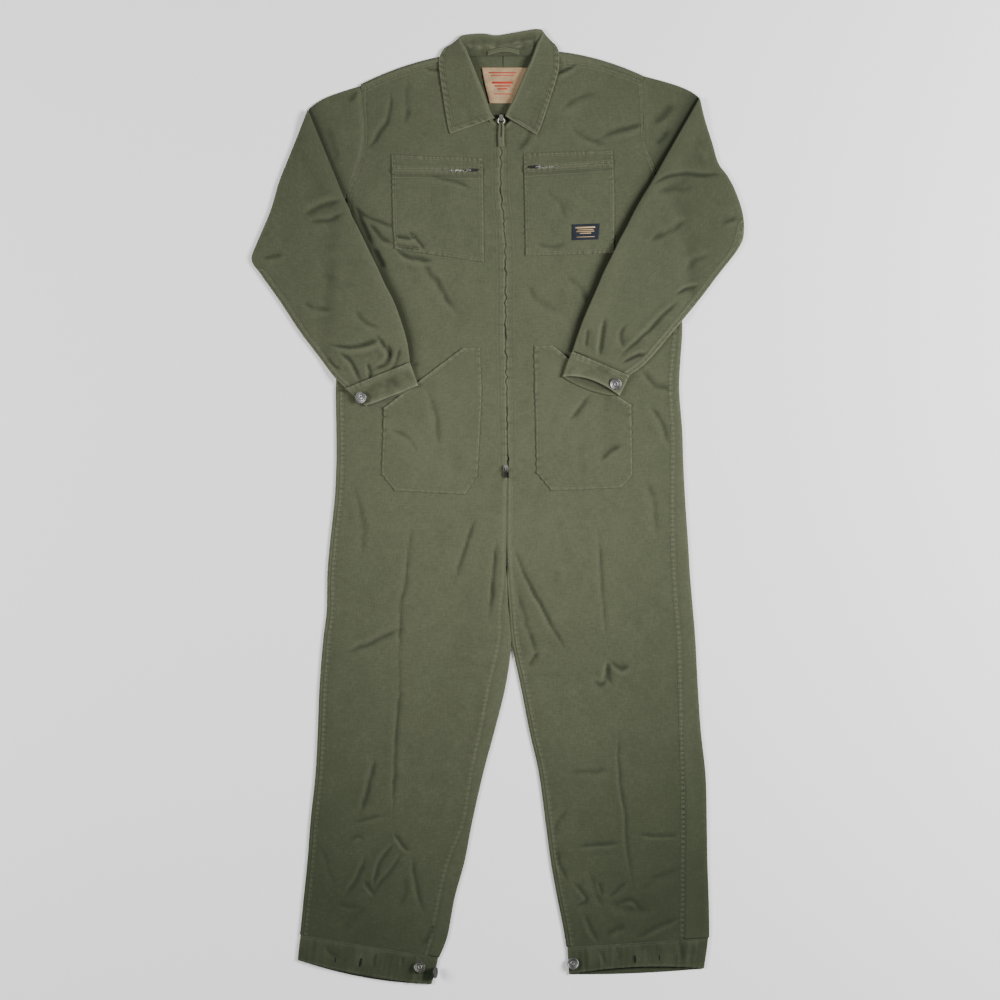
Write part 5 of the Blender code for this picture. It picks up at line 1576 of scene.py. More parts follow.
HEAD_CREASES = (
    Crease(((-246, 673), (-231, 694)), -1.4, 6.0, 0.3),
    Crease(((-283, 640), (-262, 570)), -0.8, 12.0, 0.3),
    Crease(((256, 638), (276, 650), (296, 674)), -1.8, 8.0, 0.5),
    Crease(((262, 600), (276, 612), (284, 632)), -1.2, 8.0, 0.4))
SLEEVE_SEAM_RIGHT = ((-394, 388), (-362, 343), (-329, 293), (-298, 252), (-273, 219), (-252, 198))
SLEEVE_SEAM_LEFT = ((412, 470), (400, 427), (370, 388.5), (335, 342.5), (293, 292), (249, 241), (220, 219))
SLEEVE_PUCKERS = (
    Pucker(SLEEVE_SEAM_RIGHT, 0.5, 9.0, 12.0), Pucker(SLEEVE_SEAM_LEFT, 0.5, 9.0, 12.0))

SLEEVE_RIGHT = (
    Across(-315, 662, -254, 513, crown=2.4), Across(-327, 632, -247, 499, crown=3.4),
    Across(-345, 587, -241, 483, crown=4.0), Across(-363, 542, -232, 466, crown=4.6),
    Across(-378, 492, -222, 446, crown=5.0), Across(-400, 440, -210, 421, crown=5.4),
    Across(-409, 412, -198, 397, crown=5.6), Across(-394, 388, -187, 372, crown=5.4),
    Across(-362, 343, -172, 343, crown=5.2), Across(-329, 293, -159, 308, crown=5.0),
    Across(-298, 252, -150, 277, crown=4.4), Across(-273, 219, -146, 252, crown=3.8),
    Across(-252, 198, -145, 241, crown=3.2))
SLEEVE_LEFT = (
    Across(337, 682, 267, 558, crown=2.4), Across(347, 644, 256, 539, crown=3.4),
    Across(359, 606, 242, 516, crown=4.0), Across(369, 573, 229, 493, crown=4.6),
    Across(384, 552, 217, 469, crown=5.0), Across(398, 525, 203, 443, crown=5.4),
    Across(410, 487, 190, 416, crown=5.6), Across(411, 452, 177, 390, crown=5.6),
    Across(400, 427, 167, 366, crown=5.4), Across(370, 388.5, 155, 339, crown=5.2),
    Across(335, 342.5, 143, 311, crown=5.0), Across(293, 292, 134, 286, crown=4.4),
    Across(249, 241, 127, 265, crown=3.8), Across(220, 219, 125, 259, crown=3.2))
CUFF_EDGE = SewnEdge(0.8, 1.6, 0.6, 5.0, 0.7)
HEM_EDGE = SewnEdge(0.0, 1.7, 0.0, 6.0, 0.6)
CUFF_RIGHT = (
    Across(-251.5, 196.7, -144.5, 239.7, crown=3.0),
    Across(-236, 182, -138, 222, front_bow=2, crown=3.2),
    Across(-219, 168.5, -131, 203, front_bow=-1, back_bow=-4, crown=3.4))
CUFF_LEFT = (
    Across(124.5, 257.7, 219.5, 217.7, crown=3.0),
    Across(116, 238, 212, 201, front_bow=7, back_bow=0, crown=3.6),
    Across(109, 217, 204, 185, front_bow=11, back_bow=-7, crown=4.4))
HEM_RIGHT = (
    Across(-327.2, -712.6, -98, -750.6, crown=3.0), Across(-330, -734, -102, -771, crown=3.2),
    Across(-332, -754, -109, -794, front_bow=-5, back_bow=-9, crown=3.2))
HEM_LEFT = (
    Across(352, -717.8, 117, -732.8, crown=3.2), Across(349, -742, 118.5, -756, front_bow=2, crown=3.6),
    Across(345, -768, 120, -777.5, front_bow=8, back_bow=-3, crown=4.2))


@dataclass
class Tube:
    """A flattened tube of cloth: its upper layer, two rolled edges and its lower layer."""
    sections: Sequence[Across]
    ground: Ground
    relief: Callable[[np.ndarray, np.ndarray], np.ndarray]
    pitch: float = 2.6
    top_count: int = 66
    low_count: int = 14
    edge_height: float = 4.0      # height of the rolled edges
    fold_reach: float = 5.0       # length of the rounded fold at the first section, or 0
    wall: float = PLY
    mouth: float = 0.0            # how far the inside shows at the last section
    reach: int = 12
    on_floor: bool = False        # the lower layer lies on the bare surface
    raised: float = 0.0           # how far the last edge of each section stands off what is below
    raised_width: float = 38.0    # how far in from that edge the tube comes down
    turns: tuple[float, ...] = (60.0, 30.0, 0.0, -30.0, -60.0)    # round a side edge, in degrees

    def rings(self) -> tuple[np.ndarray, np.ndarray]:
        """The tube's rings.

        Returns:
            The rings of points, and how far each point is from the nearest side edge.
        """
        table = np.array(self.sections, dtype=float)
        lengths = row_gaps(table)
        at = steps_along(lengths, self.pitch)
        reach = reach_along(lengths)
        if self.fold_reach:
            fine = np.interp(self.fold_reach * np.array([0.08, 0.3, 0.6]), reach, np.arange(len(reach)))
            at = np.sort(np.concatenate([at, fine]))
        rows = catmull(table, at)
        run = np.interp(at, np.arange(len(reach)), reach)[:, None]
        side = rows[:, 2:4] - rows[:, 0:2]
        wide = np.linalg.norm(side, axis=1, keepdims=True)
        inset = self.edge_height / 2 / wide
        top_share = inset + (1 - 2 * inset) * np.linspace(0, 1, self.top_count)[None, :]
        low_share = inset + (1 - 2 * inset) * np.linspace(1, 0, self.low_count)[None, :]
        top_x, top_y = plan(rows, top_share)
        low_x, low_y = plan(rows, low_share, bow=5)
        if self.on_floor:
            low_z = np.zeros(low_x.shape)
            base = np.zeros(top_x.shape)
        else:
            low_z = self.ground.under(low_x, low_y, reach=5, blur=3.0) + AIR
            base = self.ground.under(top_x, top_y, reach=self.reach, blur=9.0) + AIR
            hump = np.sin(math.pi * np.clip(run / reach[-1], 0, 1)) ** 0.6
            low_z += self.raised * hump * bell((1 - low_share) * wide, self.raised_width)
            base += self.raised * hump * bell((1 - top_share) * wide, self.raised_width)
        shape = swell(top_share)
        crown = np.maximum(rows[:, 6:7] * 1.1 + 3.0 - self.edge_height, 1.0)
        top_z = base + self.edge_height + crown * shape
        top_z += self.relief(top_x, top_y) * np.minimum(1.0, shape * 1.4 + 0.15)
        if self.fold_reach:
            near = np.clip(run / self.fold_reach, 0.0, 1.0)
            round_off = np.sqrt(1 - (1 - near) ** 2)
            middle = base + self.edge_height / 2
            top_z = middle + (top_z - middle) * round_off
            low_z = low_z + self.edge_height / 2 * (1 - round_off)
        top = np.stack([top_x, top_y, top_z], axis=-1)
        low = np.stack([low_x, low_y, low_z], axis=-1)
        out = np.concatenate([side / wide, np.zeros((len(rows), 1))], axis=1)[:, None, :]
        parts = [top, self.roll(top[:, -1:], low[:, :1], out), low,
                 self.roll(top[:, :1], low[:, -1:], -out)[:, ::-1]]
        ring = np.concatenate(parts, axis=1)
        from_edge = np.minimum(top_share, 1 - top_share) * wide
        away = np.concatenate([from_edge, np.zeros(parts[1].shape[:2]),
                               np.full(low_x.shape, FAR), np.zeros(parts[3].shape[:2])], axis=1)
        return ring, away

    def roll(self, upper: np.ndarray, lower: np.ndarray, out: np.ndarray) -> np.ndarray:
        """Points round a side edge, from the upper to the lower layer."""
        turns = np.radians(np.array(self.turns))[None, :, None]
        middle, half = (upper + lower) / 2, (upper - lower) / 2
        return middle + half * np.sin(turns) + out * (self.edge_height / 2) * np.cos(turns)

    def band(self, ring: np.ndarray, away: np.ndarray, along: np.ndarray,
             edge: SewnEdge) -> tuple[np.ndarray, np.ndarray, np.ndarray, int]:
        """Turn the first section's edge under, and line the open mouth at the last.

        Args:
            ring: The rings of points.
            away: How far each point is from the nearest side edge.
            along: The direction in which the band leaves its seam, at each point of the first ring.
            edge: How the edge turns under.

        Returns:
            The rings and the distances with the added rows, how far each ring is from the seam,
            and the number of rings that aren't lining.
        """
        first, level = ring[0], along * np.array([1.0, 1.0, 0.0])
        under = first - level * edge.back
        under[:, 2] += np.where(np.arange(len(first)) < self.top_count, -edge.drop, edge.rise)
        rounded = first - level * edge.corner
        rounded[:, 2] = (first[:, 2] + under[:, 2]) / 2
        ring = np.concatenate([[under + level * edge.tuck], [under], [rounded], ring])
        away = np.concatenate([np.repeat(away[:1], 3, 0), away])
        count = len(ring)
        ring, away = self.lined(ring, away)
        middle = self.top_count // 2 - 1
        run = np.linalg.norm(ring[:, middle] - ring[2, middle], axis=1)[:, None]
        return ring, away, run, count

    def lined(self, ring: np.ndarray, away: np.ndarray) -> tuple[np.ndarray, np.ndarray]:
        """Turn the last section's edge in, so that the open mouth has a thickness and an inside.

        Args:
            ring: The rings of points.
            away: How far each point is from the nearest side edge.

        Returns:
            Both, with rows for the rim and the inside added.
        """
        top_end = self.top_count
        low_start = top_end + len(self.turns)
        low_end = low_start + self.low_count
        step = np.linalg.norm((ring[1:, 0] - ring[:-1, 0]), axis=1).mean()

        def inner(row: np.ndarray) -> np.ndarray:
            """The inside of a ring: a wall's thickness in from it."""
            inside = row.copy()
            low_z = np.interp(np.linspace(0, 1, top_end), np.linspace(0, 1, self.low_count),
                              row[low_start:low_end][::-1, 2])
            inside[:top_end, 2] = np.maximum(row[:top_end, 2] - self.wall, low_z + self.wall + AIR)
            inside[low_start:low_end, 2] += self.wall
            sideways = row[top_end - 1] - row[0]
            sideways = sideways / np.linalg.norm(sideways)
            inside[top_end:low_start] -= sideways * self.wall
            inside[low_end:] += sideways * self.wall
            for span in (slice(top_end, low_start), slice(low_end, None)):
                middle = row[span, 2].mean()
                inside[span, 2] = middle + (row[span, 2] - middle) * 0.35
            return inside

        last = ring[-1]
        outward = level_unit(last - ring[-2])
        rows = [(last + inner(last)) / 2 + outward * self.wall * 0.4, inner(last)]
        for depth in (2.0, 7.0, 0.6 * self.mouth, self.mouth):
            back = min(len(ring) - 1, max(1, int(round(depth / step))))
            rows.append(inner(ring[-1 - back]))
        return (np.concatenate([ring, np.stack(rows)]),
                np.concatenate([away, np.repeat(away[-1:], len(rows), 0)]))


def sew_across(sewing: Sewing, sections: Sequence[Across], stations: Sequence[int],
               shares: np.ndarray) -> None:
    """Sew rows of stitches across a band.

    Args:
        sewing: The garment's stitches.
        sections: The band's three sections.
        stations: Where the rows run, in fortieths of the band's length.
        shares: Shares of the way across the band, from one side edge to the other.
    """
    fine = catmull(np.array(sections, dtype=float), np.linspace(0, 2, 41))
    x, y = plan(fine[list(stations)], shares[None, :])
    for line in np.stack([x, y], axis=-1):
        sewing.row(line)


@dataclass
class Sleeve:
    """A sleeve: its head at the armhole, the part folded down over the body, and its cuff."""
    side: Side
    armhole: Sequence[Point]
    head_sections: Sequence[Across]
    sections: Sequence[Across]
    cuff_sections: Sequence[Across]
    seam: Line
    head_cut: Cut
    sleeve_cut: Cut
    cuff_cut: Cut
    head_crown: float = 1.9
    head_points: int = 44
    tuck: float = 7.0             # how far the head runs on under the armhole seam

    def head(self) -> Sheet:
        """The top of the sleeve, from under the armhole seam to the fold."""
        count = self.head_points
        edge = smooth_line(self.armhole, 2.0)
        line = resampled(edge, np.linspace(0, len(edge) - 1, count))
        inward = np.array([-self.side.sign * self.tuck, 0.0])
        stations = [line + inward, line + inward * 0.25, line - inward * 0.15]
        for section in self.head_sections:
            share = np.linspace(0.006, 0.994, count)[:, None]
            stations.append(np.array([section[0:2]]) * (1 - share) + np.array([section[2:4]]) * share)
        table = np.stack(stations).reshape(len(stations), -1)
        gaps = np.linalg.norm(np.diff(np.stack(stations), axis=0), axis=2).mean(axis=1)
        at = steps_along(gaps, 3.0)
        rows = catmull(table, at).reshape(-1, count, 2)
        x, y = rows[..., 0], rows[..., 1]
        share = np.linspace(0, 1, count)[None, :]
        run = np.interp(at, np.arange(len(gaps) + 1), reach_along(gaps))[:, None]
        rise = self.head_crown * np.sin(math.pi * share) + crease_height(HEAD_CREASES, x, y)
        rise += 0.5 * BROAD_WAVES.at(x, y) * np.sin(math.pi * share)
        sink = 1.7 * eased(1.35 - run / self.tuck)
        top = np.stack([x, y, EDGE_Z + PLY / 2 + rise - sink], axis=-1)
        low = np.stack([x, y, np.zeros(x.shape)], axis=-1)[:, ::-1]
        roll = Tube(self.sections, Ground(), self.relief, edge_height=2 * SIDE_TURN).roll
        out_end = level_unit(top[:, -1:] - top[:, -2:-1])
        out_start = level_unit(top[:, :1] - top[:, 1:2])
        grid = np.concatenate([top, roll(top[:, -1:], low[:, :1], out_end), low,
                               roll(top[:, :1], low[:, -1:], out_start)[:, ::-1]], axis=1)
        wear_and_painted_light = np.zeros(grid.shape[:2])
        first = self.sections[0]
        from_fold, _, _ = near_line(smooth_line((first[0:2], first[2:4]), 10.0, straight=True), x, y)
        # Paler wear at the armhole seam; painted shadow near the fold, where the folded sleeve stands over
        # the head, stronger on the wearer's left.
        wear_and_painted_light[:, :count] = (0.12 * bell(run, 4.0, self.tuck)
                           - (SLEEVE_PAINTED_SHADOW + 0.25 * self.side.sign) * bell(from_fold, 17.0)
                           + crease_wear_and_shade(HEAD_CREASES, x, y))
        return Sheet(grid, wear_and_painted_light, closed=True)

    def relief(self, x: np.ndarray, y: np.ndarray) -> np.ndarray:
        """Creases and unevenness of the sleeve."""
        total = crease_height(SLEEVE_CREASES, x, y) + pucker_height(SLEEVE_PUCKERS, x, y)
        side, _, _ = near_line(smooth_line(self.seam, 8.0), x, y)
        felled = 0.55 * bell(np.abs(side), 4.5, 5.0)
        total = total + felled + 0.8 * BROAD_WAVES.at(x, y) + 0.25 * SMALL_WAVES.at(y, x)
        return total + 0.8 * crumple(x + 30.0, y)

    def lower(self, ground: Ground) -> Sheet:
        """The part of the sleeve that lies over the body."""
        tube = Tube(self.sections, ground, self.relief, edge_height=4.6, raised=5.5)
        ring, away = tube.rings()
        top = slice(0, tube.top_count)
        run = np.linalg.norm(ring[:, tube.top_count // 2] - ring[-1, tube.top_count // 2], axis=1)[:, None]
        ring[:, top, 2] -= 1.3 * bell(run, 6.0)
        x, y = ring[..., 0], ring[..., 1]
        side, _, _ = near_line(smooth_line(self.seam, 8.0), x, y)
        patchy = 0.72 + 0.28 * RIPPLES.at(x, y)
        wear_and_painted_light = patchy * (striped(np.abs(side), SLEEVE_SEAM_STRIPES) + 0.2 * bell(away, 3.0)
                         + 0.3 * bell(run, 4))
        # Painted light and shade on the creases and the seam's ripples.
        marks = crease_wear_and_shade(SLEEVE_CREASES, x, y) + RIPPLE_PAINTED_LIGHT * pucker_height(SLEEVE_PUCKERS, x, y)
        wear_and_painted_light[:, top] += marks[:, top]
        return Sheet(ring, wear_and_painted_light, closed=True)

    def cuff(self, ground: Ground) -> Sheet:
        """The cuff, a band with an open mouth."""
        seam = Pucker((self.cuff_sections[0][0:2], self.cuff_sections[0][2:4]), 0.8, 7.0, 9.0)

        def relief(x: np.ndarray, y: np.ndarray) -> np.ndarray:
            """Ripples along the cuff's seam, and its unevenness."""
            ripple = pucker_height((seam,), x, y)
            return ripple + 0.6 * SMALL_WAVES.at(x * 1.2, y * 1.2) + 0.3 * RIPPLES.at(x, y)

        tube = Tube(self.cuff_sections, ground, relief, pitch=2.4, top_count=42, edge_height=5.2,
                    fold_reach=0.0, wall=2.0, mouth=24.0, reach=8)
        ring, away = tube.rings()
        ring, away, run, body_rows = tube.band(ring, away, unit(ring[1] - ring[0]), CUFF_EDGE)
        x, y, end = ring[..., 0], ring[..., 1], run[body_rows - 1]
        patchy = 0.7 + 0.3 * RIPPLES.at(x, y)
        wear_and_painted_light = patchy * (0.75 * bell(run, 2.5) + 0.8 * bell(run, 2.5, end)
                         + 0.3 * bell(run, 2.0, 6) + 0.45 * bell(away, 2.5))
        # Painted light and shade on the seam's ripples.
        wear_and_painted_light += RIPPLE_PAINTED_LIGHT * pucker_height((seam,), x, y) + 0.16 * SMALL_WAVES.at(x * 1.7, y * 1.7)
        wear_and_painted_light[body_rows + 1:] = 0.0
        # Painted shade on the inside of the mouth.
        wear_and_painted_light[body_rows + 3:] = -0.5
        return Sheet(ring, wear_and_painted_light, closed=True)

    def build_head(self, ground: Ground, palette: Palette) -> None:
        """Make the head before the front is laid over its edge."""
        head, side = self.head(), self.side.value
        piece = sheet_object(f"sleeve_cap_{side}", [head], palette.canvas)
        sew_in(piece, (f"sleeve_head_{side}",), "canvas", self.head_cut, (f"back_panel_{side}",))
        ground.lay(head.grid)

    def build(self, ground: Ground, sewing: Sewing, palette: Palette) -> None:
        """Lay the sleeve over the body, and the cuff on its end."""
        lower, side, inward = self.lower(ground), self.side.value, -self.side.sign
        piece = sheet_object(f"sleeve_fold_{side}", [lower], palette.canvas)
        sew_in(piece, (f"sleeve_{side}",), "canvas", self.sleeve_cut,
               (f"sleeve_cap_{side}", f"front_panel_{side}"), Lay.FOLDED)
        ground.lay(lower.grid)
        sewing.row(self.seam, offsets=(inward * 4.5, inward * 10.0))
        cuff = self.cuff(ground)
        piece = sheet_object(f"cuff_band_{side}", [cuff], palette.canvas)
        sew_in(piece, (f"cuff_{side}",), "canvas", self.cuff_cut, (f"sleeve_fold_{side}",))
        ground.lay(cuff.grid)
        sew_across(sewing, self.cuff_sections, (2, 7, 37), np.linspace(0.05, 0.95, 24))


HEM_CREASES = (
    Crease(((303, -712), (306, -735), (309, -762)), -2.0, 4.5, 0.5),
    Crease(((168, -732), (178, -750), (183, -770)), -1.3, 4.5, 0.5),
    Crease(((196, -728), (202, -742), (200, -760)), -1.0, 4.0, 0.5),
    Crease(((262, -722), (266, -738), (262, -752)), -1.0, 4.0, 0.5),
    Crease(((-286, -726), (-276, -744), (-258, -752)), -1.3, 5.0, 0.4),
    Crease(((-200, -742), (-204, -756), (-202, -770)), -1.0, 4.0, 0.5),
    Crease(((-160, -745), (-155, -762), (-158, -782)), -1.1, 4.0, 0.5),
    Crease(((-136, -722), (-131, -738), (-133, -752)), -1.5, 5.0, 0.3))


@dataclass
class Hem:
    """The turned-up band at an ankle, with an open mouth."""
    side: Side
    sections: Sequence[Across]
    cut: Cut

    def build(self, ground: Ground, sewing: Sewing, palette: Palette) -> None:
        """Make the band and its sewing."""
        seam = Pucker((self.sections[0][0:2], self.sections[0][2:4]), 0.8, 7.0, 11.0)

        def relief(x: np.ndarray, y: np.ndarray) -> np.ndarray:
            """Ripples along the band's seam, its creases and its unevenness."""
            ripple = pucker_height((seam,), x, y) + crease_height(HEM_CREASES, x, y)
            return ripple + 0.6 * SMALL_WAVES.at(x, y) + 0.4 * BROAD_WAVES.at(x, y)

        tube = Tube(self.sections, ground, relief, pitch=2.6, top_count=78, low_count=30,
                    edge_height=4.2, fold_reach=0.0, wall=2.0, mouth=34.0, on_floor=True)
        ring, away = tube.rings()
        share = np.linspace(0, 1, tube.top_count)
        level = EDGE_Z + PLY / 2 + LEG_CROWN * swell(share)
        start = ring[:, :tube.top_count, 2] - ring[:1, :tube.top_count, 2] + level[None, :] + 0.9
        ring[:, :tube.top_count, 2] = np.maximum(start, 3.6)
        ring, away, run, body_rows = tube.band(ring, away, level_unit(ring[1] - ring[0]), HEM_EDGE)
        x, y, end = ring[..., 0], ring[..., 1], run[body_rows - 1]
        patchy = 0.65 + 0.35 * RIPPLES.at(x, y)
        # Painted shade along the seam to the leg; paler wear at the fold and the side edges.
        wear_and_painted_light = patchy * (-0.25 * bell(run, 1.8) + 0.3 * bell(run, 2.5, end)
                         + 0.15 * bell(run, 2.5, 5) + 0.3 * bell(away, 3))
        wear_and_painted_light += 2.0 * crease_wear_and_shade(HEM_CREASES, x, y) + 0.16 * SMALL_WAVES.at(x * 1.6, y * 0.8)
        wear_and_painted_light[body_rows + 1:] = 0.0
        # Painted shade on the inside of the mouth.
        wear_and_painted_light[body_rows + 3:] = -0.4
        side = self.side.value
        piece = sheet_object(f"hem_band_{side}", [Sheet(ring, wear_and_painted_light, closed=True)], palette.canvas)
        sew_in(piece, (f"hem_{side}",), "canvas", self.cut)
        ground.lay(ring[:body_rows])
        sew_across(sewing, self.sections, (1, 5, 37), np.linspace(0.02, 0.98, 60))


RIGHT_SLEEVE = Sleeve(
    Side.RIGHT, ARMHOLE_RIGHT,
    (Across(-282, 683, -257, 510), Across(-311, 665, -259, 508), Across(-319, 650, -261, 506)),
    SLEEVE_RIGHT, CUFF_RIGHT, SLEEVE_SEAM_RIGHT,
    Cut(210, 220, 0.0225), Cut(430, 480, 0.118), Cut(60, 240, 0.0125))
LEFT_SLEEVE = Sleeve(
    Side.LEFT, ARMHOLE_LEFT,
    (Across(302, 701, 271, 556), Across(334, 684, 273.5, 554), Across(341, 668, 276, 551)),
    SLEEVE_LEFT, CUFF_LEFT, SLEEVE_SEAM_LEFT,
    Cut(210, 220, 0.02), Cut(430, 480, 0.123), Cut(60, 240, 0.0125))
RIGHT_HEM = Hem(Side.RIGHT, HEM_RIGHT, Cut(80, 500, 0.032))
LEFT_HEM = Hem(Side.LEFT, HEM_LEFT, Cut(85, 500, 0.034))


# ---- pockets and labels ---------------------------------------------------------------

def straight_rows(rows: Sequence[Row], pitch: float) -> np.ndarray:
    """Rows in nearly equal steps, with the corners of their edges kept."""
    table = np.array(rows, dtype=float)
    fine = []
    for index, length in enumerate(row_gaps(table)):
        count = max(1, int(round(length / pitch)))
        shares = np.arange(count)[:, None] / count
        fine.append(table[index] + (table[index + 1] - table[index]) * shares)
    return np.concatenate([*fine, table[-1:]])


def outline_of(rows: Sequence[Row]) -> list[Point]:
    """The closed outline of a patch: down its outer edge and back up its inner edge."""
    down = [(row.outer_x, row.outer_y) for row in rows]
    up = [(row.inner_x, row.inner_y) for row in reversed(rows)]
    return [*down, *up, down[0]]


def inset_outline(outline: Sequence[Point], distance: float) -> list[Point]:
    """A closed outline moved inwards by a distance."""
    corners = np.array(outline[:-1], dtype=float)
    following = np.roll(corners, -1, axis=0)
    area = sum(x0 * y1 - x1 * y0 for (x0, y0), (x1, y1) in zip(corners, following))
    turn = 1.0 if area > 0 else -1.0
    moved = []
    for before, here, after in zip(np.roll(corners, 1, axis=0), corners, following):
        first, second = unit(here - before), unit(after - here)
        normal = unit(np.array([-(first[1] + second[1]), first[0] + second[0]]) * turn)
        lean = max(0.35, float(normal @ (np.array([-first[1], first[0]]) * turn)))
        moved.append(tuple(here + normal * distance / lean))
    return [*moved, moved[0]]


@dataclass
class Patch:
    """A piece of cloth sewn flat on what lies below it."""
    name: str
    nodes: tuple[str, ...]
    rows: Sequence[Row]
    cut: Cut
    rests_on: tuple[str, ...]
    pitch: float = 2.7
    puff: float = 0.5
    wall: float = PLY
    creases: Sequence[Crease] = ()
    pucker: float = 0.7
    wear_and_painted_light: float = 0.32
    slot: str = "canvas"
    lip: Optional[Edge] = None    # the edge that strays beside a zip
    open_at: float = 0.0          # where along X that edge parts most from the zip
    mouth: Optional[Line] = None  # the open edge of a pocket
    stitches: tuple[float, ...] = (1.8, 7.0)
    lift: float = 0.0
    tuck: float = 6.0
    period: float = 12.5          # of the ripples along its sewn edges

    def sheet(self, ground: Ground) -> Sheet:
        """The patch's upper face, turned under at its edges."""
        rows = straight_rows(self.rows, self.pitch)
        wide = float(widths(rows).mean())
        count = max(6, int(wide / self.pitch))
        near = min(0.2, 1.0 / wide)
        share = np.concatenate([[0, near, 2.5 * near], np.linspace(5 * near, 1 - 5 * near, count),
                                [1 - 2.5 * near, 1 - near, 1]])[None, :]
        x, y = plan(rows, share)
        if self.lip:
            edge, way = (0, -1.0) if self.lip is Edge.TOP else (-1, 1.0)
            fade = np.exp(-np.abs(y - y[edge]) / 5.0)
            y += fade * (0.4 * np.sin(math.tau * x / 10.0) + 0.45 * SMALL_WAVES.at(x * 2.6, 0.0))
            y += way * fade * (1.1 * np.clip(SMALL_WAVES.at(x * 1.5, 9.0) - 0.15, 0, 1)
                               + 0.8 * bell(x, 20.0, self.open_at * 1.25))
        outline = outline_of(self.rows)
        side, _, _ = near_line(smooth_line(outline, 6.0, straight=True), x, y)
        inside = np.abs(side)
        z = ground.under(x, y, reach=2, blur=2.2) + AIR + self.wall * 1.15 + self.lift
        z += self.puff * (1 - np.exp(-inside / 14.0)) * (1 + 0.5 * SMALL_WAVES.at(x, y))
        z += crease_height(self.creases, x, y)
        ripples = pucker_height((Pucker(outline, self.pucker, 6.0, self.period, True),), x, y)
        z += ripples
        z -= 0.4 * np.exp(-inside / 0.8)
        mouth_wear = np.zeros(x.shape)
        if self.mouth:
            from_mouth, _, _ = near_line(smooth_line(self.mouth, 6.0, straight=True), x, y)
            z += 1.5 * bell(from_mouth, 12.0)
            mouth_wear = 0.35 * bell(from_mouth, 3.5)
        patchy = 0.68 + 0.32 * RIPPLES.at(x, y)
        wear_and_painted_light = self.wear_and_painted_light * patchy * striped(inside, PATCH_STRIPES)
        # Painted shade along the inner row of stitches.
        wear_and_painted_light -= 0.5 * min(self.wear_and_painted_light, 1.0) * bell(inside, 1.6, self.stitches[-1])
        wear_and_painted_light += mouth_wear + crease_wear_and_shade(self.creases, x, y)
        # Painted light and shade on the sewing ripples.
        wear_and_painted_light += 0.7 * RIPPLE_PAINTED_LIGHT * np.clip(ripples, -1, 0.4) * (self.slot == "canvas")
        return turned(Sheet(np.stack([x, y, z], axis=-1), wear_and_painted_light), self.wall, self.tuck)

    def build(self, ground: Ground, sewing: Optional[Sewing], material: bpy.types.Material) -> None:
        """Make the patch and sew its edges."""
        sheet = self.sheet(ground)
        piece = sheet_object(self.name, [sheet], material)
        sew_in(piece, self.nodes, self.slot, self.cut, self.rests_on)
        ground.lay(sheet.grid[4:-4, 4:-4])
        if sewing:
            for distance in self.stitches:
                sewing.row(inset_outline(outline_of(self.rows), distance), straight=True)


HIP_POCKET_RIGHT = (
    Row(-56, 265, -28, 265), Row(-84, 244, -28, 245), Row(-117, 219, -27, 220), Row(-152, 193, -26, 195),
    Row(-188, 165, -27, 165), Row(-190, 110, -30, 108), Row(-192, 55, -33, 52), Row(-170, 27, -53, 21))
HIP_POCKET_LEFT = (
    Row(92, 269, 62, 268), Row(127, 241, 62, 242), Row(158, 216, 63, 217), Row(188, 192, 63, 192),
    Row(223, 170, 64, 168), Row(224, 112, 65, 112), Row(225, 53, 66, 57), Row(207, 32, 91, 27))
CHEST_FOOT_RIGHT = (Row(-174, 512, -23, 503), Row(-173, 467, -22.5, 453), Row(-170, 430, -22, 408))
CHEST_FOOT_LEFT = (Row(195, 520, 46, 517), Row(195, 468, 47, 466), Row(195, 423, 48, 418))
ZIP_LIP = 0.3        # from the line of a pocket zip to the cloth beside it


def moved_row(row: Row, offset: float) -> Row:
    """A row shifted towards the collar."""
    return row._replace(outer_y=row.outer_y + offset, inner_y=row.inner_y + offset)


BLOCK_SIDES = ((0, 1, 3, 2), (4, 6, 7, 5), (0, 4, 5, 1), (2, 3, 7, 6), (0, 2, 6, 4), (1, 5, 7, 3))


@dataclass
class ToothRow:
    """The teeth of a zip: small blocks that alternate on two tapes."""
    name: str
    line: np.ndarray          # points in space along the zip
    pitch: float
    size: tuple[float, float, float]
    offset: float

    def build(self, material: bpy.types.Material, slot: str) -> None:
        """Make all the teeth as one piece."""
        reach = reach_along(step_lengths(self.line))
        signs = np.array([(a, b, c) for a in (-1, 1) for b in (-1, 1) for c in (-1, 1)])
        blocks = []
        for row, shift in ((-1.0, 0.0), (1.0, 0.5)):
            targets = np.arange(self.pitch * (0.5 + shift), reach[-1], self.pitch)
            centre = resampled(self.line, targets, reach)
            along = unit(resampled(self.line, targets + 0.5, reach) - centre)
            across = np.column_stack([-along[:, 1], along[:, 0], np.zeros(len(along))])
            centre = centre + across * row * self.offset
            for a, b, c in signs:
                taper = 1.0 if c < 0 else 0.7
                corner = centre + across * a * self.size[0] / 2 + along * b * self.size[1] / 2 * taper
                corner[:, 2] += c * self.size[2] / 2
                blocks.append(corner)
        teeth = [np.stack(blocks[start:start + 8], axis=1).reshape(-1, 3) for start in (0, 8)]
        points = np.concatenate(teeth)
        corners = np.arange(len(points) // 8)[:, None, None] * 8 + np.array(BLOCK_SIDES)[None]
        mesh = make_mesh(self.name, points, corners.reshape(-1, 4))
        sew_in(add_object(self.name, mesh, material, smooth=False), (), slot)


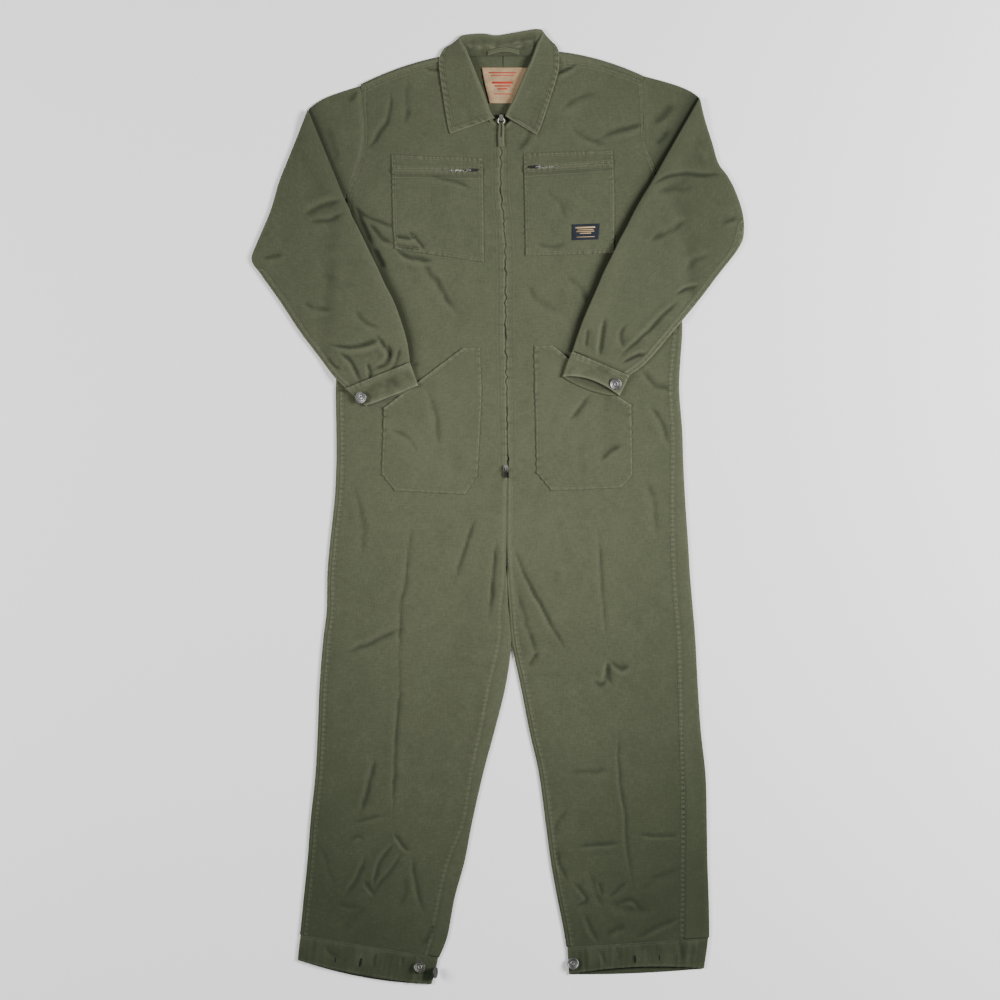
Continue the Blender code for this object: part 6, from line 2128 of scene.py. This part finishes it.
@dataclass
class ChestPocket:
    """A patch pocket with a zip under its stitched top band."""
    side: Side
    top: Row
    zip_row: Row
    foot: Sequence[Row]
    slider_x: float
    creases: Sequence[Crease] = ()
    tape_half: float = 5.0
    lower_row: float = 13.0       # from the zip to the row of stitches below it

    def build(self, ground: Ground, sewing: Sewing, palette: Palette) -> None:
        """Make the tape, the teeth, the band and the pocket."""
        side, row = self.side.value, self.zip_row
        under = (f"front_panel_{side}",)
        tape_rows = (moved_row(row, self.tape_half), moved_row(row, -self.tape_half))
        tape = Patch(f"chest_tape_{side}", (f"chest_zip_{side}",), tape_rows, Cut(152, 10),
                     under, puff=0.0, wall=0.5, pucker=0.0, wear_and_painted_light=0.0, slot="zip_tape", lift=-0.2, tuck=1.5)
        tape.build(ground, None, palette.tape)
        shares = np.linspace(0.03, 0.97, 60)
        xs = row.outer_x + (row.inner_x - row.outer_x) * shares
        ys = row.outer_y + (row.inner_y - row.outer_y) * shares
        zs = ground.under(xs, ys, reach=1, blur=0.0) + 0.35
        teeth = ToothRow(f"chest_teeth_{side}", np.column_stack([xs, ys, zs]), 1.9, (1.9, 1.1, 0.9), 0.55)
        teeth.build(palette.bright_metal, "nickel")
        band = Patch(f"chest_band_cloth_{side}", (f"chest_band_{side}",),
                     (self.top, moved_row(row, ZIP_LIP)), Cut(152, 24), under, puff=0.35,
                     pucker=0.9, wear_and_painted_light=0.26, lip=Edge.BOTTOM, stitches=(1.8, 4.8), tuck=3.0,
                     open_at=self.slider_x, pitch=2.0, period=8.0)
        band.build(ground, sewing, palette.canvas)
        pocket = Patch(f"chest_pocket_cloth_{side}", (f"chest_pocket_{side}",),
                       (moved_row(row, -ZIP_LIP), *self.foot), Cut(153, 156, 0.0212), under,
                       pucker=0.8, wear_and_painted_light=0.26, lip=Edge.TOP, stitches=(1.8, 5.6), creases=self.creases,
                       open_at=self.slider_x, period=9.0)
        pocket.build(ground, sewing, palette.canvas)
        run, inward = moved_row(row, -self.lower_row), -3 * self.side.sign
        sewing.row(((run.outer_x + inward, run.outer_y), (run.inner_x - inward, run.inner_y)))


RIGHT_CHEST = ChestPocket(Side.RIGHT, Row(-176, 586, -24, 580), Row(-175, 561.5, -24, 559.5),
                          CHEST_FOOT_RIGHT, -52.0,
                          (Crease(((-117, 553), (-67, 540), (-36, 527)), -1.0, 5.0, 0.7),
                           Crease(((-150, 462), (-128, 440), (-117, 421)), -1.7, 5.0, 0.8),
                           Crease(((-174, 452), (-150, 447), (-132, 452)), -1.6, 5.0, 0.8),
                           Crease(((-172, 438), (-148, 430), (-120, 432)), -1.3, 5.0, 0.8)))
LEFT_CHEST = ChestPocket(Side.LEFT, Row(192, 593, 44, 588), Row(193, 572, 45, 563), CHEST_FOOT_LEFT, 66.0,
                         (Crease(((72, 532), (104, 508), (116, 470)), -0.6, 10.0, 0.3),
                          Crease(((60, 440), (92, 432), (120, 440)), -0.8, 7.0, 0.5)))
RIGHT_HIP = Patch("hip_pocket_cloth_right", ("hip_pocket_right",), HIP_POCKET_RIGHT,
                  Cut(167, 246, 0.031), ("front_panel_right",), mouth=((-56, 265), (-188, 165)),
                  creases=(Crease(((-120, 200), (-100, 150), (-96, 90)), -0.8, 9.0, 0.4),
                           Crease(((-180, 130), (-150, 118), (-128, 90)), -0.7, 8.0, 0.5)))
LEFT_HIP = Patch("hip_pocket_cloth_left", ("hip_pocket_left",), HIP_POCKET_LEFT,
                 Cut(164, 246, 0.031), ("front_panel_left",), mouth=((92, 269), (223, 170)),
                 creases=(Crease(((158, 190), (140, 166), (118, 140)), -1.3, 7.0, 0.6),
                          Crease(((170, 74), (188, 92), (210, 104)), -1.3, 7.0, 0.6)))


class Mark(NamedTuple):
    """A bar on a label, from the label's middle."""
    x: float
    y: float
    wide: float
    tall: float


@dataclass(frozen=True)
class Bars:
    """Plain woven bars on a label: a generic design with no lettering."""
    name: str
    centre: Point
    turn: float               # degrees
    marks: Sequence[Mark]
    thick: float = 0.35

    def build(self, ground: Ground, material: bpy.types.Material, slot: str) -> None:
        """Make the bars as low blocks on the label."""
        points, faces = [], []
        for mark in self.marks:
            corners = []
            for a, b in ((-1, -1), (1, -1), (1, 1), (-1, 1)):
                for narrow, low, rise in ((1.0, 1.0, 0.0), (1 - 0.3 / mark.wide, 0.86, self.thick)):
                    x, y = rotated(self.centre, mark.x + a * mark.wide / 2 * narrow,
                                   mark.y + b * mark.tall / 2 * low, self.turn)
                    corners.append((x, y, rise))
            block = np.array(corners)
            base = ground.under(block[:, 0], block[:, 1], reach=1, blur=0.0)
            block[:, 2] += base.mean() + 0.02
            start = 8 * len(points)
            points.append(block)
            faces.append((start + 1, start + 3, start + 5, start + 7))
            faces += [(start + a, start + (a + 2) % 8, start + (a + 3) % 8, start + a + 1)
                      for a in (0, 2, 4, 6)]
        mesh = make_mesh(self.name, np.concatenate(points), np.array(faces))
        sew_in(add_object(self.name, mesh, material, smooth=False), (), slot)


@dataclass
class Labels:
    """The neck label, the label on the chest pocket and the hanger loop."""
    neck_rows: Sequence[Row] = (Row(-25, 732, 52, 732), Row(-20, 703, 46, 703), Row(-12, 673, 31, 673))
    chest_rows: Sequence[Row] = (Row(170.5, 471.5, 125, 470), Row(168, 445.5, 125, 444))

    def build_neck(self, ground: Ground, palette: Palette) -> None:
        """Lay the tan label inside the back of the neck."""
        label = Patch("neck_label_cloth", ("neck_label",), self.neck_rows, Cut(76, 59, 0.0038),
                      ("back_panel_right", "back_panel_left"), puff=0.2, wall=0.8, pucker=0.25,
                      wear_and_painted_light=0.2, slot="neck_label", stitches=(1.6,), pitch=2.0, tuck=2.5)
        label.build(ground, None, palette.tan)
        marks = (Mark(0.0, 19.5, 46.0, 1.8), Mark(0.0, 14.8, 38.0, 1.2), Mark(0.0, 3.0, 34.0, 3.6),
                 Mark(0.0, -2.6, 26.0, 2.2), Mark(0.0, -7.4, 16.0, 2.2), Mark(0.0, -16.0, 28.0, 1.4))
        Bars("neck_label_bars", (9.0, 704.0), 0.0, marks).build(ground, palette.brick, "neck_label")

    def build_loop(self, palette: Palette) -> None:
        """Bow the hanger loop over the neck seam."""
        line = smooth_line(((-15.5, 755.5, 0.0), (-2.0, 759.5, 0.0), (11.0, 761.5, 0.0),
                            (24.0, 760.0, 0.0), (37.0, 756.5, 0.0)), 2.2)
        across = np.array([-1.0, -0.55, 0.0, 0.55, 1.0])
        rows = []
        for index, point in enumerate(line):
            share = index / (len(line) - 1)
            base = 5.9 + 1.8 * math.sin(math.pi * share)
            rows.append([(point[0], point[1] + 3.4 * a, base + 0.5 * (1 - a * a)) for a in across])
        grid = np.array(rows)
        wear_and_painted_light = np.broadcast_to(np.array([0.35, 0.1, 0.0, 0.1, 0.35]), grid.shape[:2]).copy()
        loop = sheet_object("hanger_loop_cloth", [turned(Sheet(grid, wear_and_painted_light), 0.9, tuck=2.4)], palette.canvas)
        sew_in(loop, ("hanger_loop",), "canvas", Cut(55, 14, 0.00055), ("back_panel_left",))

    def build_chest(self, ground: Ground, palette: Palette) -> None:
        """Lay the navy label on the left chest pocket."""
        label = Patch("chest_label_cloth", ("chest_label",), self.chest_rows, Cut(46, 27, 0.00118),
                      ("chest_pocket_cloth_left",), puff=0.15, wall=0.8, pucker=0.12, wear_and_painted_light=0.0,
                      slot="chest_label", pitch=1.6, lift=0.1, tuck=2.0)
        label.build(ground, None, palette.navy)
        marks = (Mark(0.0, 7.4, 33.0, 2.6), Mark(0.0, 3.6, 27.0, 1.2), Mark(0.0, 0.9, 30.0, 1.2),
                 Mark(0.0, -2.2, 19.0, 1.6), Mark(0.0, -8.2, 30.0, 1.0))
        Bars("chest_label_bars", (147.0, 457.6), 2.0, marks).build(ground, palette.gold, "chest_label")


# ---- front zip ------------------------------------------------------------------------

@dataclass
class FrontZip:
    """Tape and teeth under the meeting edges of the fronts."""
    top_y: float = 650.0
    level: float = 4.15       # height of the tape's upper face
    half: float = 9.0         # half of the tape's width
    tooth_pitch: float = 2.5

    def build(self, palette: Palette) -> None:
        """Make the tape and both rows of teeth."""
        places = np.array(sorted((row.inner_y, row.inner_x) for row in LOWER_RIGHT if row.inner_wrap == 0))
        ys = np.linspace(self.top_y, ZIP_END_Y, 260)
        xs = np.interp(ys, places[:, 0], places[:, 1])
        level = np.full(ys.shape, self.level)
        across = np.array([-1.0, -0.62, -0.34, -0.12, 0.12, 0.34, 0.62, 1.0]) * self.half
        drop = np.array([0.55, 0.2, 0.0, 0.0, 0.0, 0.0, 0.2, 0.55])
        grid = np.stack([xs[:, None] + across, np.repeat(ys[:, None], len(across), 1),
                         level[:, None] - drop], axis=-1)
        tape = sheet_object("zip_tape_cloth", [turned(Sheet(grid, np.zeros(grid.shape[:2])), 0.6, tuck=2.0)],
                            palette.tape)
        sew_in(tape, ("front_zip",), "zip_tape", Cut(19, 612), ("back_panel_right", "back_panel_left"))
        teeth = ToothRow("zip_teeth", np.column_stack([xs, ys, level + 0.35]), self.tooth_pitch,
                         (2.6, 1.5, 1.2), 0.75)
        teeth.build(palette.dark_metal, "nickel")


# ---- collar ---------------------------------------------------------------------------

class Station(NamedTuple):
    """A section across the collar: its seam to the neck, its top fold and its free edge."""
    seam_x: float
    seam_y: float
    seam_z: float
    fold_x: float
    fold_y: float
    fold_z: float
    edge_x: float
    edge_y: float
    edge_z: float
    face: float      # 90 where the fall lies on top, -90 where it lies behind


@dataclass
class Collar:
    """One continuous collar: the stand round the neck, the fall behind it and the two leaves."""
    stations: Sequence[Station] = (
        Station(-12, 640, 6.0, -4, 647, 8.2, -78, 621, 6.5, 90),
        Station(-24, 656, 6.0, -12, 659, 8.4, -82, 635, 6.5, 90),
        Station(-37, 681, 5.8, -20, 683, 8.6, -87, 665, 6.5, 90),
        Station(-52, 708, 5.2, -32, 713, 8.6, -93, 705, 6.4, 90),
        Station(-66, 732, 4.6, -43.5, 742, 8.4, -97, 740, 5.4, 88),
        Station(-64, 752, 4.2, -53, 764, 7.2, -93, 756, 3.8, 70),
        Station(-56, 752, 4.2, -61, 779, 5.0, -84, 766, 2.6, 15),
        Station(-47, 750, 4.0, -58, 784.5, 3.6, -62, 767, 1.2, -60),
        Station(-38, 750, 3.8, -45, 787, 3.2, -43, 766, 0.9, -88),
        Station(-15, 751, 3.6, -22, 788, 3.2, -20, 767, 0.9, -90),
        Station(8, 751, 3.6, 0, 785, 3.2, 2, 765, 0.9, -90),
        Station(28, 751, 3.6, 25, 789, 3.2, 26, 768, 0.9, -90),
        Station(47, 751, 3.8, 48, 793, 3.2, 47, 772, 0.9, -88),
        Station(60, 752, 4.0, 67, 795.5, 3.6, 72, 776, 1.2, -60),
        Station(66, 755, 4.2, 75, 790, 5.0, 95, 771, 2.6, 15),
        Station(72, 752, 4.2, 66, 768, 7.2, 103, 758, 4.2, 70),
        Station(76, 730, 4.6, 56.5, 742, 8.4, 103.5, 742, 5.6, 88),
        Station(63, 708, 5.2, 44, 716, 8.6, 101, 721, 6.4, 90),
        Station(48, 680, 5.8, 30, 683, 8.6, 87, 675, 6.5, 90),
        Station(33, 660, 6.0, 19, 662, 8.4, 73, 633, 6.5, 90),
        Station(26, 645, 6.0, 14, 650, 8.2, 66, 619, 6.5, 90))
    roll: float = 1.7         # radius of the top fold
    wall: float = 1.5
    cut: Cut = Cut(110, 470, 0.042)
    pitch: float = 2.6
    stand_lines: int = 10     # lines of points from the seam to the fold
    roll_lines: int = 7       # lines of points round the fold
    stitches: tuple[float, ...] = (2.2, 8.2)

    def grid(self, ground: Ground) -> tuple[np.ndarray, np.ndarray]:
        """Points across and along the collar.

        Args:
            ground: The heights of what it lies on.

        Returns:
            The points, and how far each is from the free edge or an end.
        """
        table = np.array(self.stations, dtype=float)
        lengths = np.maximum(step_lengths(table[:, 3:6]), step_lengths(table[:, 6:9]))
        rows = catmull(table, steps_along(lengths, self.pitch))
        seam, fold, edge = rows[:, 0:3], rows[:, 3:6], rows[:, 6:9]
        face = np.radians(np.clip(rows[:, 9:10], -90, 90))
        back = level_unit((seam + edge) / 2 - fold)
        up = np.array([[0.0, 0.0, 1.0]])
        normal = np.cos(face) * level_unit(edge - seam) + np.sin(face) * up
        centre = fold + back * self.roll
        near_seam, near_edge = centre - normal * self.roll, centre + normal * self.roll
        across = [seam + (near_seam - seam) * share for share in np.linspace(0, 1, self.stand_lines + 1)[:-1]]
        for angle in np.radians(np.linspace(-90, 90, self.roll_lines)):
            across.append(centre - back * self.roll * math.cos(angle) + normal * self.roll * math.sin(angle))
        for share in (*np.linspace(0, 0.94, 24)[1:], 0.965, 0.985, 1.0):
            point = near_edge + (edge - near_edge) * share
            point[:, 2] = edge[:, 2] + (near_edge[:, 2] - edge[:, 2]) * (1 - share) ** 1.5
            across.append(point)
        grid = np.stack(across, axis=1)
        on_top = eased((np.degrees(face) - 60) / 28)
        fall_side = np.arange(grid.shape[1]) >= self.stand_lines + self.roll_lines
        lie = ground.under(grid[..., 0], grid[..., 1], reach=2, blur=3.0) + self.wall / 2 + 0.25
        x, y = grid[..., 0], grid[..., 1]
        from_edge = np.linalg.norm(grid - edge[:, None, :], axis=2)
        from_front = np.minimum(np.linalg.norm(grid - grid[:1], axis=2),
                                np.linalg.norm(grid - grid[-1:], axis=2))
        rim = np.minimum(from_edge, from_front)
        wave = 0.5 * self.edge_ripple(x, y) * bell(rim, 6.0, 3.0) + 0.35 * BROAD_WAVES.at(x, y)
        lifted = np.maximum(grid[..., 2], lie) + wave * 0.9
        share = on_top * fall_side
        grid[..., 2] = grid[..., 2] * (1 - share) + np.maximum(lifted, lie) * share
        across_stand = np.clip(np.arange(grid.shape[1]) / (self.stand_lines - 1), 0, 1)
        gathers = 0.8 * SMALL_WAVES.at(x * 2.1, y * 0.9) + 0.5 * RIPPLES.at(x * 0.9, y * 0.4)
        grid[..., 2] += np.sin(math.pi * across_stand) * (1 - on_top) * gathers
        return grid, rim

    def edge_ripple(self, x: np.ndarray, y: np.ndarray) -> np.ndarray:
        """The pull of the sewing round the leaves, from -1 to 1."""
        return np.sin(math.tau * (x * 0.45 + y) / 10.5 + 3.2 * SMALL_WAVES.at(x * 1.3, y * 1.3))

    def build(self, ground: Ground, sewing: Sewing, palette: Palette) -> None:
        """Make the collar and sew round its leaves."""
        grid, rim = self.grid(ground)
        patchy = 0.68 + 0.32 * RIPPLES.at(grid[..., 0], grid[..., 1])
        # Pale stripes are wear at the edge; the deep stripes are painted shade along the stitch rows.
        wear_and_painted_light = patchy * striped(rim, COLLAR_PALE_STRIPES) + striped(rim, COLLAR_DEEP_STRIPES)
        # Painted light and shade on the ripples along the edge.
        wear_and_painted_light += 0.16 * self.edge_ripple(grid[..., 0], grid[..., 1]) * bell(rim, 3.5, 4.0)
        top_fold = slice(self.stand_lines, self.stand_lines + self.roll_lines + 1)
        wear_and_painted_light[:, top_fold] = np.maximum(wear_and_painted_light[:, top_fold], 0.2)
        # Painted shade in the folds of the stand and along the neck seam, inside the neck.
        stand = grid[:, :self.stand_lines - 1]
        folds = np.clip(SMALL_WAVES.at(stand[..., 0] * 1.9, stand[..., 1] * 0.7), 0, 1)
        wear_and_painted_light[:, :self.stand_lines - 1] -= 0.35 * folds
        wear_and_painted_light[:, :3] -= np.array([0.4, 0.3, 0.15])
        piece = sheet_object("collar_cloth", [Sheet(grid, wear_and_painted_light)], palette.canvas)
        thicken(piece, self.wall, offset=0.0)
        rest = ("front_panel_left", "front_panel_right", "back_panel_left", "back_panel_right")
        sew_in(piece, ("collar_stand", "collar_left", "collar_right"), "canvas", self.cut, rest,
               held=Lay.FOLDED)
        ground.lay(grid, lift=self.wall / 2)
        self.sew(sewing)

    def sew(self, sewing: Sewing) -> None:
        """Sew two rows along each leaf's edge and two along its end."""
        table = np.array(self.stations, dtype=float)
        edges, folds = table[:, 6:8], table[:, 3:5]
        for leaf in (slice(0, 7), slice(14, 21)):
            for inset in self.stitches:
                sewing.row(edges[leaf] + unit(folds[leaf] - edges[leaf]) * inset)
        for tip, fold in ((edges[0], folds[0]), (edges[-1], folds[-1])):
            along = unit(fold - tip)
            inward = np.array([along[1], -along[0]])
            inward *= np.sign(inward[1])
            for inset in self.stitches:
                sewing.row((tip + along * inset + inward * inset, fold - along * 5 + inward * inset))


# ---- metal ----------------------------------------------------------------------------

# from the middle of a button's face to its shank: the share of its radius, and the height
BUTTON_PROFILE = (
    (0.0, 3.35), (0.16, 3.4), (0.26, 3.75), (0.36, 3.8), (0.44, 3.45), (0.52, 3.35), (0.60, 3.7),
    (0.66, 3.75), (0.73, 3.4), (0.80, 3.7), (0.88, 4.3), (0.95, 4.25), (1.0, 3.7), (1.0, 3.1),
    (0.94, 2.5), (0.5, 2.1), (0.36, 1.9), (0.3, 0.0))
# Rings painted darker: painted shade in the grooves and under the rolled rim.
BUTTON_GROOVES = (3, 6, 12, 13)


@dataclass(frozen=True)
class ShankButton:
    """A pressed metal shank button with a rolled rim and plain rings."""
    node: str
    place: tuple[float, float, float]
    tilt: tuple[float, float]      # about X, then about Y, in degrees
    dull: bool = False             # whether the whole button is painted dark, a painted reflection of the dark surroundings that its face mirrors
    radius: float = 9.8
    sides: int = 48

    def build(self, palette: Palette) -> None:
        """Turn the button on its axis and set it in place."""
        turns = np.linspace(0, math.tau, self.sides, endpoint=False)
        share, height = np.array(BUTTON_PROFILE[1:]).T[:, :, None]
        rings = np.stack([share * self.radius * np.cos(turns), share * self.radius * np.sin(turns),
                          np.repeat(height, self.sides, axis=1)], axis=-1)
        points = np.concatenate([[[0.0, 0.0, BUTTON_PROFILE[0][1]]], rings.reshape(-1, 3)])
        faces = grid_faces(len(rings), self.sides, True) + 1
        mesh = bpy.data.meshes.new(self.node)
        lid = [(0, 1 + k, 1 + (k + 1) % self.sides) for k in range(self.sides)]
        mesh.from_pydata([tuple(point * MM) for point in points], [], [*lid, *map(tuple, faces.tolist())])
        lean = Euler((math.radians(self.tilt[0]), math.radians(self.tilt[1]), 0))
        mesh.transform(Matrix.LocRotScale(Vector(self.place) * MM, lean, None))
        # A painted reflection: a dark button gets the dark metal. Its grooves get painted shade, in the dark
        # metal or near black.
        piece = add_object(f"{self.node}_metal", mesh, palette.dark_metal if self.dull else palette.nickel)
        mesh.materials.append(palette.slit if self.dull else palette.dark_metal)
        for polygon in mesh.polygons:
            ring = polygon.index // self.sides - 1
            polygon.material_index = int(ring in BUTTON_GROOVES)
        sew_in(piece, (self.node,), "nickel")


@dataclass
class TopPull:
    """The ring and folded canvas tab on the top slider."""
    bar: tuple[float, float, float] = (7.0, 648.0, 8.35)
    ring_half: tuple[float, float] = (5.2, 6.0)    # half of the ring's width and length
    wire: float = 0.75
    ring_sides: int = 40
    wire_sides: int = 10
    tab_start: float = 8.5        # from the bar to the tab
    tab_length: float = 40.0
    tab_half: float = 5.0
    tab_thick: float = 1.15
    slit_depth: float = 0.3336

    def build(self, palette: Palette) -> None:
        """Make the ring, then the tab through it; both swing on the slider."""
        ring = self.ring(palette.bright_metal)
        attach(ring, "top_pull")
        tab = self.tab(palette.canvas)
        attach(tab, "top_pull")
        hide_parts("zip_top_pull")

    def ring(self, material: bpy.types.Material) -> bpy.types.Object:
        """The oval wire ring."""
        x, y, z = self.bar
        turns = np.linspace(0, math.tau, self.ring_sides, endpoint=False)[:, None]
        tube = np.linspace(0, math.tau, self.wire_sides, endpoint=False)[None, :]
        out, rise = self.wire * np.cos(tube), z + self.wire * np.sin(tube)
        rings = np.stack([x + (self.ring_half[0] + out) * np.sin(turns),
                          y - 5.0 + (self.ring_half[1] + out) * np.cos(turns),
                          np.repeat(rise, self.ring_sides, axis=0)], axis=-1)
        count = self.ring_sides * self.wire_sides
        faces = grid_faces(self.ring_sides + 1, self.wire_sides, True) % count
        return add_object("zip_top_ring", make_mesh("zip_top_ring", rings.reshape(-1, 3), faces), material)

    def tab(self, material: bpy.types.Material) -> bpy.types.Object:
        """The folded tab, with the open slit of its fold in front."""
        x, y, z = self.bar
        lengths = np.concatenate([[0.0, 0.6, 1.6], np.linspace(3, 37, 20), [38.4, 39.4, self.tab_length]])
        across = np.array([-1.0, -0.92, -0.7, -0.35, -0.1, 0.0, 0.1, 0.35, 0.7, 0.92, 1.0])
        run, slit = lengths[:, None], np.zeros((len(lengths), len(across)))
        half = self.tab_half * (1 - 0.25 * np.exp(-run / 3.0))
        edge = np.minimum(1.0, run / 1.6) ** 0.5 * np.minimum(1.0, (self.tab_length - run) / 1.2 + 0.2) ** 0.5
        puff = self.tab_thick * edge * np.sqrt(np.maximum(0.0, 1 - np.abs(across) ** 5))
        slit[(lengths > 4) & (lengths < 34), across == 0.0] = self.slit_depth
        xs = x + half * across + 0.3 * np.sin(run / 5.0)
        ys = np.broadcast_to(y - self.tab_start - run, xs.shape)
        front = np.stack([xs, ys, z + (puff - slit)], axis=-1)
        behind = np.stack([xs, ys, z - puff], axis=-1)
        worn_and_painted_light = np.broadcast_to(0.2 + 0.4 * np.abs(across) ** 4, xs.shape).copy()
        # Painted shade in the slit of the fold.
        worn_and_painted_light[(lengths > 1.5) & (lengths < 24), 4:7] = -1.3
        return sheet_object("zip_top_tab", [Sheet(front, worn_and_painted_light), Sheet(behind[:, ::-1], np.zeros(xs.shape))],
                            material)


BUTTONS = (
    ShankButton("cuff_button_right", (-225.0, 182.5, 13.0), (12, -18)),
    ShankButton("cuff_button_left", (197.0, 204.5, 13.2), (6, 6)),
    ShankButton("hem_button_right", (-130.0, -766.0, 5.6), (-14, 16), dull=True),
    ShankButton("hem_button_left", (127.0, -760.0, 4.8), (-6, -8)),
    ShankButton("hem_button_right_side", (-105.6, -774.0, 10.4), (0, 68), dull=True))


def plate_metal(nodes: dict[str, bpy.types.Object], palette: Palette) -> None:
    """Give the sliders and short pulls their metal."""
    for name, node in nodes.items():
        if name.endswith(("_slider", "_pull")):
            for slot in node.material_slots:
                slot.material = palette.dark_metal if name.endswith("_pull") else palette.bright_metal


# ---- sewing of the body ---------------------------------------------------------------

def sew_body(sewing: Sewing) -> None:
    """Sew the shoulders, armholes, zip edges, side seams and inseams of the fronts."""
    sewing.row(SHOULDER_SEAM_RIGHT, offsets=(-2.5, -7.5))
    sewing.row(SHOULDER_SEAM_LEFT, offsets=(-2.5, -7.5))
    sewing.row(ARMHOLE_RIGHT, offsets=(2.5, 7.5))
    sewing.row(ARMHOLE_LEFT, offsets=(-2.5, -7.5))
    for rows, sign in ((LOWER_RIGHT, -1.0), (LOWER_LEFT, 1.0)):
        centre = [(row.inner_x + sign * 0.8, row.inner_y) for row in rows[:10] if row.inner_y > 60]
        sewing.row([(centre[0][0], 625.0), *centre], offsets=(sign * 3.4, sign * 8.0, sign * 13.2))
        outer = [(row.outer_x - sign * max(row.outer_wrap, 3.0), row.outer_y) for row in rows[3:]]
        sewing.row(outer, offsets=(-sign * 2.6, -sign * 8.0))
        inner = [(row.inner_x + sign * (row.inner_wrap + 0.3), row.inner_y) for row in rows[12:]]
        sewing.row(inner, offsets=(sign * 2.6, sign * 7.6))
    seam = [(row.inner_x, row.inner_y) for row in LOWER_LEFT[9:12]]
    sewing.row([(17.6, 38.0), *seam], offsets=(3.0, 8.5))
    sewing.row([(17.6, 38.0), *seam], offsets=(-3.0,))


class Hole(NamedTuple):
    """A buttonhole: its middle, half of its length, its width as a share of that, and its direction."""
    x: float
    y: float
    half: float
    squeeze: float
    turn: float      # degrees


@dataclass
class Buttonholes:
    """Thread-bound slits in the hem bands."""
    holes: Sequence[Hole]
    sides: int = 20

    def build(self, ground: Ground, palette: Palette) -> None:
        """Lay a near-black disc, painted shade inside the slit, and a ring of stitches for each hole."""
        points, faces = [], []
        bound = Sewing(ground)
        angles = np.linspace(0, math.tau, self.sides, endpoint=False)
        for x, y, half, squeeze, turn in self.holes:
            bound.ring((x, y), half, squeeze, turn, count=int(14 + 2.4 * half))
            xs, ys = rotated((x, y), half * np.cos(angles), half * squeeze * np.sin(angles), turn)
            xs, ys = np.append(xs, x), np.append(ys, y)
            level = ground.under(xs, ys, reach=1, blur=0.0)
            start = len(points) * (self.sides + 1)
            points.append(np.column_stack([xs, ys, level + 0.2]))
            faces += [(start + self.sides, start + k, start + (k + 1) % self.sides)
                      for k in range(self.sides)]
        # The disc is painted shade, where the slit shows only its dark inside.
        mesh = make_mesh("buttonhole_slits", np.concatenate(points), np.array(faces))
        sew_in(add_object("buttonhole_slits", mesh, palette.slit), (), "canvas")
        bound.build("buttonhole_thread", palette.deep_thread)


HOLES = Buttonholes((Hole(-268.8, -754.0, 5.0, 0.2, 82.0), Hole(-227.2, -757.8, 8.0, 0.26, 78.0),
                     Hole(229.4, -752.2, 7.0, 0.3, 94.0), Hole(270.5, -749.5, 5.0, 0.18, 96.0)))


def main() -> None:
    """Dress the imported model."""
    logging.basicConfig(level=logging.INFO, format="%(name)s: %(message)s")
    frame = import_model()
    palette = Palette.mixed()
    ground = Ground()
    sewing = Sewing(ground)
    Studio().build()
    for half, sleeve in ((RIGHT_HALF, RIGHT_SLEEVE), (LEFT_HALF, LEFT_SLEEVE)):
        sleeve.build_head(ground, palette)
        half.build_back(ground, palette)
    labels = Labels()
    labels.build_neck(ground, palette)
    for half in (RIGHT_HALF, LEFT_HALF):
        half.build_front(ground, palette)
    FrontZip().build(palette)
    sew_body(sewing)
    for hem in (RIGHT_HEM, LEFT_HEM):
        hem.build(ground, sewing, palette)
    HOLES.build(ground, palette)
    for pocket in (RIGHT_CHEST, LEFT_CHEST):
        pocket.build(ground, sewing, palette)
    for pocket in (RIGHT_HIP, LEFT_HIP):
        pocket.build(ground, sewing, palette.canvas)
    labels.build_chest(ground, palette)
    for sleeve in (RIGHT_SLEEVE, LEFT_SLEEVE):
        sleeve.build(ground, sewing, palette)
    Collar().build(ground, sewing, palette)
    labels.build_loop(palette)
    sewing.build("garment_sewing", palette.thread)
    for button in BUTTONS:
        button.build(palette)
    TopPull().build(palette)
    plate_metal(frame["nodes"], palette)


if __name__ == "__main__":
    main()
